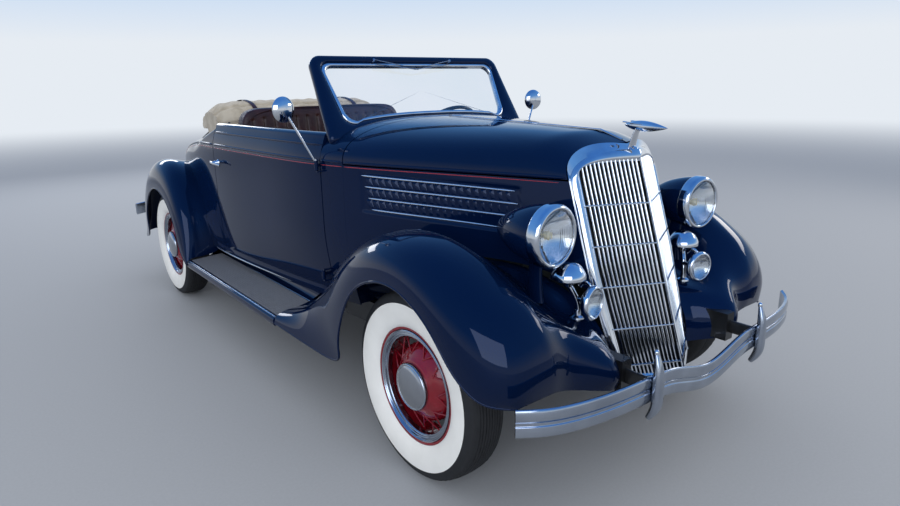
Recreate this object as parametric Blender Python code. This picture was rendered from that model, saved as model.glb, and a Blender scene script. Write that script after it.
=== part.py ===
"""A 1930s two-door cabriolet: separate body on a ladder frame, transverse springs, wire wheels.

Metres, +Z up, the nose towards -Y, the car's own left at +X. The origin is on the floor, under
the middle of the car. Stations whose names end in _Y count from the front axle, rearwards.
"""

import math

import bmesh
import bpy
import numpy as np
from mathutils import Matrix, Vector

# Overall sizes
WHEELBASE = 2.845
FRONT_TRACK = 1.410
REAR_TRACK = 1.475
FRONT_OVERHANG = 0.735
REAR_OVERHANG = 1.065
TOUCHING_GAP = 0.0005
MOVING_GAP = 0.006

# Wheels and tyres
TYRE_RADIUS = 0.357
TYRE_WIDTH = 0.160
RIM_RADIUS = 0.2225
RIM_WIDTH = 0.112
RIM_WALL = 0.005
SPOKE_COUNT = 8
SPOKE_THICKNESS = 0.011
HUB_RADIUS = 0.120
HUBCAP_RADIUS = 0.088
DRUM_RADIUS = 0.152
SPINDLE_RADIUS = 0.020

# Front axle and steering
KINGPIN_X = FRONT_TRACK / 2 - 0.125
KINGPIN_RADIUS = 0.022
KNUCKLE_EYE_HEIGHT = 0.100
FORK_THICKNESS = 0.022
STEERING_ARM = 0.140
TIE_ROD_RADIUS = 0.011
COLUMN_X = 0.360
COLUMN_RADIUS = 0.021
STEERING_WHEEL_RADIUS = 0.215
STEERING_WHEEL_CENTRE_Y = 1.235
STEERING_WHEEL_CENTRE_Z = 1.125
COLUMN_RAKE = math.radians(42)

# Frame
RAIL_HEIGHT = 0.110
RAIL_WIDTH = 0.050
RAIL_Z = 0.3645
FRONT_SPRING_Z = 0.445
REAR_SPRING_Z = 0.517
REAR_MEMBER = 0.700
ENGINE_Z = 0.440
RADIATOR_Z = 0.560

# Body shell
BELT_Z = 1.085
SILL_Z = 0.420
DOOR_TOP_Z = 1.212
DOOR_BOTTOM_Z = 0.470
DOOR_THICKNESS = 0.060
DOOR_HINGE_X = 0.655
HINGE_HALF = 0.022
HINGE_BARREL = 0.009
LID_HINGE_X = 0.200
LID_HINGE_RADIUS = 0.006
LID_HINGE_WIDTH = 0.026
BODY_WALL = 0.030
PANEL_WALL = 0.012
HOOD_REAR_Y = 0.722
DOOR_FRONT_Y = 0.868
DOOR_REAR_Y = WHEELBASE - 0.767
HOOD_FOOT_GAP = 0.012
HOOD_ROUNDS = 7
HINGE_FRONT_Y = -0.190
HINGE_FRONT_Z = 1.241
HINGE_REAR_Z = 1.267
HINGE_DROP = 0.0015
HINGE_RADIUS = 0.004
HINGE_EASE = 0.0005
COCKPIT_REAR_Y = WHEELBASE - 0.295
LID_HALF_WIDTH = 0.400
LID_FRONT_Y = WHEELBASE - 0.100
LID_REAR_Y = WHEELBASE + 0.445
SHOULDER_RISE = 0.125

# Windscreen, in its own raked plane
SCREEN_RAKE = math.radians(31.5)
SCREEN_BASE_Y = 0.835
SCREEN_BASE_Z = 1.227
SCREEN_HEIGHT = 0.385
SCREEN_HALF_WIDTH = 0.572
SCREEN_DEPTH = 0.045
GLASS_THICKNESS = 0.006

# Fenders and running boards
FENDER_WALL = 0.006
BOARD_INNER_X = 0.600
BOARD_OUTER_X = 0.852
BOARD_Z = 0.345
BOARD_THICKNESS = 0.030
FENDER_REAR_Y = 1.030

# Grille
GRILLE_BAR_COUNT = 9
GRILLE_BAR_WIDTH = 0.006
GRILLE_BAR_DEPTH = 0.012
SHELL_TOP_Z = 1.182
SHELL_SHOULDER_Z = 1.050
SHELL_FOOT_Z = 0.385
SHELL_BAND = 0.050
SHELL_SIDE = 0.034
PROW_LEAD = 0.128
ORNAMENT_Y = -0.352

# Lamps and horns
HEADLAMP_X = 0.438
HEADLAMP_Y = -0.372
HEADLAMP_Z = 0.928
HEADLAMP_RADIUS = 0.106
HEADLAMP_LENGTH = 0.250
FOG_LAMP_X = 0.329
FOG_LAMP_Y = -0.456
FOG_LAMP_Z = 0.695
FOG_LAMP_RADIUS = 0.060
HORN_Z = 0.775
HORN_Y = -0.385
HORN_RADIUS = 0.060

# Bumpers
BUMPER_HEIGHT = 0.090
BUMPER_THICKNESS = 0.012
BUMPER_TOP_Z = 0.522
BUMPER_DIP = 0.052
GUARD_X = 0.331
GUARD_DEPTH = 0.030
GUARD_LEAD = 0.018

# Seats
SEAT_HALF_WIDTH = 0.560

REAR_AXLE_Y = WHEELBASE
AXLE_Z = TYRE_RADIUS
FRONT_AXLE_Y = (FRONT_OVERHANG - WHEELBASE - REAR_OVERHANG) / 2
DOOR_HINGE_Y = DOOR_FRONT_Y - 0.004
# Height of each door hinge, and on which sides of its barrel the cowl has a leaf.
DOOR_HINGES = ((0.560, (-1, 1)), (1.070, (-1,)))

# Plan of the body at the belt: station, half width, and how far the sill tucks in below it.
BODY_PLAN = (
    (-0.270, 0.257, 0.004),
    (0.200, 0.420, 0.020),
    (HOOD_REAR_Y, 0.600, 0.055),
    (DOOR_FRONT_Y, 0.634, 0.060),
    (DOOR_FRONT_Y + 0.481 * (DOOR_REAR_Y - DOOR_FRONT_Y), 0.686, 0.040),
    (DOOR_REAR_Y, 0.705, 0.022),
    (REAR_AXLE_Y - 0.400, 0.690, 0.020),
    (REAR_AXLE_Y - 0.180, 0.665, 0.022),
    (REAR_AXLE_Y, 0.634, 0.026),
    (REAR_AXLE_Y + 0.200, 0.590, 0.030),
    (REAR_AXLE_Y + 0.400, 0.520, 0.034),
    (REAR_AXLE_Y + 0.560, 0.440, 0.038),
    (REAR_AXLE_Y + 0.680, 0.340, 0.040),
)
# Centre line of the rear deck: station, height.
DECK_LINE = (
    (DOOR_REAR_Y, 1.235),
    (COCKPIT_REAR_Y, 1.150),
    (REAR_AXLE_Y - 0.050, 1.122),
    (REAR_AXLE_Y + 0.150, 1.060),
    (REAR_AXLE_Y + 0.350, 0.955),
    (REAR_AXLE_Y + 0.520, 0.800),
    (REAR_AXLE_Y + 0.680, 0.590),
)
# Each fender runs between three guide curves. One row is one station: the crest's x, y, z,
# the outer lip's x, y, z, and the inner edge's x, y, z, for the car's left.
FRONT_FENDER = (
    ((0.600, -0.640, 0.560), (0.800, -0.590, 0.535), (0.235, -0.490, 0.430)),
    ((0.615, -0.612, 0.680), (0.846, -0.500, 0.525), (0.238, -0.455, 0.560)),
    ((0.630, -0.505, 0.770), (0.858, -0.370, 0.530), (0.245, -0.395, 0.670)),
    ((0.645, -0.330, 0.838), (0.862, -0.190, 0.635), (0.262, -0.290, 0.735)),
    ((0.655, -0.130, 0.893), (0.862, -0.020, 0.720), (0.315, -0.110, 0.755)),
    ((0.665, 0.060, 0.912), (0.862, 0.130, 0.745), (0.388, 0.080, 0.755)),
    ((0.672, 0.250, 0.875), (0.860, 0.260, 0.680), (0.460, 0.270, 0.752)),
    ((0.680, 0.430, 0.775), (0.855, 0.350, 0.545), (0.524, 0.450, 0.700)),
    ((0.688, 0.600, 0.630), (0.845, 0.410, 0.400), (0.566, 0.600, 0.600)),
    ((0.700, 0.760, 0.500), (0.838, 0.460, 0.320), (0.565, 0.760, 0.490)),
    ((0.715, 0.900, 0.415), (0.840, 0.700, 0.308), (0.550, 0.900, 0.412)),
    ((0.725, FENDER_REAR_Y, 0.372), (0.852, FENDER_REAR_Y, 0.318), (0.555, FENDER_REAR_Y, 0.378)),
)
# Stations of the rear fender count from the rear axle.
REAR_FENDER = (
    ((0.770, -0.485, 0.362), (0.862, -0.485, 0.318), (0.640, -0.485, 0.370)),
    ((0.768, -0.440, 0.560), (0.866, -0.392, 0.400), (0.640, -0.450, 0.560)),
    ((0.762, -0.345, 0.760), (0.867, -0.325, 0.560), (0.630, -0.360, 0.745)),
    ((0.752, -0.185, 0.900), (0.867, -0.185, 0.700), (0.610, -0.205, 0.875)),
    ((0.744, 0.005, 0.945), (0.867, 0.000, 0.755), (0.580, 0.000, 0.918)),
    ((0.735, 0.205, 0.910), (0.866, 0.185, 0.710), (0.520, 0.215, 0.870)),
    ((0.727, 0.385, 0.800), (0.862, 0.325, 0.600), (0.460, 0.375, 0.755)),
    ((0.720, 0.535, 0.620), (0.855, 0.405, 0.460), (0.435, 0.480, 0.600)),
    ((0.713, 0.620, 0.450), (0.845, 0.465, 0.350), (0.425, 0.540, 0.450)),
    ((0.708, 0.640, 0.360), (0.835, 0.575, 0.322), (0.425, 0.560, 0.380)),
)
# Centre line of the left frame rail.
RAIL = (
    (0.330, -0.600, 0.485),
    (0.330, -0.450, 0.485),
    (0.330, -0.300, 0.500),
    (0.335, 0.050, 0.492),
    (0.400, 0.420, 0.420),
    (0.460, 0.700, RAIL_Z),
    (0.500, 1.300, RAIL_Z),
    (0.505, REAR_AXLE_Y - 0.420, RAIL_Z),
    (0.490, REAR_AXLE_Y - 0.200, 0.470),
    (0.470, REAR_AXLE_Y, 0.500),
    (0.430, REAR_AXLE_Y + 0.250, 0.490),
    (0.385, REAR_AXLE_Y + 0.500, 0.470),
    (0.375, REAR_AXLE_Y + 0.680, 0.455),
    (0.375, REAR_AXLE_Y + 0.780, 0.455),
)
# Height of the hood's centre line: station, height.
RIDGE_LINE = (
    (-0.373, 1.178),
    (-0.300, 1.2045),
    (-0.245, 1.2225),
    (HINGE_FRONT_Y, HINGE_FRONT_Z - 3.5 * HINGE_DROP),
    (-0.130, HINGE_FRONT_Z - 0.6 * HINGE_DROP),
    (0.0, HINGE_FRONT_Z + 0.208 * (HINGE_REAR_Z - HINGE_FRONT_Z) - HINGE_DROP),
    (HOOD_REAR_Y / 2, HINGE_FRONT_Z + 0.604 * (HINGE_REAR_Z - HINGE_FRONT_Z) - HINGE_DROP),
    (HOOD_REAR_Y, HINGE_REAR_Z - HINGE_DROP),
    (DOOR_FRONT_Y, HINGE_REAR_Z - HINGE_DROP + 0.003),
)
SIDES = (("left", 1), ("right", -1))


def material(name, colour, roughness, metallic=0.0):
    """A Principled material of one colour."""
    made = bpy.data.materials.new(name)
    made.use_nodes = True
    shader = made.node_tree.nodes["Principled BSDF"]
    shader.inputs["Base Color"].default_value = (*colour, 1)
    shader.inputs["Roughness"].default_value = roughness
    shader.inputs["Metallic"].default_value = metallic
    return made


def spline(knots, values, at):
    """Natural cubic spline through the values, read at each place in at."""
    knots = np.asarray(knots, float)
    values = np.asarray(values, float).reshape(len(knots), -1)
    step = np.diff(knots)
    rows = np.eye(len(knots))
    bends = np.zeros_like(values)
    for i in range(1, len(knots) - 1):
        rows[i, i - 1 : i + 2] = step[i - 1], 2 * (step[i - 1] + step[i]), step[i]
        rise = (values[i + 1] - values[i]) / step[i] - (values[i] - values[i - 1]) / step[i - 1]
        bends[i] = 6 * rise
    bends = np.linalg.solve(rows, bends)
    at = np.clip(np.atleast_1d(np.asarray(at, float)), knots[0], knots[-1])
    i = np.clip(np.searchsorted(knots, at, side="right") - 1, 0, len(knots) - 2)
    ahead = ((knots[i + 1] - at) / step[i])[:, None]
    behind = ((at - knots[i]) / step[i])[:, None]
    curve = (ahead**3 - ahead) * bends[i] + (behind**3 - behind) * bends[i + 1]
    return ahead * values[i] + behind * values[i + 1] + curve * step[i][:, None] ** 2 / 6


def half_width(y, z):
    """Half width of the body's skin at stations y and heights z, arrays of one shape."""
    y, z = np.broadcast_arrays(np.asarray(y, float), np.asarray(z, float))
    plan = np.array(BODY_PLAN)
    width, tuck = spline(plan[:, 0], plan[:, 1:], y.ravel()).T.reshape(2, *y.shape)
    low = np.clip((0.80 - z) / (0.80 - SILL_Z), 0, 1)
    high = np.clip((z - BELT_Z) / (DOOR_TOP_Z - BELT_Z), 0, 1)
    return width - tuck * low**1.8 - 0.040 * high**1.3


def deck_height(y):
    """Height of the rear deck's centre line."""
    line = np.array(DECK_LINE)
    return spline(line[:, 0], line[:, 1], y)[:, 0]


def shoulder_height(y):
    """Height at which the rear body's side rounds over into the deck, as high as the door beside it."""
    side = np.clip((COCKPIT_REAR_Y - y) / (COCKPIT_REAR_Y - DOOR_REAR_Y), 0, 1)
    return np.minimum(BELT_Z - 0.045, SILL_Z + 0.80 * (deck_height(y) - SILL_Z)) + SHOULDER_RISE * side**1.5


def deck_surface(x, y):
    """Height of the deck at the points x, y, arrays of one shape."""
    shape = x.shape
    x, y = x.ravel(), y.ravel()
    low, top = shoulder_height(y), deck_height(y)
    share = np.clip(np.abs(x) / half_width(y, low), 0, 1)
    return (low + (top - low) * (1 - share**2.6) ** (1 / 2.2)).reshape(shape)


def grille_edge_y(z):
    """Station of the shell's rear edge at height z: the whole face leans back."""
    return -0.260 - (1.100 - z) * 0.318


def recalculated(mesh):
    """Turns every face outwards."""
    work = bmesh.new()
    work.from_mesh(mesh)
    bmesh.ops.recalc_face_normals(work, faces=work.faces)
    work.to_mesh(mesh)
    work.free()


def mesh_of(points, faces):
    """A Blender mesh with outward faces."""
    mesh = bpy.data.meshes.new("form")
    mesh.from_pydata([tuple(map(float, p)) for p in points], [], [tuple(map(int, f)) for f in faces])
    recalculated(mesh)
    return mesh


def loft(rings, closed=False):
    """Skin over rings of equal length, capped at both ends unless the row of rings is closed."""
    rings = np.asarray(rings, float)
    rows, across = rings.shape[:2]
    index = np.arange(rows * across).reshape(rows, across)
    faces = []
    for i in range(rows if closed else rows - 1):
        here, there = index[i], index[(i + 1) % rows]
        for j in range(across):
            k = (j + 1) % across
            faces.append((here[j], here[k], there[k], there[j]))
    if not closed:
        faces += [tuple(index[0]), tuple(index[-1])]
    return mesh_of(rings.reshape(-1, 3), faces)


def sheet(grid, wall, inward=None, upright=False):
    """A panel of even thickness: its outer skin is the grid, rows by columns of points.

    An upright panel keeps each row of points at its own station, so its ends stay square.
    """
    grid = np.asarray(grid, float)
    if inward is None:
        along = np.gradient(grid, axis=0)
        across = np.gradient(grid, axis=1)
        normal = np.cross(along, across)
        if upright:
            normal[..., 1] = 0
        normal /= np.linalg.norm(normal, axis=2, keepdims=True)
        centre = np.array([0.0, grid[..., 1].mean(), AXLE_Z])
        if ((grid - centre) * normal).sum() > 0:
            normal = -normal
        inward = normal
    inner = grid + np.asarray(inward) * wall
    rows, across = grid.shape[:2]
    outside = np.arange(rows * across).reshape(rows, across)
    inside = outside + rows * across
    faces = []
    for skin in (outside, inside[:, ::-1]):
        for i in range(rows - 1):
            for j in range(across - 1):
                faces.append((skin[i, j], skin[i, j + 1], skin[i + 1, j + 1], skin[i + 1, j]))
    for i in range(rows - 1):
        for j in (0, -1):
            faces.append((outside[i, j], outside[i + 1, j], inside[i + 1, j], inside[i, j]))
    for j in range(across - 1):
        for i in (0, -1):
            faces.append((outside[i, j], outside[i, j + 1], inside[i, j + 1], inside[i, j]))
    return mesh_of(np.concatenate([grid.reshape(-1, 3), inner.reshape(-1, 3)]), faces)


def turned(profile, segments, centre=(0, 0, 0), direction=(1, 0, 0), closed=False):
    """Turns a profile of (distance along the axis, radius) about the axis through centre."""
    profile = np.asarray(profile, float)
    turn = np.linspace(0, 2 * math.pi, segments, endpoint=False)
    ring = np.stack([np.zeros(segments), np.cos(turn), np.sin(turn)], 1)
    rings = profile[:, 1, None, None] * ring[None] + profile[:, 0, None, None] * np.array([1.0, 0, 0])
    mesh = loft(rings, closed)
    turn_to = Vector((1, 0, 0)).rotation_difference(Vector(direction)).to_matrix().to_4x4()
    mesh.transform(Matrix.Translation(Vector(centre)) @ turn_to)
    return mesh


def swept(path, outline, up=(0, 0, 1)):
    """Carries an outline of (sideways, up) points along a path, square to it."""
    path = np.asarray(path, float)
    outline = np.asarray(outline, float)
    along = np.gradient(path, axis=0)
    along /= np.linalg.norm(along, axis=1, keepdims=True)
    side = np.cross(along, np.asarray(up, float))
    side /= np.linalg.norm(side, axis=1, keepdims=True)
    above = np.cross(side, along)
    rings = path[:, None] + side[:, None] * outline[None, :, :1] + above[:, None] * outline[None, :, 1:]
    return loft(rings)


def tube(path, radius, sides=8, up=(0, 0, 1)):
    """A round bar along a path."""
    turn = np.linspace(0, 2 * math.pi, sides, endpoint=False) + math.pi / sides
    return swept(path, radius * np.stack([np.cos(turn), np.sin(turn)], 1), up)


def bar(path, width, height, up=(0, 0, 1)):
    """A rectangular bar along a path."""
    w, h = width / 2, height / 2
    return swept(path, [(-w, -h), (w, -h), (w, h), (-w, h)], up)


def block(low, high):
    """A box between two corners."""
    (x0, y0, z0), (x1, y1, z1) = low, high
    ring = np.array([(x0, y0), (x1, y0), (x1, y1), (x0, y1)])
    return loft([np.column_stack([ring, np.full(4, z)]) for z in (z0, z1)])


def mirrored(mesh):
    """The same form on the car's other side."""
    copy = mesh.copy()
    copy.transform(Matrix.Scale(-1, 4, (1, 0, 0)))
    recalculated(copy)
    return copy


def combined(base, others, operation):
    """The base mesh joined with the others, or cut by them, by exact Booleans."""
    made = bpy.data.objects.new("base", base)
    bpy.context.scene.collection.objects.link(made)
    helpers = []
    for other in others:
        helper = bpy.data.objects.new("helper", other)
        bpy.context.scene.collection.objects.link(helper)
        step = made.modifiers.new("step", "BOOLEAN")
        step.operation = operation
        step.solver = "EXACT"
        step.object = helper
        helpers.append(helper)
    bpy.context.view_layer.update()
    graph = bpy.context.evaluated_depsgraph_get()
    result = bpy.data.meshes.new_from_object(made.evaluated_get(graph))
    for helper in [*helpers, made]:
        bpy.data.objects.remove(helper)
    return result


def fused(*meshes):
    """One body from several that overlap."""
    return combined(meshes[0], meshes[1:], "UNION")


def cut(base, *cutters):
    """The base less its cutters."""
    return combined(base, cutters, "DIFFERENCE")


def place(name, mesh, finish, origin=(0, 0, 0)):
    """Makes the named node. The mesh is in front-axle coordinates; origin is its joint's point."""
    mesh.transform(Matrix.Translation(-Vector(origin)))
    mesh.name = name
    mesh.materials.clear()
    mesh.materials.append(finish)
    mesh.shade_smooth()
    mesh.set_sharp_from_angle(angle=math.radians(35))
    node = bpy.data.objects.new(name, mesh)
    bpy.context.scene.collection.objects.link(node)
    node.location = origin
    node.parent = CAR
    return node


def place_pair(name, mesh, finish, origin=(0, 0, 0)):
    """Makes the left node and its mirror image on the right."""
    x, y, z = origin
    place(f"{name}_right", mirrored(mesh), finish, (-x, y, z))
    place(f"{name}_left", mesh, finish, origin)


def tyre_mesh():
    """Tyre about the X axis, its centre plane at x = 0."""
    half, bead = TYRE_WIDTH / 2, RIM_WIDTH / 2 - 2 * RIM_WALL
    seat = RIM_RADIUS - 0.009
    wall = TYRE_RADIUS - RIM_RADIUS
    right = [
        (bead, seat),
        (half * 0.95, RIM_RADIUS + 0.22 * wall),
        (half, RIM_RADIUS + 0.55 * wall),
        (half * 0.74, TYRE_RADIUS - 0.009),
        (0, TYRE_RADIUS),
    ]
    left = [(-a, r) for a, r in right[-2::-1]]
    return turned(right + left, 24, closed=True)


def wheel_mesh():
    """Wire wheel about the X axis, its hub cap towards +X."""
    edge, flange, bead = RIM_WIDTH / 2, RIM_WALL, RIM_RADIUS - 0.0095
    outer = [(edge, RIM_RADIUS), (edge - flange, bead)]
    section = outer + [(-a, r) for a, r in outer[::-1]] + [(-edge, bead - flange), (edge, bead - flange)]
    rim = turned(section, 24, closed=True)
    drum_back, drum_front = -0.080, -0.040
    bore = SPINDLE_RADIUS + TOUCHING_GAP
    hub = turned(
        [
            (-0.020, 0.002),
            (-0.020, bore),
            (drum_back, bore),
            (drum_back, DRUM_RADIUS),
            (drum_front, DRUM_RADIUS),
            (0.012, HUB_RADIUS),
            (0.046, HUBCAP_RADIUS),
            (0.066, HUBCAP_RADIUS * 0.86),
            (0.076, 0.004),
        ],
        16,
    )
    spokes = []
    for turn in np.linspace(0, 2 * math.pi, SPOKE_COUNT, endpoint=False):
        for side, start, lean in ((0.014, HUB_RADIUS - 0.008, 0.20), (-0.030, HUB_RADIUS, -0.20)):
            foot = np.array([side, start * math.cos(turn), start * math.sin(turn)])
            reach, far = bead - flange + 0.0015, turn + lean
            tip = np.array([0.0, reach * math.cos(far), reach * math.sin(far)])
            spokes.append(tube([foot, tip], SPOKE_THICKNESS / 2, 3, up=(1, 0, 0.01)))
    return fused(hub, rim, *spokes)


def build_wheels():
    """Four road wheels on their axles, the hub caps outwards, and the spare on the tail."""
    tyre, wheel = tyre_mesh(), wheel_mesh()
    for end, track, station in (("front", FRONT_TRACK, 0), ("rear", REAR_TRACK, REAR_AXLE_Y)):
        for side, sign in SIDES:
            centre = (sign * track / 2, station, AXLE_Z)
            for kind, form, finish in (("tyre", tyre, RUBBER), ("wheel", wheel, RED)):
                mesh = form.copy() if sign > 0 else mirrored(form)
                mesh.transform(Matrix.Translation(centre))
                place(f"{end}_{kind}_{side}", mesh, finish, centre)


def build_front_axle():
    """Dropped beam, transverse spring with its perches, and the wishbone that locates it."""
    eye_x, top, low = KINGPIN_X, AXLE_Z + KNUCKLE_EYE_HEIGHT / 2, AXLE_Z - KNUCKLE_EYE_HEIGHT / 2
    drop_x, beam_x = eye_x - 0.140, eye_x - 0.280
    path = [(-eye_x, 0, AXLE_Z), (-drop_x, 0, AXLE_Z - 0.015), (-beam_x, 0, 0.315), (beam_x, 0, 0.315)]
    path += [(drop_x, 0, AXLE_Z - 0.015), (eye_x, 0, AXLE_Z)]
    parts = [bar(path, 0.040, 0.046)]
    for sign in (-1, 1):
        eye = [(low, KINGPIN_RADIUS), (top, KINGPIN_RADIUS)]
        parts.append(turned(eye, 16, (sign * eye_x, 0, 0), (0, 0, 1)))
        parts.append(tube([(sign * drop_x, 0, 0.335), (0, 1.120, 0.330)], 0.015, 6))
        perch_x = sign * (drop_x + 0.015)
        perch = [(perch_x, -0.015, AXLE_Z - 0.02), (perch_x, -0.110, FRONT_SPRING_Z - 0.050)]
        parts.append(tube(perch, 0.014, 8))
    parts.append(block((-0.032, 1.085, 0.306), (0.032, 1.135, 0.354)))
    for reach, lift, width in ((drop_x + 0.030, 0, 0.045), (drop_x - 0.110, 0.007, 0.041)):
        x = np.linspace(-reach, reach, 7)
        leaf = np.stack([x, np.full(7, -0.110), FRONT_SPRING_Z + lift - 0.24 * x**2], 1)
        parts.append(bar(leaf, width, 0.011))
    place("front_axle", fused(*parts), BLACK)


def build_knuckles():
    """Steering knuckles: a fork round the axle's eye, backing plate, spindle and arm."""
    top = AXLE_Z + KNUCKLE_EYE_HEIGHT / 2 + TOUCHING_GAP
    low = AXLE_Z - KNUCKLE_EYE_HEIGHT / 2 - TOUCHING_GAP
    wheel_x = FRONT_TRACK / 2
    plate_in, plate_out = wheel_x - 0.096, wheel_x - 0.086
    parts = [turned([(plate_in, DRUM_RADIUS), (plate_out, DRUM_RADIUS)], 20, (0, 0, AXLE_Z))]
    for z0, z1 in ((top, top + FORK_THICKNESS), (low - FORK_THICKNESS, low)):
        parts.append(block((KINGPIN_X - 0.024, -0.024, z0), (plate_in + 0.004, 0.024, z1)))
    parts.append(turned([(plate_in, SPINDLE_RADIUS), (wheel_x - 0.024, SPINDLE_RADIUS)], 16, (0, 0, AXLE_Z)))
    arm = (KINGPIN_X - 0.012, 0.010, low - FORK_THICKNESS), (KINGPIN_X + 0.012, STEERING_ARM + 0.012, low - 0.002)
    parts.append(block(*arm))
    place_pair("front_knuckle", fused(*parts), BLACK, (KINGPIN_X, 0, AXLE_Z))
    z = low - FORK_THICKNESS - TOUCHING_GAP - TIE_ROD_RADIUS * math.cos(math.pi / 8)
    ends = KINGPIN_X + 0.014
    rod = tube([(-ends, STEERING_ARM, z), (ends, STEERING_ARM, z)], TIE_ROD_RADIUS, 8)
    place("tie_rod", rod, BLACK, (KINGPIN_X, STEERING_ARM, z))


def build_rear_axle():
    """Banjo axle with its torque tube, transverse spring and brake backing plates."""
    y, z = REAR_AXLE_Y, AXLE_Z
    wheel_x = REAR_TRACK / 2
    plate_in, plate_out = wheel_x - 0.096, wheel_x - 0.086
    half = [(0.012, 0.125), (0.055, 0.118), (0.085, 0.085), (0.11, 0.045), (plate_in, 0.036)]
    half += [(plate_in, DRUM_RADIUS), (plate_out, DRUM_RADIUS), (plate_out, SPINDLE_RADIUS)]
    half += [(wheel_x - 0.024, SPINDLE_RADIUS)]
    profile = [(-a, r) for a, r in half[::-1]] + half
    parts = [turned(profile, 16, (0, y, z))]
    parts.append(tube([(0, y - 0.05, z), (0, 1.160, 0.385)], 0.032, 10))
    for sign in (-1, 1):
        parts.append(tube([(sign * 0.60, y - 0.02, z - 0.022), (sign * 0.015, y - 1.045, 0.365)], 0.013, 6))
        perch = [(sign * 0.52, y + 0.01, z + 0.005), (sign * 0.52, y + 0.120, REAR_SPRING_Z - 0.128)]
        parts.append(tube(perch, 0.014, 8))
    for reach, lift, width in ((0.535, 0, 0.050), (0.360, 0.008, 0.046)):
        x = np.linspace(-reach, reach, 7)
        leaf = np.stack([x, np.full(7, y + 0.120), REAR_SPRING_Z + lift - 0.48 * x**2], 1)
        parts.append(bar(leaf, width, 0.012))
    place("rear_axle", fused(*parts), BLACK)


def build_frame():
    """Two kicked-up side rails with cross members and the X in the middle."""
    height = RAIL_HEIGHT
    brace_front, brace_rear = 0.950, REAR_AXLE_Y - 0.565
    brace_middle = brace_front + 0.5113 * (brace_rear - brace_front)
    parts = []
    for sign in (-1, 1):
        parts.append(bar(np.array(RAIL) * (sign, 1, 1), RAIL_WIDTH, height))
        x_leg = [(sign * 0.50, brace_front, RAIL_Z), (sign * 0.10, brace_middle - 0.130, RAIL_Z)]
        x_leg += [(sign * 0.10, brace_middle + 0.120, RAIL_Z), (sign * 0.50, brace_rear, RAIL_Z)]
        parts.append(bar(x_leg, 0.040, height * 0.6))
    parts.append(block((-0.12, brace_middle - 0.070, 0.322), (0.12, brace_middle + 0.070, 0.336)))
    parts.append(block((-0.345, -0.150, FRONT_SPRING_Z + 0.0130), (0.345, -0.070, FRONT_SPRING_Z + 0.045)))
    rear = REAR_AXLE_Y
    parts.append(block((-0.480, rear + 0.075, REAR_SPRING_Z + 0.0145), (0.480, rear + 0.165, REAR_SPRING_Z + 0.040)))
    member = rear + REAR_MEMBER
    parts.append(block((-0.380, member, 0.430), (0.380, member + 0.040, 0.480)))
    for y0, y1, z0, z1 in ((-0.415, -0.335, 0.512, RADIATOR_Z), (0.030, 0.090, 0.400, ENGINE_Z)):
        parts.append(block((-0.345, y0, z0), (0.345, y1, z1 - TOUCHING_GAP)))
    place("frame", fused(*parts), BLACK)


def build_engine():
    """The engine as one plain block at its real size, and the radiator behind the grille."""
    place("engine_block", block((-0.225, -0.020, ENGINE_Z), (0.225, 0.640, 0.960)), BLACK)
    low, high = RADIATOR_Z, 1.060
    ring = np.array([(-0.205, 0), (0.205, 0), (0.205, 0.060), (-0.205, 0.060)])
    rows = []
    for z in (low, high):
        lean = grille_edge_y(z) + 0.030
        rows.append(np.column_stack([ring[:, 0], ring[:, 1] + lean, np.full(4, z)]))
    place("radiator", loft(rows), BLACK)


def section_top(y, ridge, turn):
    """Top of the hood or cowl at stations y: x and z for the angle turn, 0 on the ridge."""
    width = half_width(y, BELT_Z)
    return width * np.sin(turn) ** 0.80, BELT_Z + (ridge - BELT_Z) * np.cos(turn) ** 0.80


def ridge_height(y):
    """Height of the centre line over the hood and cowl."""
    line = np.array(RIDGE_LINE)
    return float(spline(line[:, 0], line[:, 1], y)[0, 0])


def arch(y, start, bottom, lean=None, rounds=7, sides=4, split=0.0):
    """One row of points from the centre line over the shoulder and down the side."""
    turn = np.linspace(start, math.pi / 2, rounds)
    ridge = ridge_height(y) if lean is None else ridge_height(y + lean(np.zeros(1), np.full(1, 1.2))[0])
    x, z = section_top(np.full(rounds, y), ridge, turn)
    down = np.linspace(BELT_Z, bottom, sides)[1:]
    x = np.concatenate([x, half_width(np.full(sides - 1, y), down)])
    z = np.concatenate([z, down])
    station = np.full(len(x), y) if lean is None else y + lean(x, z)
    return np.column_stack([np.maximum(x, split), station, z])


def shell_back_y(x, z):
    """Station of the grille shell's rear edge, where the hood meets it."""
    return grille_edge_y(z) - 0.085 * np.clip(1 - np.abs(x) / 0.25, 0, 1)


def hood_foot(y):
    """Height of the hood side's lower edge, just above the fender's inner edge."""
    inner = np.array([row[2] for row in FRONT_FENDER[3:10]])
    return float(spline(inner[:, 1], inner[:, 2], y)[0, 0]) + HOOD_FOOT_GAP


def hood_row(share, front_gap, rear):
    """One row of the hood's skin, from the grille shell's edge at share 0 to the rear at 1."""
    front = grille_edge_y(BELT_Z)
    y = front + share * (rear - front)

    def lean(x, z):
        return (1 - share) ** 1.5 * (shell_back_y(x, z) + front_gap - front)

    return arch(y, 0, hood_foot(y), lean, rounds=HOOD_ROUNDS, split=HINGE_RADIUS + HINGE_EASE)


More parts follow.
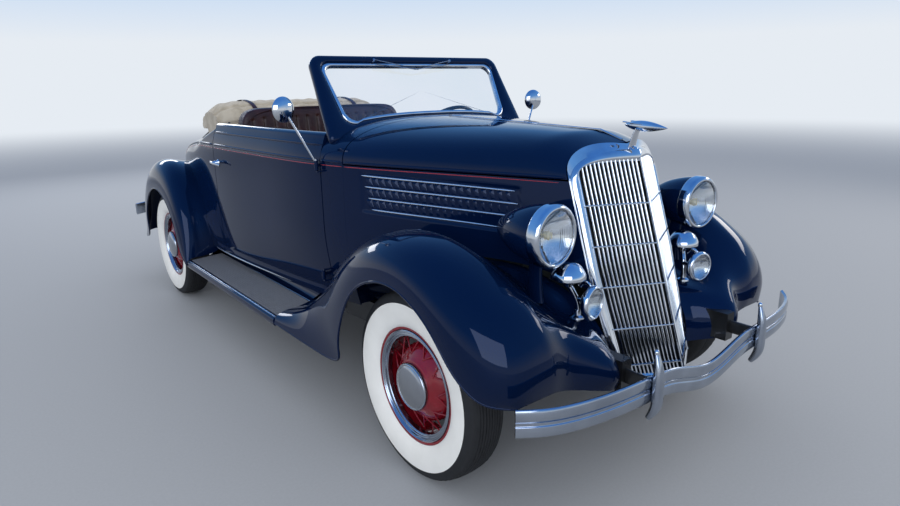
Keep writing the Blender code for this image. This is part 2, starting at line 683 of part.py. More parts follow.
def build_hood():
    """The tops hinge on the rod along the centre line, and meet the fixed sides at the belt."""
    tops, sides = [], []
    cowl_y = HOOD_REAR_Y + MOVING_GAP / 2
    for share in np.linspace(0, 1, 7):
        tops.append(hood_row(share, MOVING_GAP, cowl_y - MOVING_GAP)[:HOOD_ROUNDS])
        side = hood_row(share, 2 * TOUCHING_GAP, cowl_y - TOUCHING_GAP)[HOOD_ROUNDS - 1 :]
        side[0, 2] -= MOVING_GAP
        sides.append(side)
    top = sheet(tops, PANEL_WALL, upright=True)
    place_pair("hood", top, NAVY, (0, HINGE_FRONT_Y, HINGE_FRONT_Z))
    place_pair("hood_side", sheet(sides, PANEL_WALL, upright=True), NAVY)
    rod = [(0, y, ridge_height(y) + HINGE_DROP) for y in (-0.290, -0.240)]
    rod.append((0, HINGE_FRONT_Y, HINGE_FRONT_Z))
    rod.append((0, HOOD_REAR_Y + MOVING_GAP / 2 - TOUCHING_GAP, HINGE_REAR_Z))
    place("hood_hinge", tube(rod, HINGE_RADIUS, 8, up=(1, 0, 0)), CHROME)


def screen_point(x, rise, depth=0.0):
    """A point of the windscreen's plane: x across, rise up the glass, depth behind it."""
    y = SCREEN_BASE_Y + rise * math.sin(SCREEN_RAKE) + depth * math.cos(SCREEN_RAKE)
    z = SCREEN_BASE_Z + rise * math.cos(SCREEN_RAKE) - depth * math.sin(SCREEN_RAKE)
    return x, y, z


def screen_outline(low_half, high_half, low, high, low_radius, high_radius, crown=0.0, steps=3):
    """Outline of the screen, x and rise, with round corners and a crowned lower edge."""
    corners = []
    for turn in np.linspace(-math.pi / 2, 0, steps):
        corners.append((low_half - low_radius * (1 - math.cos(turn)), low + low_radius * (1 + math.sin(turn))))
    for turn in np.linspace(0, math.pi / 2, steps):
        corners.append((high_half - high_radius * (1 - math.cos(turn)), high - high_radius * (1 - math.sin(turn))))
    half = np.array(corners)
    left = half[::-1] * (-1, 1)
    base = [(x, low + crown * (1 - abs(x / low_half) ** 2.5)) for x in np.linspace(-0.6, 0.6, 5) * low_half]
    return np.concatenate([half, left, base])


def screen_solid(outline, front, back):
    """The outline as a slab between two depths."""
    return loft([[screen_point(x, rise, depth) for x, rise in outline] for depth in (front, back)])


def opening_outline(margin=0.0):
    """Outline of the glass opening, smaller by the margin."""
    return screen_outline(0.500 - margin, 0.526 - margin, 0.022 + margin, 0.345 - margin, 0.06, 0.045, 0.036)


def build_cowl():
    """Scuttle with its firewall, and the windscreen's painted frame in one with it."""
    front, rear = HOOD_REAR_Y + MOVING_GAP / 2, DOOR_FRONT_Y - MOVING_GAP / 2
    rows = []
    for y in np.linspace(front, rear, 4):
        half = arch(y, 0.0, SILL_Z, sides=8)
        rows.append(np.concatenate([half[:0:-1] * (-1, 1, 1), half]))
    shell = sheet(rows, 0.022, upright=True)
    wall = np.array(rows[0])
    wall = wall * (0.985, 1, 1)
    wall[:, 2] = np.minimum(wall[:, 2], wall[:, 2].max() - 0.008)
    firewall = loft([wall + (0, 0.010, 0), wall + (0, 0.028, 0)])
    outer = screen_outline(0.612, SCREEN_HALF_WIDTH, -0.120, SCREEN_HEIGHT, 0.02, 0.055)
    ring = cut(screen_solid(outer, 0, SCREEN_DEPTH), screen_solid(opening_outline(), -0.05, SCREEN_DEPTH + 0.05))
    inside = []
    for y in (0.70, 1.10):
        half = arch(y, 0.0, SILL_Z, sides=4)
        half = half * (0.955, 1, 1) - (0, 0, 0.030)
        inside.append(np.concatenate([half[:0:-1] * (-1, 1, 1), half]))
    door_zone = block((-1, rear, 0), (1, rear + 1, DOOR_TOP_Z + MOVING_GAP))
    ring = cut(ring, loft(inside), door_zone)
    leaves = []
    for height, sides in DOOR_HINGES:
        skin = float(half_width(DOOR_FRONT_Y, height))
        for side in sides:
            z = sorted((height + side * (HINGE_HALF + TOUCHING_GAP), height + side * (HINGE_HALF + 0.012)))
            low = (skin - 0.016, DOOR_HINGE_Y - 0.015, z[0])
            leaf = block(low, (DOOR_HINGE_X + HINGE_BARREL, DOOR_HINGE_Y + 0.001, z[1]))
            leaves += [leaf, mirrored(leaf)]
    place("cowl", fused(shell, firewall, ring, *leaves), NAVY)
    pane = screen_solid(opening_outline(TOUCHING_GAP), 0.018, 0.018 + GLASS_THICKNESS)
    place("windscreen_glass", pane, GLASS)


def build_doors():
    """Front-hung doors, each as thick as the whole door, turning on outside hinges."""
    stations = np.linspace(DOOR_FRONT_Y + MOVING_GAP / 2, DOOR_REAR_Y - MOVING_GAP / 2, 8)
    heights = np.array([DOOR_BOTTOM_Z, 0.54, 0.64, 0.80, BELT_Z, BELT_Z + 0.045, DOOR_TOP_Z - 0.02, DOOR_TOP_Z])
    y, z = np.meshgrid(stations, heights, indexing="ij")
    skin = np.stack([half_width(y, z), y, z], 2)
    door = sheet(skin, DOOR_THICKNESS, inward=(-1, 0, 0))
    hinge_x, hinge_y = DOOR_HINGE_X, DOOR_HINGE_Y
    parts = [door]
    for height, _ in DOOR_HINGES:
        skin_x = float(half_width(DOOR_FRONT_Y, height))
        barrel = [(height - HINGE_HALF, HINGE_BARREL), (height + HINGE_HALF, HINGE_BARREL)]
        parts.append(turned(barrel, 10, (hinge_x, hinge_y, 0), (0, 0, 1)))
        parts.append(block((skin_x - 0.020, DOOR_FRONT_Y + 0.004, height - 0.014), (hinge_x + 0.002, DOOR_FRONT_Y + 0.022, height + 0.014)))
        parts.append(block((hinge_x - 0.004, hinge_y, height - 0.014), (hinge_x + 0.004, DOOR_FRONT_Y + 0.015, height + 0.014)))
    arm = [(hinge_x, hinge_y + 0.002, 1.085), (hinge_x + 0.02, hinge_y + 0.01, 1.110), (0.760, 0.900, 1.290)]
    parts.append(tube(arm, 0.006, 6))
    head = [(-0.016, 0.012), (-0.010, 0.040), (0.004, 0.056), (0.010, 0.056)]
    parts.append(turned(head, 12, (0.768, 0.903, 1.318), (0.2, 1, 0)))
    parts.append(tube([(0.758, 0.898, 1.282), (0.768, 0.900, 1.322)], 0.007, 6))
    handle_y, handle_z = DOOR_REAR_Y - 0.065, 0.990
    skin_x = float(half_width(handle_y, handle_z))
    parts.append(tube([(skin_x - 0.01, handle_y, handle_z), (skin_x + 0.040, handle_y, handle_z)], 0.009, 8))
    grip = [(skin_x + 0.040, handle_y + 0.016, handle_z), (skin_x + 0.034, handle_y - 0.105, handle_z)]
    parts.append(bar(grip, 0.012, 0.018))
    place_pair("door", fused(*parts), NAVY, (hinge_x, hinge_y, 0.8))


def body_rings(stations, grow=0.0):
    """Closed cross-sections of the rear body, larger all round by grow."""
    rings = []
    turn = np.linspace(0, math.pi / 2, 8)
    for y in stations:
        here = np.array([y])
        low, top = float(shoulder_height(here)[0]), float(deck_height(here)[0])
        down = np.linspace(SILL_Z, low, 5)[:-1]
        side = np.column_stack([half_width(np.full(4, y), down), down])
        width = float(half_width(here, np.array([low]))[0])
        bow = np.column_stack([width * np.cos(turn) ** 0.80, low + (top - low) * np.sin(turn) ** 0.85])
        half = np.concatenate([side, bow])
        half = half + grow * np.column_stack([np.cos(np.r_[np.zeros(4), turn]), np.sin(np.r_[np.zeros(4), turn])])
        half[0, 1] -= grow
        half[-1, 0] = 0
        whole = np.concatenate([half, (half * (-1, 1))[-2::-1]])
        rings.append(np.column_stack([whole[:, 0], np.full(len(whole), y), whole[:, 1]]))
    return rings


def body_stations(front, rear):
    """Stations along the rear body, closer together towards the tail."""
    share = np.linspace(0, 1, 11)
    return front + (rear - front) * (1 - (1 - share) ** 1.35)


def build_rear_body():
    """Quarters, tail and deck in one shell, with the cockpit and the rumble seat's well cut in."""
    front, rear = DOOR_REAR_Y + MOVING_GAP / 2, REAR_AXLE_Y + 0.680
    shell = loft(body_rings(body_stations(front, rear)))
    hollow = loft(body_rings(body_stations(front - 0.05, rear - BODY_WALL), -BODY_WALL))
    hollow = cut(hollow, block((-1, 0, 0), (1, 4, SILL_Z + 0.015)))
    under = block((-1, REAR_AXLE_Y - 0.440, 0.3), (1, rear + 0.5, 0.610))
    hollow = cut(hollow, block((-1, REAR_AXLE_Y - 0.470, 0), (1, rear + 0.1, 0.625)))
    rail_x = float(half_width(COCKPIT_REAR_Y, DOOR_TOP_Z)) - 0.050
    cockpit = block((-rail_x, front - 0.1, 0.9), (rail_x, COCKPIT_REAR_Y, 1.5))
    lid = block((-LID_HALF_WIDTH, LID_FRONT_Y, 0.80), (LID_HALF_WIDTH, LID_REAR_Y, 1.5))
    hinge_z = lid_hinge_z()
    half, ease = LID_HINGE_WIDTH / 2 + TOUCHING_GAP, LID_HINGE_RADIUS + 0.004
    notches, lugs = [], []
    for x in (-LID_HINGE_X, LID_HINGE_X):
        low = (x - half, LID_REAR_Y - 0.001, hinge_z - ease - 0.006)
        notches.append(block(low, (x + half, LID_REAR_Y + ease, hinge_z + 0.1)))
        for side in (-1, 1):
            near, far = (x + side * (LID_HINGE_WIDTH / 2 + reach) for reach in (TOUCHING_GAP, 0.009))
            low = (min(near, far), LID_REAR_Y, hinge_z - 0.042)
            lugs.append(block(low, (max(near, far), LID_REAR_Y + 0.030, hinge_z + 0.8 * LID_HINGE_RADIUS)))
    tub = cut(shell, hollow, under, cockpit, lid, *notches)
    place("rear_body", fused(tub, *lugs), NAVY)


def lid_hinge_z():
    """Height of the lid's hinge axis: the deck's centre line at the lid's rear edge."""
    return float(deck_height(np.array([LID_REAR_Y]))[0])


def build_deck_lid():
    """Lid of the rumble seat, hinged on its rear edge."""
    gap = MOVING_GAP
    x = np.linspace(-LID_HALF_WIDTH + gap, LID_HALF_WIDTH - gap, 9)
    y = np.linspace(LID_FRONT_Y + gap, LID_REAR_Y - gap, 7)
    station, across = np.meshgrid(y, x, indexing="ij")
    skin = np.stack([across, station, deck_surface(across, station)], 2)
    parts = [sheet(skin, 0.020, inward=(0, 0, -1))]
    hinge_z, half = lid_hinge_z(), LID_HINGE_WIDTH / 2
    for x in (-LID_HINGE_X, LID_HINGE_X):
        barrel = [(x - half, LID_HINGE_RADIUS), (x + half, LID_HINGE_RADIUS)]
        parts.append(turned(barrel, 10, (0, LID_REAR_Y, hinge_z), (1, 0, 0)))
        arm = (x - half, LID_REAR_Y - 0.030, hinge_z - 0.024), (x + half, LID_REAR_Y - 0.001, hinge_z + 0.004)
        parts.append(block(*arm))
    place("rumble_lid", fused(*parts), NAVY, (0, LID_REAR_Y, hinge_z))


def build_floor():
    """Floor pan with the sills under the doors and the seat's riser."""
    top = DOOR_BOTTOM_Z - MOVING_GAP
    front, rear = DOOR_FRONT_Y, DOOR_REAR_Y
    stations = np.linspace(front, rear, 6)
    parts = []
    for sign in (-1, 1):
        rings = []
        for y in stations:
            outer = float(half_width(y, SILL_Z + 0.01))
            ring = [(outer - 0.09, SILL_Z), (outer, SILL_Z), (outer, top), (outer - 0.09, top)]
            rings.append([(sign * x, y, z) for x, z in ring])
        parts.append(loft(rings))
    pan = block((-0.55, front, SILL_Z), (0.55, rear, SILL_Z + 0.014))
    riser = block((-0.50, rear - 0.658, SILL_Z), (0.50, rear - 0.03, 0.560))
    place("floor_pan", fused(pan, riser, *parts), BLACK)


def fender_grid(table, shift, along, across, sign=1):
    """Skin of a fender between its guide curves, quarter arches from crest to lip and inner edge."""
    rows = np.array(table, float)
    rows[:, :, 1] += shift
    knots = np.r_[0, np.cumsum(np.linalg.norm(np.diff(rows[:, 0], axis=0), axis=1))]
    guides = spline(knots, rows.reshape(len(rows), 9), np.linspace(0, knots[-1], along)).reshape(-1, 3, 3)
    crest, lip, inner = guides[:, 0], guides[:, 1], guides[:, 2]
    turn = np.linspace(math.pi / 2, 0, across)
    outside = arch_between(crest, lip, turn)
    inside = valley_between(crest, inner, np.linspace(0, 1, across))
    return np.concatenate([outside, inside[:, 1:]], axis=1) * (sign, 1, 1)


def arch_between(crest, edge, turn):
    """Quarter arches: level at the crest, square to it at the edge."""
    over = np.sin(turn)[None, :]
    drop = (1 - np.cos(turn))[None, :]
    return between(crest, edge, over, drop)


def valley_between(crest, edge, share):
    """Arches that round over from the crest and run out level at the edge."""
    share = share[None, :]
    drop = (1 - np.cos(math.pi * share**0.72)) / 2
    return between(crest, edge, share, drop)


def between(crest, edge, over, drop):
    """Rows of points from crest to edge, over giving the place across and drop the fall."""
    x = crest[:, :1] + (edge[:, :1] - crest[:, :1]) * over
    y = crest[:, 1:2] + (edge[:, 1:2] - crest[:, 1:2]) * drop
    z = crest[:, 2:] + (edge[:, 2:] - crest[:, 2:]) * drop
    return np.stack([x, y, z], 2)


def build_fenders():
    """Front and rear fenders, cut to the body's side."""
    grid = fender_grid(FRONT_FENDER, 0, 16, 5)
    front = sheet(grid, FENDER_WALL)
    rows = []
    for y in np.linspace(HOOD_REAR_Y - 0.004, FENDER_REAR_Y + 0.10, 6):
        z = np.linspace(SILL_Z - 0.12, BELT_Z, 9)
        x = half_width(np.full(9, y), np.maximum(z, SILL_Z)) + 3 * TOUCHING_GAP
        side = np.column_stack([x, np.full(9, y), z])
        rows.append(np.concatenate([side, [(0, y, BELT_Z), (0, y, SILL_Z - 0.12)]]))
    horn_slot = block((RAIL[0][0] - 0.031, -0.80, 0.400), (RAIL[0][0] + 0.031, -0.30, 0.548))
    place_pair("front_fender", cut(front, loft(rows), horn_slot), NAVY)
    grid = fender_grid(REAR_FENDER, REAR_AXLE_Y, 14, 5)
    rear = sheet(grid, FENDER_WALL)
    stations = body_stations(DOOR_REAR_Y + MOVING_GAP / 2, REAR_AXLE_Y + 0.680)
    rings = np.array(body_rings(stations, 3 * TOUCHING_GAP))
    rings[:, 0, 2] -= 0.15
    rings[:, -1, 2] -= 0.15
    lamp_x, lamp_y, lamp_z = 0.700, REAR_AXLE_Y + 0.560, 0.690
    lamp = [(0.0, 0.016), (0.045, 0.034), (0.075, 0.044), (0.088, 0.042)]
    body = turned(lamp, 16, (lamp_x, lamp_y - 0.02, lamp_z), (0, 1, 0))
    stalk = tube([(lamp_x, lamp_y - 0.05, lamp_z - 0.10), (lamp_x, lamp_y, lamp_z)], 0.012, 8)
    place_pair("rear_fender", fused(cut(rear, loft(rings)), body, stalk), NAVY)


def build_boards():
    """Running boards with a rolled outer edge and the splash apron up to the sill."""
    front, rear = FENDER_REAR_Y + TOUCHING_GAP, REAR_AXLE_Y + REAR_FENDER[0][0][1] - TOUCHING_GAP
    top, low = BOARD_Z, BOARD_Z - BOARD_THICKNESS
    outline = [
        (BOARD_INNER_X - 0.03, low + 0.020),
        (BOARD_OUTER_X - 0.012, low + 0.010),
        (BOARD_OUTER_X - 0.012, low - 0.012),
        (BOARD_OUTER_X, low - 0.012),
        (BOARD_OUTER_X + 0.004, top - 0.012),
        (BOARD_OUTER_X - 0.006, top),
        (BOARD_INNER_X + 0.01, top + 0.018),
        (BOARD_INNER_X - 0.01, SILL_Z - 0.004),
        (BOARD_INNER_X - 0.03, SILL_Z - 0.004),
    ]
    rings = [[(x, y, z) for x, z in outline] for y in np.linspace(front, rear, 5)]
    place_pair("running_board", loft(rings), BLACK)


def prow_y(x, z, half):
    """Station of the grille's face at x, where the face's half width is half."""
    share = np.clip(1 - np.abs(x) / half, 0, 1)
    return grille_edge_y(z) - SHELL_SIDE - (PROW_LEAD - SHELL_SIDE) * share


def shell_half_width(z):
    """Half width of the grille shell, which narrows towards its foot."""
    z = np.asarray(z, float)
    return 0.252 - 0.10 * np.clip(0.78 - z, 0, 1) ** 1.2


def shell_outline(band, steps=6):
    """Outline of the shell in front view, x and z, drawn in by the band."""
    shoulder, top, low = SHELL_SHOULDER_Z - 0.35 * band, SHELL_TOP_Z - band, SHELL_FOOT_Z + 0.7 * band
    right = [(float(shell_half_width(z)) - band, z) for z in np.linspace(low, shoulder, 5)]
    half = right[-1][0]
    for turn in np.linspace(math.pi / 2, 0, steps)[1:]:
        rise = shoulder + (top - shoulder) * math.cos(turn) ** 0.80
        right.append((half * math.sin(turn) ** 0.80, rise))
    right[-1] = (0.0, top)
    left = [(-x, z) for x, z in right[-2::-1]]
    return np.array(right + left + [(0, low)])


def shell_ring(outline, back):
    """The outline laid on the face's prow, moved back."""
    half = shell_half_width(outline[:, 1])
    y = prow_y(outline[:, 0], outline[:, 1], half) + back
    return np.column_stack([outline[:, 0], y, outline[:, 1]])


def build_grille():
    """Pointed grille: bright shell, upright bars, cross bars and the ornament on top."""
    outer, inner = shell_outline(0.0), shell_outline(SHELL_BAND)
    heel = shell_ring(outer, 0.0)
    heel[:, 1] = shell_back_y(outer[:, 0], outer[:, 1])
    rings = [heel, shell_ring(outer, 0.004), shell_ring((outer + inner) / 2, -0.010)]
    rings += [shell_ring(inner, 0.004), shell_ring(inner, 0.026)]
    shell = loft(rings, closed=True)
    low, high = SHELL_FOOT_Z + 0.6 * SHELL_BAND, SHELL_TOP_Z - SHELL_BAND
    rows = []
    for height in np.linspace(low - 0.008, SHELL_SHOULDER_Z, 5):
        reach = float(shell_half_width(height)) - SHELL_BAND + 0.010
        x = np.linspace(-reach, reach, 5)
        row = np.column_stack([x, np.zeros(5), np.full(5, height)])
        row[:, 1] = prow_y(x, row[:, 2], float(shell_half_width(height))) + 0.012
        rows.append(row)
    crown = rows[-1].copy()
    crown[:, 2] = high - 0.55 * (high - SHELL_SHOULDER_Z) * np.array([1, 0.28, -0.12, 0.28, 1])
    crown[:, 1] = prow_y(crown[:, 0], crown[:, 2], 0.252) + 0.012
    parts = [shell, sheet([*rows, crown], 0.008, inward=(0, 1, 0))]
    half = float(shell_half_width(SHELL_SHOULDER_Z)) - SHELL_BAND
    for x in np.linspace(0, half, GRILLE_BAR_COUNT + 1)[:-1]:
        crest = SHELL_SHOULDER_Z + (high + 0.006 - SHELL_SHOULDER_Z) * (1 - (x / half) ** 2.5) ** 0.5
        z = np.array([low - 0.004, crest])
        for sign in (-1, 1) if x else (1,):
            lean = sign * x * (shell_half_width(z) - SHELL_BAND) / half
            path = np.column_stack([lean, prow_y(lean, z, shell_half_width(z)) + 0.008, z])
            parts.append(bar(path, GRILLE_BAR_WIDTH, GRILLE_BAR_DEPTH, up=(0, 1, 0)))
    ornament_y, ornament_z = ORNAMENT_Y, SHELL_TOP_Z
    stem = [(0, ornament_y, ornament_z - 0.02), (0, ornament_y - 0.004, ornament_z + 0.075)]
    parts.append(tube(stem, 0.011, 8, up=(0, 1, 0)))
    dart = [(-0.060, 0.003), (-0.040, 0.014), (0.010, 0.019), (0.070, 0.014), (0.118, 0.003)]
    parts.append(turned(dart, 8, (0, ornament_y - 0.005, ornament_z + 0.080), (0, -1, -0.04)))
    place("grille", fused(*parts), CHROME)


def above_fender(mesh, gap):
    """The mesh less whatever of it lies below a skin that far above the front fender's."""
    grid = fender_grid(FRONT_FENDER, 0, 16, 5)
    grid[..., 2] += gap
    skin = sheet(grid, FENDER_WALL)
    grid = np.concatenate([grid, grid[:, -1:] * (0.3, 1, 1)], axis=1)
    under = np.concatenate([grid, grid[:, ::-1] - (0, 0, 0.25)], axis=1)
    return cut(mesh, skin, loft(under[:12]))


def build_lamps():
    """Headlamps on their stands, and the fog lamp and horn that share one bracket on each side."""
    r, length = HEADLAMP_RADIUS, HEADLAMP_LENGTH
    bowl = [(0.012, 0.010), (0, r * 0.90), (0.004, r), (-0.030, r)]
    bowl += [(-0.10, r * 0.90), (-0.16, r * 0.72), (-0.215, r * 0.42), (-length, 0.006)]
    lamp = turned(bowl, 16, (HEADLAMP_X, HEADLAMP_Y, HEADLAMP_Z), (0, -1, 0))
    foot = [(HEADLAMP_X - 0.012, HEADLAMP_Y + 0.100, HEADLAMP_Z - 0.06)]
    foot += [(HEADLAMP_X - 0.020, HEADLAMP_Y + 0.105, 0.640)]
    stand = tube(foot, 0.020, 8)
    place_pair("headlamp", above_fender(fused(lamp, stand), 1.2 * TOUCHING_GAP), NAVY)
    r = FOG_LAMP_RADIUS
    bowl = [(0.008, 0.006), (0.003, r), (-0.016, r), (-0.030, 0.86 * r)]
    bowl += [(-0.038, 0.45 * r), (-0.044, 0.006)]
    parts = [turned(bowl, 12, (FOG_LAMP_X, FOG_LAMP_Y, FOG_LAMP_Z), (0, -1, 0))]
    dome = [(0.0, HORN_RADIUS), (0.010, HORN_RADIUS), (0.036, 0.80 * HORN_RADIUS), (0.056, 0.45 * HORN_RADIUS), (0.062, 0.004)]
    parts.append(turned(dome, 12, (FOG_LAMP_X + 0.008, HORN_Y, HORN_Z - 0.008), (0, 0, 1)))
    post = [(FOG_LAMP_X, HORN_Y, 0.600), (FOG_LAMP_X, HORN_Y, HORN_Z)]
    parts.append(tube(post, 0.011, 8, up=(0, 1, 0)))
    parts.append(tube([(FOG_LAMP_X, HORN_Y, FOG_LAMP_Z), (FOG_LAMP_X, FOG_LAMP_Y + 0.04, FOG_LAMP_Z)], 0.010, 8))
    place_pair("fog_lamp_and_horn", above_fender(fused(*parts), 5 * TOUCHING_GAP), CHROME)


def bumper_path(lead, dip, ends):
    """Centre line of a bumper bar: bowed, its ends swept back, dipping in the middle."""
    rows = np.array(
        [
            (0.000, 0.000, 1.00),
            (0.120, 0.000, 0.62),
            (0.230, 0.002, 0.12),
            (0.330, 0.005, 0.00),
            (0.480, 0.014, 0.00),
            (0.620, 0.036, 0.00),
            (0.740, 0.078, 0.00),
            (0.812, 0.127, 0.00),
        ]
    )
    x, sweep, low = rows.T
    half = np.column_stack([x, lead + ends * sweep, BUMPER_TOP_Z - BUMPER_HEIGHT / 2 - dip * low])
    return np.concatenate([half[:0:-1] * (-1, 1, 1), half])


def build_bumper(name, lead, dip, ends, horn_y):
    """One bumper: a ribbed bar, two guards and the irons back to the frame."""
    h, t = BUMPER_HEIGHT / 2, BUMPER_THICKNESS / 2
    section = [(-t, -h), (t * 0.2, -h), (t * 1.6, -h * 0.55), (t * 1.2, -0.003), (t * 1.2, 0.003)]
    section += [(t * 1.6, h * 0.55), (t * 0.2, h), (-t, h)]
    path = bumper_path(lead, dip, ends)
    if ends < 0:
        path = path[::-1]
    parts = [swept(path, section)]
    for sign in (-1, 1):
        x, z = sign * GUARD_X, BUMPER_TOP_Z - BUMPER_HEIGHT / 2
        face = lead - ends * GUARD_LEAD
        guard = [(x, face + ends * 0.022, z - 0.105), (x, face, z - 0.05)]
        guard += [(x, face, z + 0.05), (x, face + ends * 0.012, z + 0.125)]
        parts.append(bar(guard, 0.040, GUARD_DEPTH, up=(0, 1, 0)))
        iron_z = RAIL[0][2] if ends > 0 else RAIL[-1][2]
        iron = [(x, lead, iron_z), (sign * 0.331, horn_y, iron_z)]
        if ends < 0:
            iron = [(x, lead, iron_z), (sign * 0.375, horn_y + 0.03, iron_z), (sign * 0.375, horn_y, iron_z)]
        parts.append(bar(iron, 0.012, 0.050))
    place(name, fused(*parts), CHROME)


def build_bumpers():
    """Front bumper with its dip in the middle and the plain rear one."""
    guard_lead = GUARD_LEAD + GUARD_DEPTH / 2
    build_bumper("front_bumper", -FRONT_OVERHANG + guard_lead, BUMPER_DIP, 1, -0.600 - TOUCHING_GAP)
    rear_end = REAR_AXLE_Y + 0.780
    build_bumper("rear_bumper", REAR_AXLE_Y + REAR_OVERHANG - guard_lead, 0.0, -1, rear_end + TOUCHING_GAP)


def cushion(low, high, lean=0.0, crown=0.02):
    """A soft block with rounded edges, leaning rearwards by lean from bottom to top."""
    (x0, y0, z0), (x1, y1, z1) = low, high
    rows = []
    inset = 0.25 * min(y1 - y0, z1 - z0)
    for z, draw in ((z0, inset), (z0 + inset, 0), (z1 - inset, 0), (z1, inset)):
        move = lean * (z - z0) / (z1 - z0)
        ring = [
            (x0 + draw, y0 + 0.5 * inset + move),
            (x0 + draw + inset, y0 + move + draw * 0.5),
            (x1 - draw - inset, y0 + move + draw * 0.5),
            (x1 - draw, y0 + 0.5 * inset + move),
            (x1 - draw, y1 - 0.5 * inset + move),
            (x1 - draw - inset, y1 + move - draw * 0.5),
            (x0 + draw + inset, y1 + move - draw * 0.5),
            (x0 + draw, y1 - 0.5 * inset + move),
        ]
        rows.append([(x, y, z) for x, y in ring])
    return loft(rows)


def build_cabin():
    """Bench seat, folded hood, dashboard with the column, and the steering wheel."""
    half = SEAT_HALF_WIDTH
    rear = DOOR_REAR_Y
    place("seat_cushion", cushion((-half, rear - 0.678, 0.5605), (half, rear - 0.178, 0.735)), LEATHER)
    place("seat_back", cushion((-half, rear - 0.175, 0.5605), (half, rear - 0.048, 1.290), lean=0.06), LEATHER)
    top_z = float(deck_height(COCKPIT_REAR_Y)[0]) + 3 * TOUCHING_GAP
    outline = [
        (-0.335, 1.020),
        (-0.355, 1.190),
        (-0.300, 1.290),
        (-0.150, 1.330),
        (0.010, 1.310),
        (0.130, 1.240),
        (0.155, 1.185),
        (0.130, top_z + 0.004),
        (0.020, top_z),
        (-MOVING_GAP, top_z),
        (-MOVING_GAP - 0.010, 1.020),
    ]
    centre = np.array([-0.110, 1.170])
    rings = []
    for x, share in ((-0.585, 0.72), (-0.56, 0.93), (-0.40, 1.0), (0.40, 1.0), (0.56, 0.93), (0.585, 0.72)):
        loop = centre + (np.array(outline) - centre) * share
        rings.append([(x, COCKPIT_REAR_Y + y, z) for y, z in loop])
    place("folded_top", loft(rings), CANVAS)
    along = np.array([0, math.cos(COLUMN_RAKE), math.sin(COLUMN_RAKE)])
    centre = np.array([COLUMN_X, STEERING_WHEEL_CENTRE_Y, STEERING_WHEEL_CENTRE_Z])
    front = DOOR_FRONT_Y - MOVING_GAP / 2 + TOUCHING_GAP
    outline = [(front, 0.990), (front, 1.210), (0.905, 1.204), (0.946, 1.176), (0.950, 1.100), (0.935, 0.985)]
    rings = []
    for x, rise in ((-0.534, -0.024), (-0.30, 0.0), (0.30, 0.0), (0.534, -0.024)):
        rings.append([(x, y, z + rise * (z > 1.1)) for y, z in outline])
    column = tube([centre - along * 0.560, centre - along * (0.028 + TOUCHING_GAP)], COLUMN_RADIUS, 12)
    hanger = block((COLUMN_X - 0.02, 0.885, 0.84), (COLUMN_X + 0.02, 0.930, 1.0))
    place("dashboard", fused(loft(rings), column, hanger), NAVY)
    turn = np.linspace(0, 2 * math.pi, 6, endpoint=False)
    section = [(0.011 * math.sin(a), STEERING_WHEEL_RADIUS + 0.011 * math.cos(a)) for a in turn]
    parts = [turned(section, 24, centre, along, closed=True)]
    parts.append(turned([(-0.028, 0.03), (0.006, 0.03), (0.012, 0.004)], 16, centre, along))
    side = Vector((1, 0, 0))
    ahead = Vector(along).cross(side)
    for angle in (math.radians(90), math.radians(210), math.radians(330)):
        reach = side * math.cos(angle) + ahead * math.sin(angle)
        tip = Vector(centre) + reach * STEERING_WHEEL_RADIUS
        parts.append(bar([tuple(centre - along * 0.006), tuple(tip)], 0.022, 0.007, up=tuple(along)))
    place("steering_wheel", fused(*parts), BLACK, tuple(centre))


def build_spare():
    """Spare wheel on its carrier arm, leaning with the tail."""
    lean = math.radians(20)
    centre = Vector((0, REAR_AXLE_Y + 0.800, 0.790))
    out = Vector((0, math.cos(lean), math.sin(lean)))
    turn = Vector((1, 0, 0)).rotation_difference(out).to_matrix().to_4x4()
    tyre, wheel = tyre_mesh(), wheel_mesh()
    seat = Matrix.Translation(centre) @ turn
    tyre.transform(seat)
    wheel.transform(seat)
    post_y = REAR_AXLE_Y + REAR_MEMBER + 0.020
    post = [tuple(centre - out * 0.07), (0, post_y + 0.006, 0.640), (0, post_y, 0.560), (0, post_y, 0.4806)]
    arm = tube(post, 0.022, 8, up=(0, 1, 0))
    place("spare_wheel", fused(wheel, arm), RED)
    place("spare_tyre", tyre, RUBBER)


def build_underside():
    """Fuel tank between the rear rails, and the exhaust with its silencer."""
    y = REAR_AXLE_Y + 0.300
    rear = REAR_AXLE_Y + REAR_MEMBER - TOUCHING_GAP
    place("fuel_tank", block((-0.335, y, 0.400), (0.335, rear, 0.560)), BLACK)
    z = 0.262
    pipe = [(0.2258, 0.560, 0.530), (0.262, 0.560, 0.530), (0.272, 0.660, 0.400), (0.272, 0.780, z)]
    box = REAR_AXLE_Y - 1.345
    pipe += [(0.272, box, z)]
    muffler = turned([(0, 0.02), (0.01, 0.056), (0.55, 0.056), (0.56, 0.02)], 12, (0.272, box, z), (0, 1, 0))
    tail = [(0.272, box + 0.540, z), (0.300, box + 1.000, z), (0.330, REAR_AXLE_Y - 0.045, z - 0.012)]
    tail += [(0.340, REAR_AXLE_Y + 0.750, z + 0.020)]
    place("exhaust", fused(muffler, tube(pipe, 0.022, 8), tube(tail, 0.020, 8)), STEEL)


bpy.context.scene.unit_settings.system = "METRIC"
for stale in list(bpy.data.objects):
    bpy.data.objects.remove(stale)

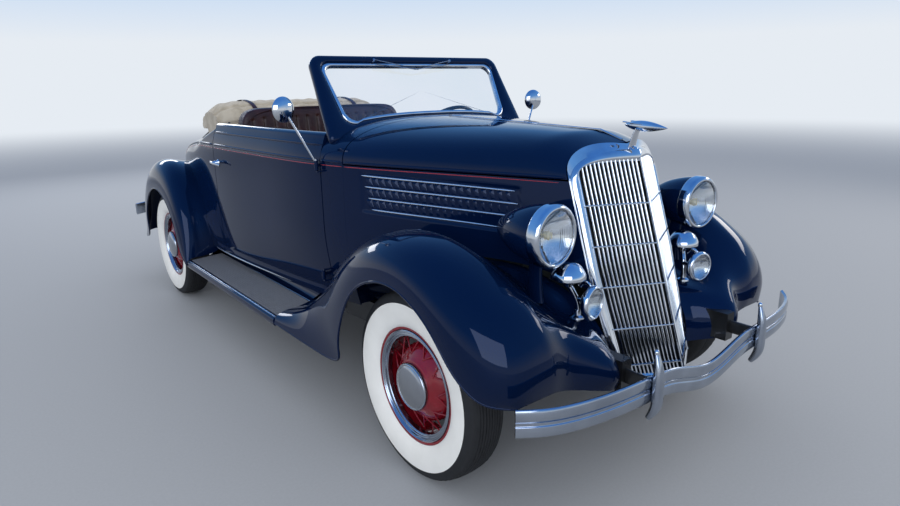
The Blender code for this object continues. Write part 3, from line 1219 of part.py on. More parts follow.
NAVY = material("navy_enamel", (0.004, 0.012, 0.045), 0.12)
RED = material("red_enamel", (0.30, 0.008, 0.012), 0.2)
CHROME = material("chrome_plate", (0.75, 0.76, 0.78), 0.08, 1.0)
STEEL = material("bare_steel", (0.30, 0.29, 0.28), 0.5, 1.0)
BLACK = material("black_enamel", (0.012, 0.012, 0.013), 0.4)
RUBBER = material("tyre_rubber", (0.02, 0.02, 0.021), 0.8)
LEATHER = material("brown_leather", (0.045, 0.022, 0.020), 0.5)
CANVAS = material("grey_canvas", (0.42, 0.40, 0.36), 0.9)
GLASS = material("clear_glass", (0.8, 0.85, 0.85), 0.02)

CAR = bpy.data.objects.new("car", None)
bpy.context.scene.collection.objects.link(CAR)
CAR.location = (0, FRONT_AXLE_Y, 0)

build_frame()
build_engine()
build_front_axle()
build_knuckles()
build_rear_axle()
build_wheels()
build_hood()
build_cowl()
build_doors()
build_rear_body()
build_deck_lid()
build_floor()
build_fenders()
build_boards()
build_grille()
build_lamps()
build_bumpers()
build_cabin()
build_spare()
build_underside()
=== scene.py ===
"""Looks of a 1930s two-door cabriolet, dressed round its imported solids.

Metres, +Z up, the nose towards -Y, the car's own left at +X. Forms are worked out in the front
axle's coordinates: stations count from the front axle rearwards, heights from the floor.
"""

import logging
import math
from dataclasses import dataclass, field
from enum import Enum
from typing import Any, Callable, Iterable, Sequence

import bmesh
import bpy
import numpy as np
from mathutils import Matrix, Vector

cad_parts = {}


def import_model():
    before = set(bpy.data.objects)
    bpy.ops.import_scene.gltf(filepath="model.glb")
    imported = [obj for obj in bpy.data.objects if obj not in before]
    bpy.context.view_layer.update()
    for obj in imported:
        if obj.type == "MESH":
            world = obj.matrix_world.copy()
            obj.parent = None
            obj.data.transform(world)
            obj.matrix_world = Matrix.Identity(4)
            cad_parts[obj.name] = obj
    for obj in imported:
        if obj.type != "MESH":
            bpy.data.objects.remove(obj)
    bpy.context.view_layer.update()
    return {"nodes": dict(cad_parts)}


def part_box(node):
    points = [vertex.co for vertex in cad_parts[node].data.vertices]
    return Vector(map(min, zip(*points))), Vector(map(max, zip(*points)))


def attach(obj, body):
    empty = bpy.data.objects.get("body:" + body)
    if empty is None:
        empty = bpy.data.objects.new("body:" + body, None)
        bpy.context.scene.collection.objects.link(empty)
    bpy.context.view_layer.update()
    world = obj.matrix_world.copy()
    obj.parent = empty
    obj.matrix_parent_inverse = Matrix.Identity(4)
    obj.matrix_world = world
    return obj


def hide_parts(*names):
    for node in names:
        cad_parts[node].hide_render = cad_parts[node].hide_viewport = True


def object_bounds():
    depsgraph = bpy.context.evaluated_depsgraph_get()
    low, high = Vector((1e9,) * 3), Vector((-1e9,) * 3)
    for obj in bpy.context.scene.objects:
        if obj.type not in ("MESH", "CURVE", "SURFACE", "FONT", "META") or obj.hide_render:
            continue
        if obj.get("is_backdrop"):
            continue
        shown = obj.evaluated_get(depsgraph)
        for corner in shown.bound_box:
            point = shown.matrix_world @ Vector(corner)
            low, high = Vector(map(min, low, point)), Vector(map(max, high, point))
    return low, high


LOG = logging.getLogger("cabriolet")

AHEAD = (0, -1, 0)
REARWARD = (0, 1, 0)
UPWARD = (0, 0, 1)
ACROSS = (1, 0, 0)

WHEELBASE = 2.845
BELT_Z = 1.085
SILL_Z = 0.420
DOOR_TOP_Z = 1.212
DOOR_BOTTOM_Z = 0.470
HOOD_REAR_Y = 0.722
DOOR_FRONT_Y = 0.868
DOOR_REAR_Y = 2.078
COCKPIT_REAR_Y = 2.550
SHUT_GAP = 0.003
REAR_AXLE_Y = WHEELBASE
AXLE_Z = 0.357
FRONT_OVERHANG = 0.735
REAR_OVERHANG = 1.065
FRONT_AXLE_Y = (FRONT_OVERHANG - WHEELBASE - REAR_OVERHANG) / 2
FRONT_IRON_Z = 0.485
REAR_IRON_Z = 0.455
BUMPER_INSET = 0.033
SHARP_ANGLE = 38.0
BEVEL_ANGLE = 50.0
ARCH_POWER = 0.80
DECK_POWER = 0.425
RAIL_INSET = 0.050
DIAL_Z = 1.090

# Plan of the body at the belt: station, half width, and how far the sill tucks in below it.
BODY_PLAN = (
    (-0.270, 0.257, 0.004),
    (0.200, 0.420, 0.020),
    (HOOD_REAR_Y, 0.600, 0.055),
    (DOOR_FRONT_Y, 0.634, 0.060),
    (1.450, 0.686, 0.040),
    (DOOR_REAR_Y, 0.705, 0.022),
    (REAR_AXLE_Y - 0.400, 0.690, 0.020),
    (REAR_AXLE_Y - 0.180, 0.665, 0.022),
    (REAR_AXLE_Y, 0.634, 0.026),
    (REAR_AXLE_Y + 0.200, 0.590, 0.030),
    (REAR_AXLE_Y + 0.400, 0.520, 0.034),
    (REAR_AXLE_Y + 0.560, 0.440, 0.038),
    (REAR_AXLE_Y + 0.680, 0.340, 0.040),
)
# Centre line of the rear deck: station, height.
DECK_LINE = (
    (DOOR_REAR_Y, 1.235),
    (COCKPIT_REAR_Y, 1.150),
    (REAR_AXLE_Y - 0.050, 1.122),
    (REAR_AXLE_Y + 0.150, 1.060),
    (REAR_AXLE_Y + 0.350, 0.955),
    (REAR_AXLE_Y + 0.520, 0.800),
    (REAR_AXLE_Y + 0.680, 0.590),
)
# Centre line of the hood and cowl: station, height.
RIDGE_LINE = (
    (-0.373, 1.178),
    (-0.300, 1.2045),
    (-0.245, 1.2225),
    (-0.190, 1.2358),
    (-0.130, 1.2401),
    (0.000, 1.2449),
    (0.361, 1.2552),
    (HOOD_REAR_Y, 1.2655),
    (DOOR_FRONT_Y, 1.2685),
)


class Side(Enum):
    """The car's own sides."""

    LEFT = 1
    RIGHT = -1

    @property
    def label(self) -> str:
        """The side's name in node names."""
        return self.name.lower()


def srgb(code: str) -> tuple[float, float, float, float]:
    """Turns a hex colour to linear light.

    Args:
        code: The colour as "#rrggbb".

    Returns:
        Linear red, green, blue and an alpha of 1.
    """
    raw = np.array([int(code[i : i + 2], 16) for i in (1, 3, 5)]) / 255
    linear = np.where(raw <= 0.04045, raw / 12.92, ((raw + 0.055) / 1.055) ** 2.4)
    return (float(linear[0]), float(linear[1]), float(linear[2]), 1.0)


def add_node(tree: bpy.types.NodeTree, kind: str, inputs: dict[Any, Any] | None = None,
             **settings: Any) -> Any:
    """Adds one node with its settings and links.

    Args:
        tree: The node tree.
        kind: The node's type.
        inputs: Input sockets by name or number, each given a value or an output socket to link.
        **settings: The node's own attributes.

    Returns:
        The new node.
    """
    made = tree.nodes.new(kind)
    for key, value in settings.items():
        setattr(made, key, value)
    for key, value in (inputs or {}).items():
        if isinstance(value, bpy.types.NodeSocket):
            tree.links.new(value, made.inputs[key])
        else:
            made.inputs[key].default_value = value
    return made


@dataclass(frozen=True)
class Finish:
    """A finish: its colours, gloss and the scale of its pattern, drawn by one shader.

    The pattern is a noise in Object coordinates that varies the colour between two tones, the
    roughness between two values and the height by a bump. slot names a material slot, where the
    finish's own name isn't one; it is not used.
    """

    name: str
    colour: str
    second: str
    roughness: tuple[float, float] = (0.3, 0.4)
    metallic: float = 0.0
    coat: float = 0.0
    coat_roughness: float = 0.03
    specular: float = 0.5
    tint: str = "#ffffff"
    sheen: float = 0.0
    grain: float = 0.01
    stretch: tuple[float, float, float] = (1.0, 1.0, 1.0)
    contrast: tuple[float, float] = (0.35, 0.65)
    bump: float = 0.0
    bump_grain: float = 0.001
    bump_depth: float = 0.0002
    transmission: float = 0.0
    ior: float = 1.45
    cells: bool = False
    slot: str = ""

    def material(self) -> bpy.types.Material:
        """Builds the material, or finds the one already built.

        Returns:
            The Blender material of this finish.
        """
        label = f"{self.name}_finish"
        found = bpy.data.materials.get(label)
        if found:
            return found
        made = bpy.data.materials.new(label)
        made.use_nodes = True
        tree = made.node_tree
        tree.nodes.clear()
        place = add_node(tree, "ShaderNodeTexCoord").outputs["Object"]
        scaled = add_node(tree, "ShaderNodeMapping",
                          {"Vector": place, "Scale": self.stretch}).outputs[0]
        cloud = add_node(tree, "ShaderNodeTexNoise",
                         {"Vector": scaled, "Scale": 1 / self.grain, "Detail": 4.0})
        low, high = self.contrast
        limits = {"Value": cloud.outputs["Fac"], "From Min": low, "From Max": high}
        share = add_node(tree, "ShaderNodeMapRange", limits).outputs[0]
        tones = {0: share, 6: srgb(self.colour), 7: srgb(self.second)}
        tone = add_node(tree, "ShaderNodeMix", tones, data_type="RGBA").outputs[2]
        gloss = {"Value": share, "To Min": self.roughness[0], "To Max": self.roughness[1]}
        rough = add_node(tree, "ShaderNodeMapRange", gloss).outputs[0]
        sockets = {
            "Base Color": tone,
            "Roughness": rough,
            "Metallic": self.metallic,
            "Coat Weight": self.coat,
            "Coat Roughness": self.coat_roughness,
            "Specular IOR Level": self.specular,
            "Specular Tint": srgb(self.tint),
            "Sheen Weight": self.sheen,
            "Transmission Weight": self.transmission,
        }
        if not self.metallic:
            sockets["IOR"] = self.ior
        if self.bump:
            fine: dict[Any, Any] = {"Vector": scaled, "Scale": 1 / self.bump_grain}
            kind = "ShaderNodeTexVoronoi" if self.cells else "ShaderNodeTexNoise"
            height = add_node(tree, kind, fine).outputs[0]
            relief = {"Height": height, "Strength": self.bump, "Distance": self.bump_depth}
            sockets["Normal"] = add_node(tree, "ShaderNodeBump", relief).outputs[0]
        shader = add_node(tree, "ShaderNodeBsdfPrincipled", sockets)
        add_node(tree, "ShaderNodeOutputMaterial", {"Surface": shader.outputs[0]})
        return made


# The finishes, each named for the real surface.
# Stoved nitrocellulose enamel, polished: a deep blue under a clear gloss. Its blue specular tint is
# painted reflection: it colours the gloss as though it mirrored a blue sky.
NAVY = Finish("navy_enamel", "#03122f", "#041434", (0.05, 0.08), coat=0.30, coat_roughness=0.015,
              specular=0.20,
              tint="#5a92e6", ior=1.5, grain=0.6)
RED = Finish("red_enamel", "#740b1a", "#800e1e", (0.20, 0.28), coat=0.8, specular=0.2, grain=0.05)
STRIPE = Finish("red_pinstripe", "#8e1f2a", "#9a2731", (0.2, 0.3), coat=0.6, grain=0.05,
                slot="red_enamel")
# Nickel and chrome plate on pressed steel: mirror bright, with a faint haze where it is wiped.
CHROME = Finish("chrome_plate", "#d4d7db", "#c2c6cc", (0.05, 0.10), metallic=1.0, grain=0.08)
DULL_CHROME = Finish("aged_chrome", "#adb4be", "#9aa1ac", (0.14, 0.22), metallic=1.0, grain=0.12,
                     slot="chrome_plate")
# Bright strips: polished, and fine enough to catch the light from all round.
BRIGHT = Finish("bright_strip", "#eef0f2", "#e4e7ea", (0.28, 0.34), metallic=1.0, grain=0.1,
                slot="chrome_plate")
# Spun hub cap: chrome brushed round its axis, so it reads greyer than the plate beside it.
SPUN = Finish("spun_chrome", "#b4b7bb", "#a8abb0", (0.16, 0.24), metallic=1.0, grain=0.08,
              slot="chrome_plate")
STEEL = Finish("bare_steel", "#6a6560", "#4c453f", (0.45, 0.65), metallic=0.9, grain=0.05, bump=0.3,
               bump_grain=0.004)
IRON = Finish("cast_iron", "#3d4440", "#2f3532", (0.55, 0.75), metallic=0.3, grain=0.06, bump=0.5,
              bump_grain=0.003)
BLACK = Finish("black_enamel", "#101113", "#1a1b1d", (0.25, 0.42), coat=0.3, grain=0.1, bump=0.1,
               bump_grain=0.01)
RUBBER = Finish("tyre_rubber", "#17181a", "#232426", (0.62, 0.80), grain=0.03, bump=0.25,
                bump_grain=0.002)
WHITE = Finish("white_wall", "#eeefec", "#e8e9e6", (0.42, 0.52), grain=0.08, bump=0.05,
               bump_grain=0.003, slot="chrome_plate")
MAT = Finish("ribbed_mat", "#5b5f66", "#6c7077", (0.55, 0.70), grain=0.02, bump=0.3,
             bump_grain=0.002, slot="black_enamel")
# Calf hide, pigmented: fine pebbled cells about 2 mm across with a soft gloss on the crowns.
LEATHER = Finish("brown_leather", "#3a1c18", "#2b1311", (0.38, 0.52), grain=0.05, bump=0.5,
                 bump_grain=0.0035, bump_depth=0.0004, cells=True)
# Cotton top canvas: a weave too fine to show, drawn as 3 mm cells.
CANVAS = Finish("grey_canvas", "#b9b2a4", "#a39b8c", (0.80, 0.92), sheen=0.2, grain=0.06, bump=0.5,
                bump_grain=0.003, bump_depth=0.0004, cells=True)
CARPET = Finish("wool_carpet", "#241a19", "#33272a", (0.9, 0.98), sheen=0.3, grain=0.01, bump=0.7,
                bump_grain=0.003)
GLASS = Finish("clear_glass", "#ffffff", "#f8fcfb", (0.0, 0.01), transmission=1.0, ior=1.5,
               grain=0.5)
AMBER = Finish("lamp_bulb", "#fff1d0", "#ffe9b8", (0.1, 0.2), grain=0.01, slot="clear_glass")
LENS_RED = Finish("red_lens", "#6f0a10", "#8a0f16", (0.08, 0.15), coat=1.0, grain=0.01,
                  slot="red_enamel")
# Radiator core in black. The same finish darkens the sheet close behind the grille bars, which is
# painted shade in the gaps.
CORE_AND_SHADE = Finish("radiator_core_and_shade", "#050607", "#0c0d0e", (0.6, 0.8), metallic=0.2, grain=0.004,
              bump=0.8, bump_grain=0.004, slot="black_enamel")


@dataclass
class Form:
    """Points and the faces between them, before they are a mesh.

    zones holds one material number per face, or is empty where the form has one finish.
    """

    points: np.ndarray
    faces: list[list[int]]
    zones: list[int] = field(default_factory=list)

    def moved(self, matrix: Matrix) -> "Form":
        """The form carried by a matrix."""
        turn = np.array(matrix)
        return Form(self.points @ turn[:3, :3].T + turn[:3, 3], self.faces, self.zones)

    def mirrored(self) -> "Form":
        """The form on the car's other side."""
        return Form(self.points * (-1, 1, 1), [face[::-1] for face in self.faces], self.zones)

    def on(self, side: Side) -> "Form":
        """The form, made for the car's left, on one of its sides."""
        return self if side is Side.LEFT else self.mirrored()


def joined(forms: Iterable[Form]) -> Form:
    """Puts several forms into one, each face keeping its zone.

    Args:
        forms: The forms to put together.

    Returns:
        One form.
    """
    points, faces, zones, start = [], [], [], 0
    for form in forms:
        points.append(form.points)
        faces += [[index + start for index in face] for face in form.faces]
        zones += form.zones or [0] * len(form.faces)
        start += len(form.points)
    return Form(np.concatenate(points), faces, zones)


def lattice(points: np.ndarray, wrap_rows: bool = False, wrap_columns: bool = False,
            caps: bool = False) -> Form:
    """Faces between neighbours on a grid of points.

    Args:
        points: Rows by columns by 3.
        wrap_rows: Joins the last row to the first.
        wrap_columns: Joins the last column to the first.
        caps: Closes the first and last row, each with a fan about its middle.

    Returns:
        The skin over the grid.
    """
    rows, columns = points.shape[:2]
    index = np.arange(rows * columns).reshape(rows, columns)
    after = np.roll(index, -1, 0)
    if not wrap_rows:
        index, after = index[:-1], after[:-1]
    right, far = np.roll(index, -1, 1), np.roll(after, -1, 1)
    last = columns if wrap_columns else columns - 1
    quads = np.stack([index[:, :last], right[:, :last], far[:, :last], after[:, :last]],
                     -1).reshape(-1, 4)
    faces = quads.tolist()
    flat = points.reshape(-1, 3)
    if caps:
        ring = np.arange(columns)
        for row, flip in ((0, 1), (rows - 1, -1)):
            centre = len(flat)
            flat = np.concatenate([flat, points[row].mean(0)[None]])
            fan = np.stack([ring + row * columns, np.roll(ring, -1) + row * columns,
                            np.full(columns, centre)], -1)
            faces += fan[:, ::-flip].tolist()
    return Form(flat, faces)


def lathe(profile: Sequence[Sequence[float]], segments: int, centre: Sequence[float] = (0, 0, 0),
          direction: Sequence[float] = ACROSS, closed: bool = False) -> Form:
    """Turns a profile about an axis: radius r at distance a gives (a, r cos t, r sin t).

    Args:
        profile: Pairs of distance along the axis and radius.
        segments: Number of faces round the axis.
        centre: Point on the axis at distance 0.
        direction: The axis.
        closed: Joins the profile's ends, as on a ring.

    Returns:
        The turned skin.
    """
    line = np.asarray(profile, float)
    turn = np.linspace(0, 2 * math.pi, segments, endpoint=False)
    ring = np.stack([np.zeros(segments), np.cos(turn), np.sin(turn)], 1)
    points = line[:, 1, None, None] * ring + line[:, 0, None, None] * np.array([1.0, 0, 0])
    matrix = Vector(ACROSS).rotation_difference(Vector(direction)).to_matrix().to_4x4()
    return lattice(points, wrap_rows=closed, wrap_columns=True, caps=not closed).moved(
        Matrix.Translation(Vector(centre)) @ matrix)


def smooth(points: Sequence[Sequence[float]], count: int) -> np.ndarray:
    """A smooth line through a few points, by a natural spline over the chord length.

    Args:
        points: The points that the line runs through.
        count: Number of points wanted.

    Returns:
        The line's points.
    """
    line = np.asarray(points, float)
    knots = np.r_[0, np.cumsum(np.linalg.norm(np.diff(line, axis=0), axis=1))]
    return spline(knots, line, np.linspace(0, knots[-1], count))


def swept(path: Any, section: Any, up: Any = UPWARD, closed: bool = False,
          scale: Any = None) -> Form:
    """Carries a closed section along a path, square to it.

    Each ring is path + side * section_x * scale + above * section_y * scale, where side is the
    path's direction crossed with up.

    Args:
        path: Points along the middle.
        section: Pairs of sideways and upward distances.
        up: The direction that stays above the path.
        closed: Joins the path's ends.
        scale: Factor on the section at each point.

    Returns:
        The closed skin.
    """
    line, outline = np.asarray(path, float), np.asarray(section, float)
    if closed:
        along = np.roll(line, -1, 0) - np.roll(line, 1, 0)
    else:
        along = np.gradient(line, axis=0)
    along /= np.linalg.norm(along, axis=1, keepdims=True)
    side = np.cross(along, np.asarray(up, float))
    side /= np.linalg.norm(side, axis=1, keepdims=True)
    above = np.cross(side, along)
    size = np.ones(len(line)) if scale is None else np.asarray(scale, float)
    reach = size[:, None, None] * outline[None]
    rings = line[:, None] + side[:, None] * reach[..., :1] + above[:, None] * reach[..., 1:]
    return lattice(rings, wrap_rows=closed, wrap_columns=True, caps=not closed)


def disc(radius: float, sides: int, flatten: float = 1.0) -> np.ndarray:
    """Outline of a round or oval bar: (r cos t, r f sin t)."""
    turn = np.linspace(0, 2 * math.pi, sides, endpoint=False)
    return np.stack([radius * np.cos(turn), radius * flatten * np.sin(turn)], 1)


def tube(path: Any, radius: float, sides: int = 12, up: Any = UPWARD, closed: bool = False) -> Form:
    """A round bar along a path."""
    return swept(path, disc(radius, sides), up, closed)


def plank(width: float, height: float, corner: float, steps: int = 3) -> np.ndarray:
    """Outline of a bar with round corners.

    Args:
        width: Sideways size.
        height: Upward size.
        corner: Radius of the corners.
        steps: Points on each corner.

    Returns:
        The outline's points, in order round it.
    """
    points = []
    for number, (sx, sy) in enumerate(((1, 1), (-1, 1), (-1, -1), (1, -1))):
        turn = np.linspace(0, math.pi / 2, steps) + number * math.pi / 2
        middle = np.array([sx * (width / 2 - corner), sy * (height / 2 - corner)])
        points.append(middle + corner * np.stack([np.cos(turn), np.sin(turn)], 1))
    return np.concatenate(points)


def panel(grid: np.ndarray, wall: float, inward: Any = None, upright: bool = False) -> Form:
    """A closed panel: the grid is the outer skin, the inner one lies a wall inside.

    Args:
        grid: The outer skin, rows by columns by 3.
        wall: Thickness.
        inward: Direction of the inside, or None for the skin's own normal towards the car's middle.
        upright: Keeps each row of points at its own station, so that the ends stay square.

    Returns:
        The closed panel.
    """
    if inward is None:
        normal = np.cross(np.gradient(grid, axis=0), np.gradient(grid, axis=1))
        if upright:
            normal[..., 1] = 0
        normal /= np.maximum(np.linalg.norm(normal, axis=2, keepdims=True), 1e-12)
        centre = np.array([0.0, grid[..., 1].mean(), AXLE_Z])
        inward = -normal if ((grid - centre) * normal).sum() > 0 else normal
    inner = grid + np.asarray(inward) * wall
    loop = np.concatenate([grid, inner[:, ::-1]], axis=1)
    form = lattice(loop, wrap_columns=True)
    columns = grid.shape[1]
    for row, flip in ((0, 1), (grid.shape[0] - 1, -1)):
        low = row * 2 * columns
        a = low + np.arange(columns - 1)
        b = low + 2 * columns - 1 - np.arange(columns - 1)
        form.faces += np.stack([a, b, b - 1, a + 1], -1)[:, ::flip].tolist()
    return form


def block(low: Sequence[float], high: Sequence[float]) -> Form:
    """A box between two corners."""
    corners = np.array([[(x, y, z) for x, y in ((low[0], low[1]), (high[0], low[1]),
                                                (high[0], high[1]), (low[0], high[1]))]
                        for z in (low[2], high[2])])
    return lattice(corners, wrap_columns=True, caps=True)


def mesh_of(form: Form, name: str, sharp: float = SHARP_ANGLE) -> bpy.types.Mesh:
    """Makes a closed mesh with outward faces, smooth but for its sharp edges.

    Args:
        form: The points and faces.
        name: The mesh's name.
        sharp: Angle in degrees above which an edge is sharp.

    Returns:
        The mesh.
    """
    mesh = bpy.data.meshes.new(name)
    mesh.from_pydata((form.points + (0, FRONT_AXLE_Y, 0)).tolist(), [], form.faces)
    for _ in range(max(form.zones, default=0) + 1):
        mesh.materials.append(None)
    if form.zones:
        mesh.polygons.foreach_set("material_index", form.zones)
    work = bmesh.new()
    work.from_mesh(mesh)
    bmesh.ops.remove_doubles(work, verts=work.verts, dist=1e-6)
    bmesh.ops.dissolve_degenerate(work, edges=work.edges, dist=1e-7)
    bmesh.ops.recalc_face_normals(work, faces=work.faces)
    work.to_mesh(mesh)
    work.free()
    mesh.shade_smooth()
    mesh.set_sharp_from_angle(angle=math.radians(sharp))
    return mesh


def combined(base: Form | bpy.types.Mesh, others: Sequence[Form | bpy.types.Mesh],
             operation: str) -> bpy.types.Mesh:
    """Joins or cuts closed shapes by exact Booleans.

    Args:
        base: The shape that is kept.
        others: The shapes that are joined to it or cut from it.
        operation: UNION or DIFFERENCE.

    Returns:
        The resulting mesh, in the frame's coordinates.
    """
    def solid(shape: Form | bpy.types.Mesh) -> bpy.types.Mesh:
        """The shape as a mesh."""
        return mesh_of(shape, "shape") if isinstance(shape, Form) else shape

    made = bpy.data.objects.new("base", solid(base))
    bpy.context.scene.collection.objects.link(made)
    helpers = []
    for other in others:
        helper = bpy.data.objects.new("helper", solid(other))
        bpy.context.scene.collection.objects.link(helper)
        step = made.modifiers.new("step", "BOOLEAN")
        step.operation = operation
        step.solver = "EXACT"
        step.object = helper
        helpers.append(helper)
    bpy.context.view_layer.update()
    graph = bpy.context.evaluated_depsgraph_get()
    result = bpy.data.meshes.new_from_object(made.evaluated_get(graph))
    for helper in [*helpers, made]:
        bpy.data.objects.remove(helper)
    result.shade_smooth()
    result.set_sharp_from_angle(angle=math.radians(SHARP_ANGLE))
    return result


def add_piece(name: str, shape: Form | bpy.types.Mesh, finishes: Finish | Sequence[Finish],
              body: str = "chassis", slot: str = "", replaces: Sequence[str] = (),
              bevel: float = 0.0, sharp: float = SHARP_ANGLE) -> bpy.types.Object:
    """Adds one piece of the car.

    Args:
        name: The piece's name.
        shape: Its form, or a finished mesh.
        finishes: Its finish, or one for each zone.
        body: The body that it rides on.
        slot: Not used.
        replaces: The solids that it stands for.
        bevel: Width of the rounding along sharp edges.
        sharp: Angle in degrees above which an edge is sharp.

    Returns:
        The piece's object.
    """
    mesh = mesh_of(shape, name, sharp) if isinstance(shape, Form) else shape
    mesh.name = name
    skins = [finishes] if isinstance(finishes, Finish) else finishes
    slot = slot or skins[0].slot or skins[0].name
    for number, finish in enumerate(skins):
        if number == len(mesh.materials):
            mesh.materials.append(None)
        mesh.materials[number] = finish.material()
    made = bpy.data.objects.new(name, mesh)
    bpy.context.scene.collection.objects.link(made)
    if bevel:
        step = made.modifiers.new("edges", "BEVEL")
        step.width = bevel
        step.segments = 2
        step.limit_method = "ANGLE"
        step.angle_limit = math.radians(BEVEL_ANGLE)
        step.harden_normals = True
    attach(made, body)
    if replaces:
        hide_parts(*replaces)
    LOG.info("%s: %d faces", name, len(mesh.polygons))
    return made


def spline(knots: Any, values: Any, at: Any) -> np.ndarray:
    """Natural cubic spline through the values, read at each place in at.

    Args:
        knots: Places along the line.
        values: One row of values for each knot.
        at: Places to read, an array of one dimension.

    Returns:
        One row of values for each place.
    """
    knots = np.asarray(knots, float)
    values = np.asarray(values, float).reshape(len(knots), -1)
    step = np.diff(knots)
    rows = np.eye(len(knots))
    inner = np.arange(1, len(knots) - 1)
    rows[inner, inner - 1] = step[:-1]
    rows[inner, inner] = 2 * (step[:-1] + step[1:])
    rows[inner, inner + 1] = step[1:]
    slopes = np.diff(values, axis=0) / step[:, None]
    bends = np.zeros_like(values)
    bends[1:-1] = 6 * np.diff(slopes, axis=0)
    bends = np.linalg.solve(rows, bends)
    at = np.clip(np.atleast_1d(np.asarray(at, float)), knots[0], knots[-1])
    i = np.clip(np.searchsorted(knots, at, side="right") - 1, 0, len(knots) - 2)
    ahead = ((knots[i + 1] - at) / step[i])[:, None]
    behind = ((at - knots[i]) / step[i])[:, None]
    curve = (ahead**3 - ahead) * bends[i] + (behind**3 - behind) * bends[i + 1]
    return ahead * values[i] + behind * values[i + 1] + curve * step[i][:, None] ** 2 / 6


def read_line(table: Any, at: Any, column: int = 1) -> np.ndarray:
    """One column of a table of stations, read at an array of any shape."""
    line, at = np.asarray(table, float), np.asarray(at, float)
    return spline(line[:, 0], line[:, column], at.ravel())[:, 0].reshape(at.shape)


def half_width(y: Any, z: Any) -> np.ndarray:
    """Half width of the body's skin: the plan's, less its tuck below and its lean above.

    Args:
        y: Stations.
        z: Heights, of the same shape.

    Returns:
        Half widths.
    """
    y, z = np.broadcast_arrays(np.asarray(y, float), np.asarray(z, float))
    low = np.clip((0.80 - z) / (0.80 - SILL_Z), 0, 1)
    high = np.clip((z - BELT_Z) / (DOOR_TOP_Z - BELT_Z), 0, 1)
    return read_line(BODY_PLAN, y) - read_line(BODY_PLAN, y, 2) * low**1.8 - 0.040 * high**1.3


def deck_height(y: Any) -> np.ndarray:
    """Height of the rear deck's centre line."""
    return read_line(DECK_LINE, y)


def shoulder_height(y: Any) -> np.ndarray:
    """Height at which the rear body's side rounds over into the deck."""
    side = np.clip((COCKPIT_REAR_Y - np.asarray(y, float)) / (COCKPIT_REAR_Y - DOOR_REAR_Y), 0, 1)
    return np.minimum(BELT_Z - 0.045, SILL_Z + 0.80 * (deck_height(y) - SILL_Z)) + 0.125 * side**1.5


def deck_surface(x: np.ndarray, y: np.ndarray) -> np.ndarray:
    """Height of the deck: low + (top - low) (1 - s^2.5)^0.425, s the share of the half width.

    Args:
        x: Distances from the centre line.
        y: Stations, of the same shape.

    Returns:
        Heights.
    """
    low, top = shoulder_height(y), deck_height(y)
    share = np.clip(np.abs(x) / half_width(y, low), 0, 1)
    return low + (top - low) * (1 - share**2.5) ** DECK_POWER


def grille_edge_y(z: Any) -> Any:
    """Station of the grille shell's rear edge: the whole face leans back."""
    return -0.260 - (1.100 - np.asarray(z, float)) * 0.318


def shell_back_y(x: Any, z: Any) -> Any:
    """Station at which the hood meets the grille shell."""
    return grille_edge_y(z) - 0.085 * np.clip(1 - np.abs(x) / 0.25, 0, 1)


def arch_point(y: np.ndarray, turn: np.ndarray, ridge: np.ndarray) -> tuple[np.ndarray, np.ndarray]:
    """Top of the hood or cowl: x = w sin(t)^0.8 and z = belt + (ridge - belt) cos(t)^0.8.

    Args:
        y: Stations.
        turn: The angle t, 0 on the centre line.
        ridge: Height of the centre line at each station.

    Returns:
        Distances from the centre line, and heights.
    """
    reach = half_width(y, np.full_like(y, BELT_Z))
    rise = (ridge - BELT_Z) * np.cos(turn) ** ARCH_POWER
    return reach * np.sin(turn) ** ARCH_POWER, BELT_Z + rise


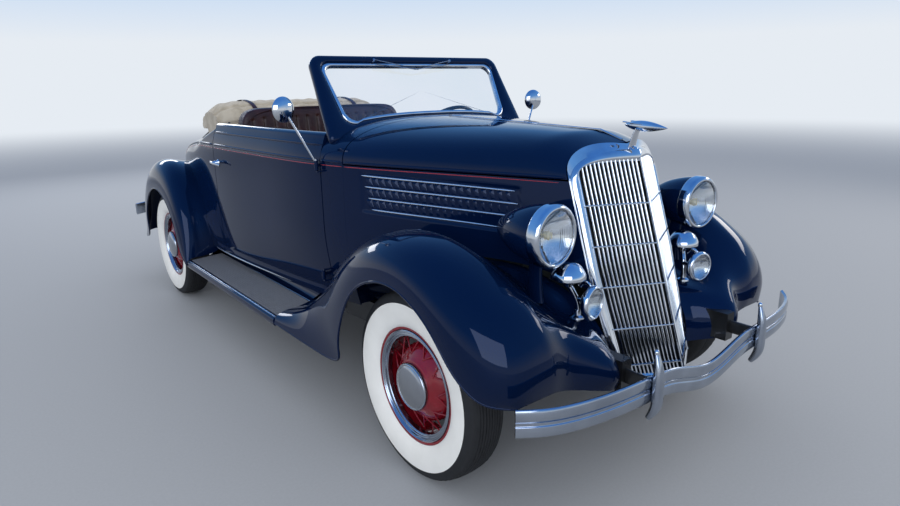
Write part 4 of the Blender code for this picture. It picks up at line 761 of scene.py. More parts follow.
@dataclass
class Studio:
    """The photograph's camera, a pale floor and soft light from large panels."""

    eye: tuple[float, float, float] = (-1.952, -1.725, 1.420)
    yaw: float = -38.433
    pitch: float = -15.109
    roll: float = -0.894
    focal_pixels: float = 630.9
    frame_width: int = 900
    sensor: float = 36.0
    floor_colours: tuple[str, str] = ("#a3a7ac", "#acb0b5")
    floor_reach: float = 60.0
    fade: tuple[float, float] = (9.0, 24.0)
    sky: str = "#e6ecf3"

    def place_camera(self) -> None:
        """Stands the camera where the photograph was taken from."""
        yaw, pitch, roll = (math.radians(angle) for angle in (self.yaw, self.pitch, self.roll))
        ahead = Vector((-math.sin(yaw) * math.cos(pitch), math.cos(yaw) * math.cos(pitch),
                        math.sin(pitch)))
        right = ahead.cross(Vector(UPWARD)).normalized()
        above = right.cross(ahead)
        across = right * math.cos(roll) + above * math.sin(roll)
        up = above * math.cos(roll) - right * math.sin(roll)
        camera = bpy.data.objects.new("camera", bpy.data.cameras.new("camera"))
        camera.data.sensor_width = self.sensor
        camera.data.lens = self.focal_pixels * self.sensor / self.frame_width
        camera.data.clip_end = 200
        turn = Matrix((across, up, -ahead)).transposed().to_4x4()
        stand = Matrix.Translation(Vector(self.eye) + Vector((0, FRONT_AXLE_Y, 0)))
        camera.matrix_world = stand @ turn
        bpy.context.scene.collection.objects.link(camera)
        bpy.context.scene.camera = camera

    def add_light(self, name: str, place: Sequence[float], aim: Sequence[float],
                  size: Sequence[float],
                  power: float, colour: str = "#ffffff") -> None:
        """Hangs one soft panel.

        Args:
            name: The lamp's name.
            place: Where it hangs.
            aim: The point that it faces.
            size: Its width and height.
            power: Its power in watts.
            colour: Its colour.
        """
        lamp = bpy.data.lights.new(name, "AREA")
        lamp.shape = "RECTANGLE"
        lamp.size, lamp.size_y = size
        lamp.energy = power
        lamp.color = srgb(colour)[:3]
        made = bpy.data.objects.new(name, lamp)
        made.location = place
        made.rotation_euler = (Vector(aim) - Vector(place)).to_track_quat("-Z", "Y").to_euler()
        bpy.context.scene.collection.objects.link(made)

    def light(self) -> None:
        """Hangs the panels and a sky: pale at the horizon, where the camera looks, and blue above.

        Camera, glossy and transmission rays see the sky as it is written. Diffuse rays get its soft
        neutral light, which with the panels adds up to a plain level.
        """
        self.add_light("near_side", (-8.5, -9.0, 5.0), (-0.3, -0.6, 0.5), (10.0, 6.0), 560,
                       "#f4f7ff")
        self.add_light("far_side", (6.5, -2.5, 3.4), (0, 0, 0.6), (4.0, 1.0), 60, "#fff6ea")
        self.add_light("tail", (0, 8.0, 3.4), (0, 1.5, 0.6), (4.0, 1.0), 70)
        scene = bpy.context.scene
        scene.view_settings.view_transform = "Standard"
        world = bpy.data.worlds.new("studio")
        scene.world = world
        world.use_nodes = True
        tree = world.node_tree
        tree.nodes.clear()
        direction = add_node(tree, "ShaderNodeTexCoord").outputs["Generated"]
        height = add_node(tree, "ShaderNodeSeparateXYZ", {"Vector": direction}).outputs["Z"]
        ramp = add_node(tree, "ShaderNodeValToRGB", {"Fac": height})
        stops = ((0.0, self.sky), (0.06, self.sky), (0.18, "#b4d2f4"), (0.36, "#6ba8ee"),
                 (1.0, "#4684da"))
        while len(ramp.color_ramp.elements) < len(stops):
            ramp.color_ramp.elements.new(0.5)
        for element, (place, colour) in zip(ramp.color_ramp.elements, stops):
            element.position = place
            element.color = srgb(colour)
        seen = add_node(tree, "ShaderNodeBackground", {"Color": ramp.outputs[0], "Strength": 1.0})
        soft = add_node(tree, "ShaderNodeBackground", {"Color": srgb("#f1f3f7"), "Strength": 0.86})
        rays = add_node(tree, "ShaderNodeLightPath").outputs
        sharp = add_node(tree, "ShaderNodeMath",
                         {0: rays["Is Camera Ray"], 1: rays["Is Glossy Ray"]}, operation="ADD")
        clear = {0: sharp.outputs[0], 1: rays["Is Transmission Ray"]}
        share = add_node(tree, "ShaderNodeMath", clear, operation="ADD", use_clamp=True).outputs[0]
        mixed = add_node(tree, "ShaderNodeMixShader",
                         {0: share, 1: soft.outputs[0], 2: seen.outputs[0]})
        add_node(tree, "ShaderNodeOutputWorld", {"Surface": mixed.outputs[0]})

    def lay_floor(self) -> None:
        """A wide pale floor, a little satin, that fades out into the background."""
        rings = np.linspace(0, 1, 24)[:, None] ** 1.5 * self.floor_reach
        turn = np.linspace(0, 2 * math.pi, 64, endpoint=False)[None]
        points = np.stack([rings * np.cos(turn), rings * np.sin(turn), np.zeros((24, 64))], 2)
        form = lattice(points, wrap_columns=True)
        mesh = bpy.data.meshes.new("floor")
        mesh.from_pydata(form.points.tolist(), [], form.faces)
        floor = bpy.data.objects.new("floor", mesh)
        bpy.context.scene.collection.objects.link(floor)
        made = bpy.data.materials.new("pale_floor")
        made.use_nodes = True
        tree = made.node_tree
        tree.nodes.clear()
        place = add_node(tree, "ShaderNodeTexCoord").outputs["Object"]
        grain = add_node(tree, "ShaderNodeTexNoise",
                         {"Vector": place, "Scale": 90.0, "Detail": 3.0}).outputs["Fac"]
        tones = {0: grain, 6: srgb(self.floor_colours[0]), 7: srgb(self.floor_colours[1])}
        tone = add_node(tree, "ShaderNodeMix", tones, data_type="RGBA").outputs[2]
        matt = add_node(tree, "ShaderNodeBsdfPrincipled", {"Base Color": tone, "Roughness": 0.75})
        reach = add_node(tree, "ShaderNodeVectorMath", {0: place},
                         operation="LENGTH").outputs["Value"]
        limits = {"Value": reach, "From Min": self.fade[0], "From Max": self.fade[1]}
        far = add_node(tree, "ShaderNodeMapRange", limits,
                       interpolation_type="SMOOTHSTEP").outputs[0]
        haze = add_node(tree, "ShaderNodeEmission", {"Color": srgb(self.sky), "Strength": 1.0})
        mixed = add_node(tree, "ShaderNodeMixShader",
                         {0: far, 1: matt.outputs[0], 2: haze.outputs[0]})
        add_node(tree, "ShaderNodeOutputMaterial", {"Surface": mixed.outputs[0]})
        mesh.materials.append(made)
        floor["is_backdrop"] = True


@dataclass
class Tyre:
    """Cross-ply tyre, 6.00-16, with a wide white wall on its outer side."""

    half: float = 0.080
    bead: float = 0.046
    seat: float = 0.2135
    radius: float = 0.357
    white_inner: float = 0.222
    white_outer: float = 0.3115
    tread_half: float = 0.056
    notch_count: int = 78

    def form(self) -> Form:
        """The tyre about the X axis, its white wall towards +X.

        The side is a spline from bead to shoulder. The tread is r = R - 0.0055 (x / w)^2, less
        eight round grooves, and its shoulders are notched by a square wave round the tyre.

        Returns:
            The tyre, zone 0 rubber and zone 1 white.
        """
        wall = smooth(((self.bead, self.seat), (0.060, 0.2225), (0.0725, 0.243), (0.079, 0.272),
                       (self.half, 0.293), (0.0785, 0.3115), (0.0735, 0.331), (0.0655, 0.345),
                       (self.tread_half, 0.3505)), 22)
        across = np.linspace(self.tread_half, 0, 41)[1:]
        crown = self.radius - 0.0055 * (across / self.tread_half) ** 2
        dips = [0.0050 * np.exp(-(((across - middle) / 0.0021) ** 4))
                for middle in (0.0060, 0.0180, 0.0300, 0.0420)]
        crown = crown - np.sum(dips, axis=0)
        right = np.concatenate([wall, np.stack([across, crown], 1)])
        scuff = 0.0016 * np.exp(-(((right[:, 1] - 0.3145) / 0.0022) ** 2)) * (right[:, 0] > 0.07)
        right[:, 0] += scuff
        profile = np.concatenate([right, right[-2::-1] * (-1, 1)])
        segments = self.notch_count * 2
        turn = np.linspace(0, 2 * math.pi, segments, endpoint=False)
        cut = (np.arange(segments) % 2)[None] * 0.0038
        edge = np.exp(-(((np.abs(profile[:, 0]) - 0.0535) / 0.0075) ** 4)) * (profile[:, 1] > 0.343)
        radius = profile[:, 1:2] - edge[:, None] * cut
        points = np.stack([np.repeat(profile[:, :1], segments, 1), radius * np.cos(turn),
                           radius * np.sin(turn)], 2)
        form = lattice(points, wrap_rows=True, wrap_columns=True)
        middle = form.points[np.array(form.faces)].mean(1)
        reach = np.hypot(middle[:, 1], middle[:, 2])
        white = (middle[:, 0] > 0.04) & (reach > self.white_inner) & (reach < self.white_outer)
        return Form(form.points, form.faces, white.astype(int).tolist())


@dataclass
class Wheel:
    """Wire wheel: rim, polished trim ring, laced spokes, drum shell and a bare spun cap."""

    rim_edge: float = 0.2235
    spoke_pairs: int = 10
    spoke_radius: float = 0.0030
    cap_lead: float = 0.012
    segments: int = 96

    def rim(self) -> Form:
        """The painted rim, a closed ring with a rolled lip at each edge.

        Returns:
            The ring about the X axis.
        """
        lip = [(0.047, 0.2125), (0.0520, 0.2225), (0.0560, self.rim_edge), (0.0592, 0.2205),
               (0.0592, 0.2150), (0.0560, 0.2110), (0.0520, 0.2090), (0.0480, 0.2075),
               (0.0400, 0.2055), (0.0250, 0.2030), (0.0180, 0.1980), (0.0060, 0.1965)]
        well = [(-a, r) for a, r in lip[::-1]]
        back = [(-0.047, 0.2125), (-0.020, 0.2065), (0.020, 0.2065)]
        return lathe(lip + well + back[1:], self.segments, closed=True)

    def trim_ring(self) -> Form:
        """The polished ring inside the lip, stepped in three ridges.

        Returns:
            The ring about the X axis.
        """
        front = smooth(((0.0594, 0.2095), (0.0606, 0.2062), (0.0568, 0.2035), (0.0580, 0.2000),
                        (0.0535, 0.1972), (0.0548, 0.1932), (0.0485, 0.1900), (0.0494, 0.1862),
                        (0.0400, 0.1830), (0.0300, 0.1825)), 26)
        back = front[::-1] - np.array([0.0016, -0.0004])
        return lathe(np.concatenate([front, back]), self.segments, closed=True)

    def barrel(self) -> Form:
        """The painted inner wall between trim ring and spokes."""
        return lathe([(0.036, 0.1835), (0.020, 0.1900), (-0.050, 0.1960), (-0.050, 0.1985),
                      (0.020, 0.1935), (0.038, 0.1862)], self.segments, closed=True)

    def shell(self) -> Form:
        """The drum and its domed shell, up to the cap.

        Returns:
            The drum about the X axis.
        """
        dome = smooth(((-0.012, 0.1500), (0.010, 0.1455), (0.027, 0.1330), (0.040, 0.1160),
                       (0.0500, 0.1010), (0.0550, 0.0945), (0.0570, 0.0900)), 20)
        back = [(-0.030, 0.0205), (-0.080, 0.0205), (-0.080, 0.1500), (-0.060, 0.1520),
                (-0.040, 0.1520), (-0.038, 0.1500)]
        return lathe([*back, *dome.tolist(), (0.0570, 0.0700), (-0.030, 0.0700)], self.segments,
                     closed=True)

    def spokes(self) -> Form:
        """Pairs of spokes laced from the shell to the rim, each pair crossing its neighbour.

        Returns:
            All the spokes as one form.
        """
        forms = []
        step = 2 * math.pi / self.spoke_pairs
        for number in range(self.spoke_pairs):
            for side, start, lean, phase in ((0.040, 0.114, 0.33, 0.0), (0.040, 0.114, -0.33, 0.10),
                                             (-0.030, 0.149, 0.20, 0.5),
                                             (-0.030, 0.149, -0.20, 0.6)):
                turn = (number + phase) * step
                far = turn + lean
                foot = (side, start * math.cos(turn), start * math.sin(turn))
                tip = (0.008 if side > 0 else -0.006, 0.1970 * math.cos(far),
                       0.1970 * math.sin(far))
                forms.append(tube([foot, tip], self.spoke_radius, 8, up=(1, 0, 0.01)))
        return joined(forms)

    def cap(self) -> Form:
        """The bare hub cap: a rolled edge, a groove and a low dome.

        Returns:
            The cap about the X axis.
        """
        dome = smooth(((0.0420, 0.0870), (0.0500, 0.0892), (0.0575, 0.0885), (0.0625, 0.0850),
                       (0.0635, 0.0810)), 14)
        face = smooth(((0.0622, 0.0790), (0.0640, 0.0760), (0.0685, 0.0640), (0.0728, 0.0440),
                       (0.0752, 0.0220), (0.0758, 0.0006)), 22)
        return lathe((np.concatenate([dome, face]) + (self.cap_lead, 0)).tolist(), self.segments)


@dataclass
class RoadWheels:
    """The four road wheels on their axles and the spare on the tail."""

    front_track: float = 1.410
    rear_track: float = 1.475
    spare_y: float = 0.800
    spare_z: float = 0.790
    spare_lean: float = 20.0
    tyre: Tyre = field(default_factory=Tyre)
    wheel: Wheel = field(default_factory=Wheel)

    def dress(self, name: str, seat: Matrix, body: str, solids: tuple[str, str], flip: bool,
              arm: Form | None = None) -> None:
        """Puts one wheel and its tyre in place.

        Args:
            name: Start of the pieces' names.
            seat: The wheel's place, its cap towards +X.
            body: The body that it rides on.
            solids: Its tyre's and its wheel's solids.
            flip: Mirrors it to the car's right.
            arm: What carries it, if that is part of its solid.
        """
        def seated(form: Form) -> Form:
            """The form in its place on its side."""
            return (form.mirrored() if flip else form).moved(seat)

        add_piece(f"{name}_tyre_tread", seated(self.tyre.form()), (RUBBER, WHITE), body,
                  replaces=(solids[0],))
        painted = joined(seated(form)
                         for form in (self.wheel.rim(), self.wheel.barrel(), self.wheel.shell()))
        if arm:
            painted = joined((painted, arm))
        add_piece(f"{name}_rim_and_drum", painted, RED, body, replaces=(solids[1],), sharp=50)
        add_piece(f"{name}_spokes", seated(self.wheel.spokes()), RED, body)
        add_piece(f"{name}_trim_ring", seated(self.wheel.trim_ring()), DULL_CHROME, body)
        add_piece(f"{name}_hub_cap", seated(self.wheel.cap()), SPUN, body)

    def build(self) -> None:
        """Builds all five wheels."""
        for end, track, station in (("front", self.front_track, 0.0),
                                    ("rear", self.rear_track, REAR_AXLE_Y)):
            for side in Side:
                seat = Matrix.Translation((side.value * track / 2, station, AXLE_Z))
                name = f"{end}_{side.label}"
                solids = (f"{end}_tyre_{side.label}", f"{end}_wheel_{side.label}")
                self.dress(name, seat, f"{end}_wheel_{side.label}", solids, side is Side.RIGHT)
        lean = math.radians(self.spare_lean)
        out = Vector((0, math.cos(lean), math.sin(lean)))
        centre = Vector((0, REAR_AXLE_Y + self.spare_y, self.spare_z))
        turn = Vector(ACROSS).rotation_difference(out).to_matrix().to_4x4()
        seat = Matrix.Translation(centre) @ turn
        post_y = REAR_AXLE_Y + 0.720
        post = smooth((tuple(centre - out * 0.07), (0, post_y + 0.006, 0.640), (0, post_y, 0.560),
                       (0, post_y, 0.481)), 16)
        self.dress("spare", seat, "chassis", ("spare_tyre", "spare_wheel"), False,
                   tube(post, 0.022, 16, up=ACROSS))


@dataclass
class Grille:
    """V-prow grille: plated shell, upright bars on the prow, cross bars and a plain dart on top."""

    top_z: float = 1.182
    shoulder_z: float = 1.050
    foot_z: float = 0.385
    band: float = 0.031
    side_lead: float = 0.006
    prow_lead: float = 0.128
    bars_each_side: int = 14
    bar_width: float = 0.0054
    cross_heights: tuple[float, ...] = (0.994, 0.854, 0.714, 0.568, 0.440)
    ornament_y: float = -0.352

    def half(self, z: Any) -> np.ndarray:
        """Half width of the shell: 0.252 less 0.1 (0.78 - z)^1.2 below 0.78."""
        return 0.252 - 0.10 * np.clip(0.78 - np.asarray(z, float), 0, 1) ** 1.2

    def face_y(self, x: Any, z: Any) -> np.ndarray:
        """Station of the prow's face: two planes that meet on the centre line."""
        share = np.clip(1 - np.abs(x) / self.half(z), 0, 1)
        return grille_edge_y(z) - self.side_lead - (self.prow_lead - self.side_lead) * share

    def outline(self, band: float) -> np.ndarray:
        """Front view of the shell drawn in by a band: straight, then z = (1 - x^p)^(1/p).

        The power p is 2.5 at the outer edge and 4 round the bars, whose opening has squarer
        corners.

        Args:
            band: Distance in from the outer edge.

        Returns:
            Pairs of x and z, from the right foot over the top to the left foot and along the base.
        """
        low, shoulder = self.foot_z + 0.7 * band, self.shoulder_z + band
        top = self.top_z - 1.35 * band
        power = 2.5 + 1.5 * band / self.band
        z = np.linspace(low, shoulder, 40)
        side = np.stack([self.half(z) - band, z], 1)
        turn = np.linspace(math.pi / 2, 0, 36)[1:]
        reach = side[-1, 0]
        share = np.sin(turn) ** 0.65
        over = np.stack([reach * share,
                         shoulder + (top - shoulder) * (1 - share**power) ** (1 / power)], 1)
        over[-1, 0] = 0
        right = np.concatenate([side, over])
        base = np.linspace(-side[0, 0], side[0, 0], 12)[1:-1]
        return np.concatenate([right, right[-2::-1] * (-1, 1),
                               np.stack([base, np.full(10, low)], 1)])

    def ring(self, outline: np.ndarray, back: float) -> np.ndarray:
        """An outline laid on the prow and moved back."""
        y = self.face_y(outline[:, 0], outline[:, 1]) + back
        return np.stack([outline[:, 0], y, outline[:, 1]], 1)

    def heel(self, outline: np.ndarray) -> np.ndarray:
        """The shell's rear edge, spread to the hood's own section.

        Args:
            outline: Front view of the shell.

        Returns:
            Points flush with the hood's front edge.
        """
        x, z = outline.T
        rise = np.clip((z - self.shoulder_z) / (self.top_z - self.shoulder_z), 0, 1)
        ridge = read_line(RIDGE_LINE, shell_back_y(x, z)) - 0.001
        share = (z - self.foot_z) / (self.shoulder_z - self.foot_z)
        height = np.where(z > self.shoulder_z, BELT_Z + (ridge - BELT_Z) * rise,
                          self.foot_z + (BELT_Z - self.foot_z) * share)
        front = half_width(grille_edge_y(BELT_Z), BELT_Z) - 0.001
        wide = x * front / float(self.half(self.shoulder_z))
        return np.stack([wide, shell_back_y(wide, height), height], 1)

    def shell(self) -> Form:
        """The plated shell: its band is a half round, out to 12 mm before the bars.

        Returns:
            The closed shell.
        """
        outer, inner = self.outline(0.0), self.outline(self.band)
        heel = self.heel(outer)
        rings = [heel]
        rings += [heel + (self.ring(outer, 0.010) - heel) * share for share in (0.5, 1.0)]
        for share in np.linspace(0.02, 1, 13):
            lead = 0.011 * math.sin(math.pi * min(share, 0.92)) ** 0.6
            rings.append(self.ring(outer + (inner - outer) * share, 0.006 - lead))
        rings += [self.ring(inner, back) for back in (0.012, 0.028)]
        tucked = self.ring(outer + (inner - outer) * 0.96, 0.032)
        rings.append(tucked)
        return lattice(np.array(rings), wrap_rows=True, wrap_columns=True)

    def crest(self, x: float) -> float:
        """Height at which an upright bar meets the shell.

        Args:
            x: The bar's distance from the centre line.

        Returns:
            The height.
        """
        half, low = float(self.half(self.shoulder_z)) - self.band, self.shoulder_z + self.band
        high = self.top_z - 1.35 * self.band + 0.006
        return low + (high - low) * (1 - min(abs(x) / half, 1) ** 4) ** 0.25

    def bars(self) -> Form:
        """Upright bars, each a rounded blade that leans with the shell's sides.

        Returns:
            All the upright bars and the spine between them.
        """
        half = float(self.half(self.shoulder_z)) - self.band
        low = self.foot_z + 0.55 * self.band
        forms = []
        blade = disc(self.bar_width / 2, 8) * (1.0, 2.6)
        for x in np.linspace(-half, half, 2 * self.bars_each_side + 3)[1:-1]:
            z = np.linspace(low, self.crest(x), 18)
            lean = x * (self.half(z) - self.band) / half
            path = np.stack([lean, self.face_y(lean, z) + 0.006, z], 1)
            forms.append(swept(path, blade[:, ::-1], up=ACROSS))
        spine = np.linspace(low, self.crest(0) + 0.004, 18)
        path = np.stack([np.zeros(18), self.face_y(np.zeros(18), spine) - 0.001, spine], 1)
        forms.append(swept(path, disc(0.0052, 10) * (1.7, 1.0), up=ACROSS))
        return joined(forms)

    def cross_bars(self) -> Form:
        """Slim cross bars that follow the prow, just proud of the upright ones.

        Returns:
            All the cross bars.
        """
        forms = []
        for z in self.cross_heights:
            reach = float(self.half(z)) - self.band + 0.004
            x = np.concatenate([np.linspace(-reach, -0.004, 8), np.linspace(0.004, reach, 8)])
            path = np.stack([x, self.face_y(x, np.full(16, z)) - 0.004, np.full(16, z)], 1)
            forms.append(swept(path, plank(0.006, 0.0058, 0.002)))
        return joined(forms)

    def shade_sheet(self) -> Form:
        """A dark sheet close behind the bars, on the same prow: painted shade, which darkens the
        gaps between the bars.

        Returns:
            The closed sheet.
        """
        low, high = self.foot_z + 0.5 * self.band, self.top_z - 1.35 * self.band + 0.006
        z = np.concatenate([np.linspace(low, self.shoulder_z, 20),
                            np.linspace(self.shoulder_z, high - 0.0005, 14)[1:]])
        share = np.linspace(-1, 1, 21)
        foot = self.shoulder_z + self.band
        rise = np.clip((z - foot) / (high - foot), 0, 1)
        reach = (self.half(z) - self.band + 0.008) * (1 - rise**4) ** 0.25
        x = reach[:, None] * share[None]
        height = np.repeat(z[:, None], 21, 1)
        grid = np.stack([x, self.face_y(x, height) + 0.021, height], 2)
        return panel(grid, 0.004, inward=REARWARD)

    def ornament(self) -> Form:
        """A plain plated dart on a swept stem: the dart's radius is a sine of its length.

        Returns:
            The stem, its base, the dart and its two fins.
        """
        y, z = self.ornament_y, self.top_z
        stem = smooth(((0, y + 0.022, z - 0.016), (0, y + 0.012, z + 0.028),
                       (0, y - 0.004, z + 0.074)), 12)
        base = lathe([(-0.018, 0.028), (0.000, 0.027), (0.008, 0.020), (0.014, 0.008)], 32,
                     (0, y + 0.018, z - 0.004), (0, -0.15, 1))
        share = np.linspace(0, 1, 40)
        body = np.stack([-0.060 + 0.178 * share,
                         0.0006 + 0.0185 * np.sin(math.pi * share**0.85) ** 0.9], 1)
        dart = lathe(body, 32, (0, y - 0.005, z + 0.080), (0, -1, -0.04))
        wings = []
        for sign in (-1, 1):
            tip = np.array([(0, y - 0.070, z + 0.083), (sign * 0.014, y - 0.020, z + 0.087),
                            (sign * 0.026, y + 0.040, z + 0.094)])
            wings.append(swept(smooth(tip, 12), plank(0.020, 0.004, 0.0018),
                               scale=np.linspace(0.5, 1.0, 12)))
        column = swept(stem, disc(0.012, 16) * (0.55, 1.5), up=ACROSS,
                       scale=np.linspace(1.3, 0.8, 12))
        return joined((column, base, dart, *wings))

    def build(self) -> None:
        """Builds the grille's pieces."""
        add_piece("grille_shell", self.shell(), CHROME, replaces=("grille",), sharp=50)
        add_piece("grille_bars", self.bars(), CHROME)
        add_piece("grille_cross_bars", self.cross_bars(), CHROME)
        # The dark sheet behind the bars is painted shade in the grille's gaps.
        add_piece("grille_shade_sheet", self.shade_sheet(), CORE_AND_SHADE)
        add_piece("hood_ornament", self.ornament(), CHROME)


# Each fender runs between three guide curves. One row is one station: the crest's x, y, z, the
# outer lip's x, y, z, and the inner edge's x, y, z. The rear one counts from the rear axle.
# FRONT_ROLL moves the middle of the inner side, in y and z, for the first rows: the apron's
# rolled front edge.
FRONT_FENDER = (
    ((0.600, -0.525, 0.480), (0.740, -0.510, 0.468), (0.238, -0.475, 0.405)),
    ((0.610, -0.535, 0.570), (0.785, -0.470, 0.472), (0.240, -0.465, 0.490)),
    ((0.622, -0.505, 0.660), (0.825, -0.420, 0.490), (0.243, -0.430, 0.560)),
    ((0.635, -0.440, 0.738), (0.850, -0.345, 0.550), (0.249, -0.375, 0.618)),
    ((0.645, -0.340, 0.805), (0.860, -0.262, 0.645), (0.262, -0.300, 0.674)),
    ((0.652, -0.220, 0.868), (0.862, -0.155, 0.724), (0.290, -0.195, 0.722)),
    ((0.660, -0.090, 0.908), (0.862, -0.030, 0.762), (0.325, -0.070, 0.750)),
    ((0.665, 0.060, 0.915), (0.862, 0.110, 0.748), (0.388, 0.080, 0.755)),
    ((0.672, 0.250, 0.872), (0.860, 0.252, 0.670), (0.460, 0.270, 0.752)),
    ((0.680, 0.430, 0.775), (0.855, 0.348, 0.545), (0.524, 0.450, 0.700)),
    ((0.688, 0.600, 0.630), (0.845, 0.410, 0.400), (0.566, 0.600, 0.600)),
    ((0.700, 0.760, 0.500), (0.838, 0.460, 0.320), (0.590, 0.760, 0.490)),
    ((0.715, 0.900, 0.415), (0.840, 0.700, 0.308), (0.598, 0.900, 0.425)),
    ((0.725, 1.030, 0.372), (0.852, 1.030, 0.318), (0.598, 1.030, 0.392)),
)
FRONT_ROLL = ((-0.100, 0.020), (-0.122, -0.002), (-0.108, -0.008), (-0.064, -0.030),
              (-0.020, -0.055), (0.000, -0.030))
REAR_FENDER = (
    ((0.770, -0.485, 0.362), (0.862, -0.485, 0.318), (0.640, -0.485, 0.370)),
    ((0.768, -0.440, 0.560), (0.866, -0.392, 0.400), (0.640, -0.450, 0.560)),
    ((0.762, -0.345, 0.760), (0.867, -0.325, 0.560), (0.630, -0.360, 0.745)),
    ((0.752, -0.185, 0.900), (0.867, -0.185, 0.700), (0.610, -0.205, 0.875)),
    ((0.744, 0.005, 0.945), (0.867, 0.000, 0.755), (0.580, 0.000, 0.918)),
    ((0.735, 0.205, 0.910), (0.866, 0.185, 0.710), (0.520, 0.215, 0.870)),
    ((0.727, 0.385, 0.800), (0.862, 0.325, 0.600), (0.460, 0.375, 0.755)),
    ((0.720, 0.535, 0.620), (0.855, 0.405, 0.460), (0.435, 0.480, 0.600)),
    ((0.713, 0.620, 0.450), (0.845, 0.465, 0.350), (0.425, 0.540, 0.450)),
    ((0.708, 0.640, 0.360), (0.835, 0.575, 0.322), (0.425, 0.560, 0.380)),
)


@dataclass
class Fender:
    """A pressed fender between its guide curves, with a wired lip."""

    table: tuple[Any, ...]
    shift: float
    node: str
    roll: tuple[Any, ...] = ()
    rows: int = 110
    across: int = 22
    wall: float = 0.0045
    bead: float = 0.0050

    def guides(self) -> np.ndarray:
        """The guide curves, rows by crest, lip, inner edge and roll by x, y, z.

        Returns:
            An array of rows by four by three.
        """
        rows = np.array(self.table, float)
        rows[:, :, 1] += self.shift
        roll = np.zeros((len(rows), 1, 3))
        if self.roll:
            roll[:len(self.roll), 0, 1:] = self.roll
        rows = np.concatenate([rows, roll], axis=1)
        knots = np.r_[0, np.cumsum(np.linalg.norm(np.diff(rows[:, 0], axis=0), axis=1))]
        return spline(knots, rows.reshape(len(rows), 12),
                      np.linspace(0, knots[-1], self.rows)).reshape(-1, 4, 3)

    def skin(self) -> np.ndarray:
        """The outer skin from lip over the crest to the inner edge.

        Outside, a boxy quarter arch: across by sin(t)^0.8, down by 1 - cos(t)^0.8. Inside, a
        valley: across by s, down by (1 - cos(pi s^0.72)) / 2, which runs out level at the body,
        plus the roll by sin(pi s^1.6)^2.

        Returns:
            Rows by columns by 3.
        """
        guide = self.guides()
        crest, lip, inner, roll = (guide[:, None, number] for number in range(4))
        turn = np.linspace(1, 0, self.across)[None] ** 1.25 * math.pi / 2
        share = np.linspace(0, 1, self.across)[None, 1:]
        sides = []
        for edge, over, drop in ((lip, np.sin(turn) ** 0.8, 1 - np.cos(turn) ** 0.8),
                                 (inner, share, (1 - np.cos(math.pi * share**0.72)) / 2)):
            x = crest[..., 0] + (edge[..., 0] - crest[..., 0]) * over
            y = crest[..., 1] + (edge[..., 1] - crest[..., 1]) * drop
            z = crest[..., 2] + (edge[..., 2] - crest[..., 2]) * drop
            sides.append(np.stack([x, y, z], 2))
        sides[1] += roll * (np.sin(math.pi * share**1.6) ** 2)[..., None]
        return np.concatenate(sides, axis=1)

    def build(self) -> None:
        """Builds the fender on both sides."""
        grid = self.skin()
        shell = panel(grid, self.wall)
        lip = tube(grid[:, 0] - (self.bead * 0.6, 0, 0), self.bead, 10)
        for side in Side:
            forms = [form.on(side) for form in (shell, lip)]
            name = f"{self.node}_{side.label}"
            add_piece(f"{name}_panel", joined(forms), NAVY, replaces=(name,), sharp=50)


@dataclass
class RunningBoards:
    """Running boards: a ribbed rubber mat between plated trims, and the painted apron."""

    inner_x: float = 0.600
    outer_x: float = 0.852
    top_z: float = 0.345
    depth: float = 0.030
    front_y: float = 1.0305
    rear_y: float = REAR_AXLE_Y - 0.4855
    rib_count: int = 15
    rib_height: float = 0.0032

    def build(self) -> None:
        """Builds both boards."""
        stations = np.linspace(self.front_y, self.rear_y, 24)
        low, top = self.top_z - self.depth, self.top_z
        apron = np.array([
            (self.inner_x - 0.030, low + 0.020), (self.outer_x - 0.012, low + 0.010),
            (self.outer_x - 0.012, low - 0.012),
            (self.outer_x - 0.002, low - 0.012), (self.outer_x + 0.003, low - 0.004),
            (self.outer_x + 0.004, top - 0.012),
            (self.outer_x - 0.001, top - 0.004), (self.outer_x - 0.010, top - 0.001),
            (self.inner_x + 0.022, top + 0.015),
            (self.inner_x + 0.004, top + 0.022), (self.inner_x - 0.006, top + 0.036),
            (self.inner_x - 0.010, SILL_Z - 0.004),
            (self.inner_x - 0.030, SILL_Z - 0.004)])
        rings = np.stack([np.stack([apron[:, 0], np.full(len(apron), y), apron[:, 1]], 1)
                          for y in stations])
        board = lattice(rings, wrap_columns=True, caps=True)
        across = np.linspace(0, 1, self.rib_count * 8 + 1)
        x = self.inner_x + 0.032 + across * (self.outer_x - self.inner_x - 0.058)
        fall = top + 0.0145 - across * 0.0130
        wave = np.sin(2 * math.pi * self.rib_count * across - 0.5 * math.pi)
        ribs = self.rib_height * np.clip(wave + 0.3, 0, 0.9)
        mat_y = np.linspace(self.front_y + 0.012, self.rear_y - 0.012, 12)
        grid = np.stack([np.stack([x, np.full(len(x), y), fall + ribs + 0.001], 1) for y in mat_y])
        mat = panel(grid, 0.006, inward=(0, 0, -1))
        trims = []
        for x0, z0, width in ((self.outer_x - 0.014, top + 0.0015, 0.016),
                              (self.inner_x + 0.024, top + 0.0165, 0.010)):
            path = [(x0, y, z0) for y in stations]
            trims.append(swept(path, disc(width / 2, 12) * (1, 0.45)))
        for side in Side:
            name = f"running_board_{side.label}"
            add_piece(f"{name}_apron", board.on(side), NAVY, slot="black_enamel", replaces=(name,),
                      sharp=40)
            add_piece(f"{name}_mat", mat.on(side), MAT, sharp=40)
            add_piece(f"{name}_trims", joined(trims).on(side), DULL_CHROME)


def skin_line(stations: np.ndarray, height: Any, lift: float = 0.0) -> np.ndarray:
    """A line on the body's side at a height, lifted off the skin."""
    z = np.broadcast_to(np.asarray(height, float), stations.shape)
    return np.stack([half_width(stations, z) + lift, stations, z], 1)


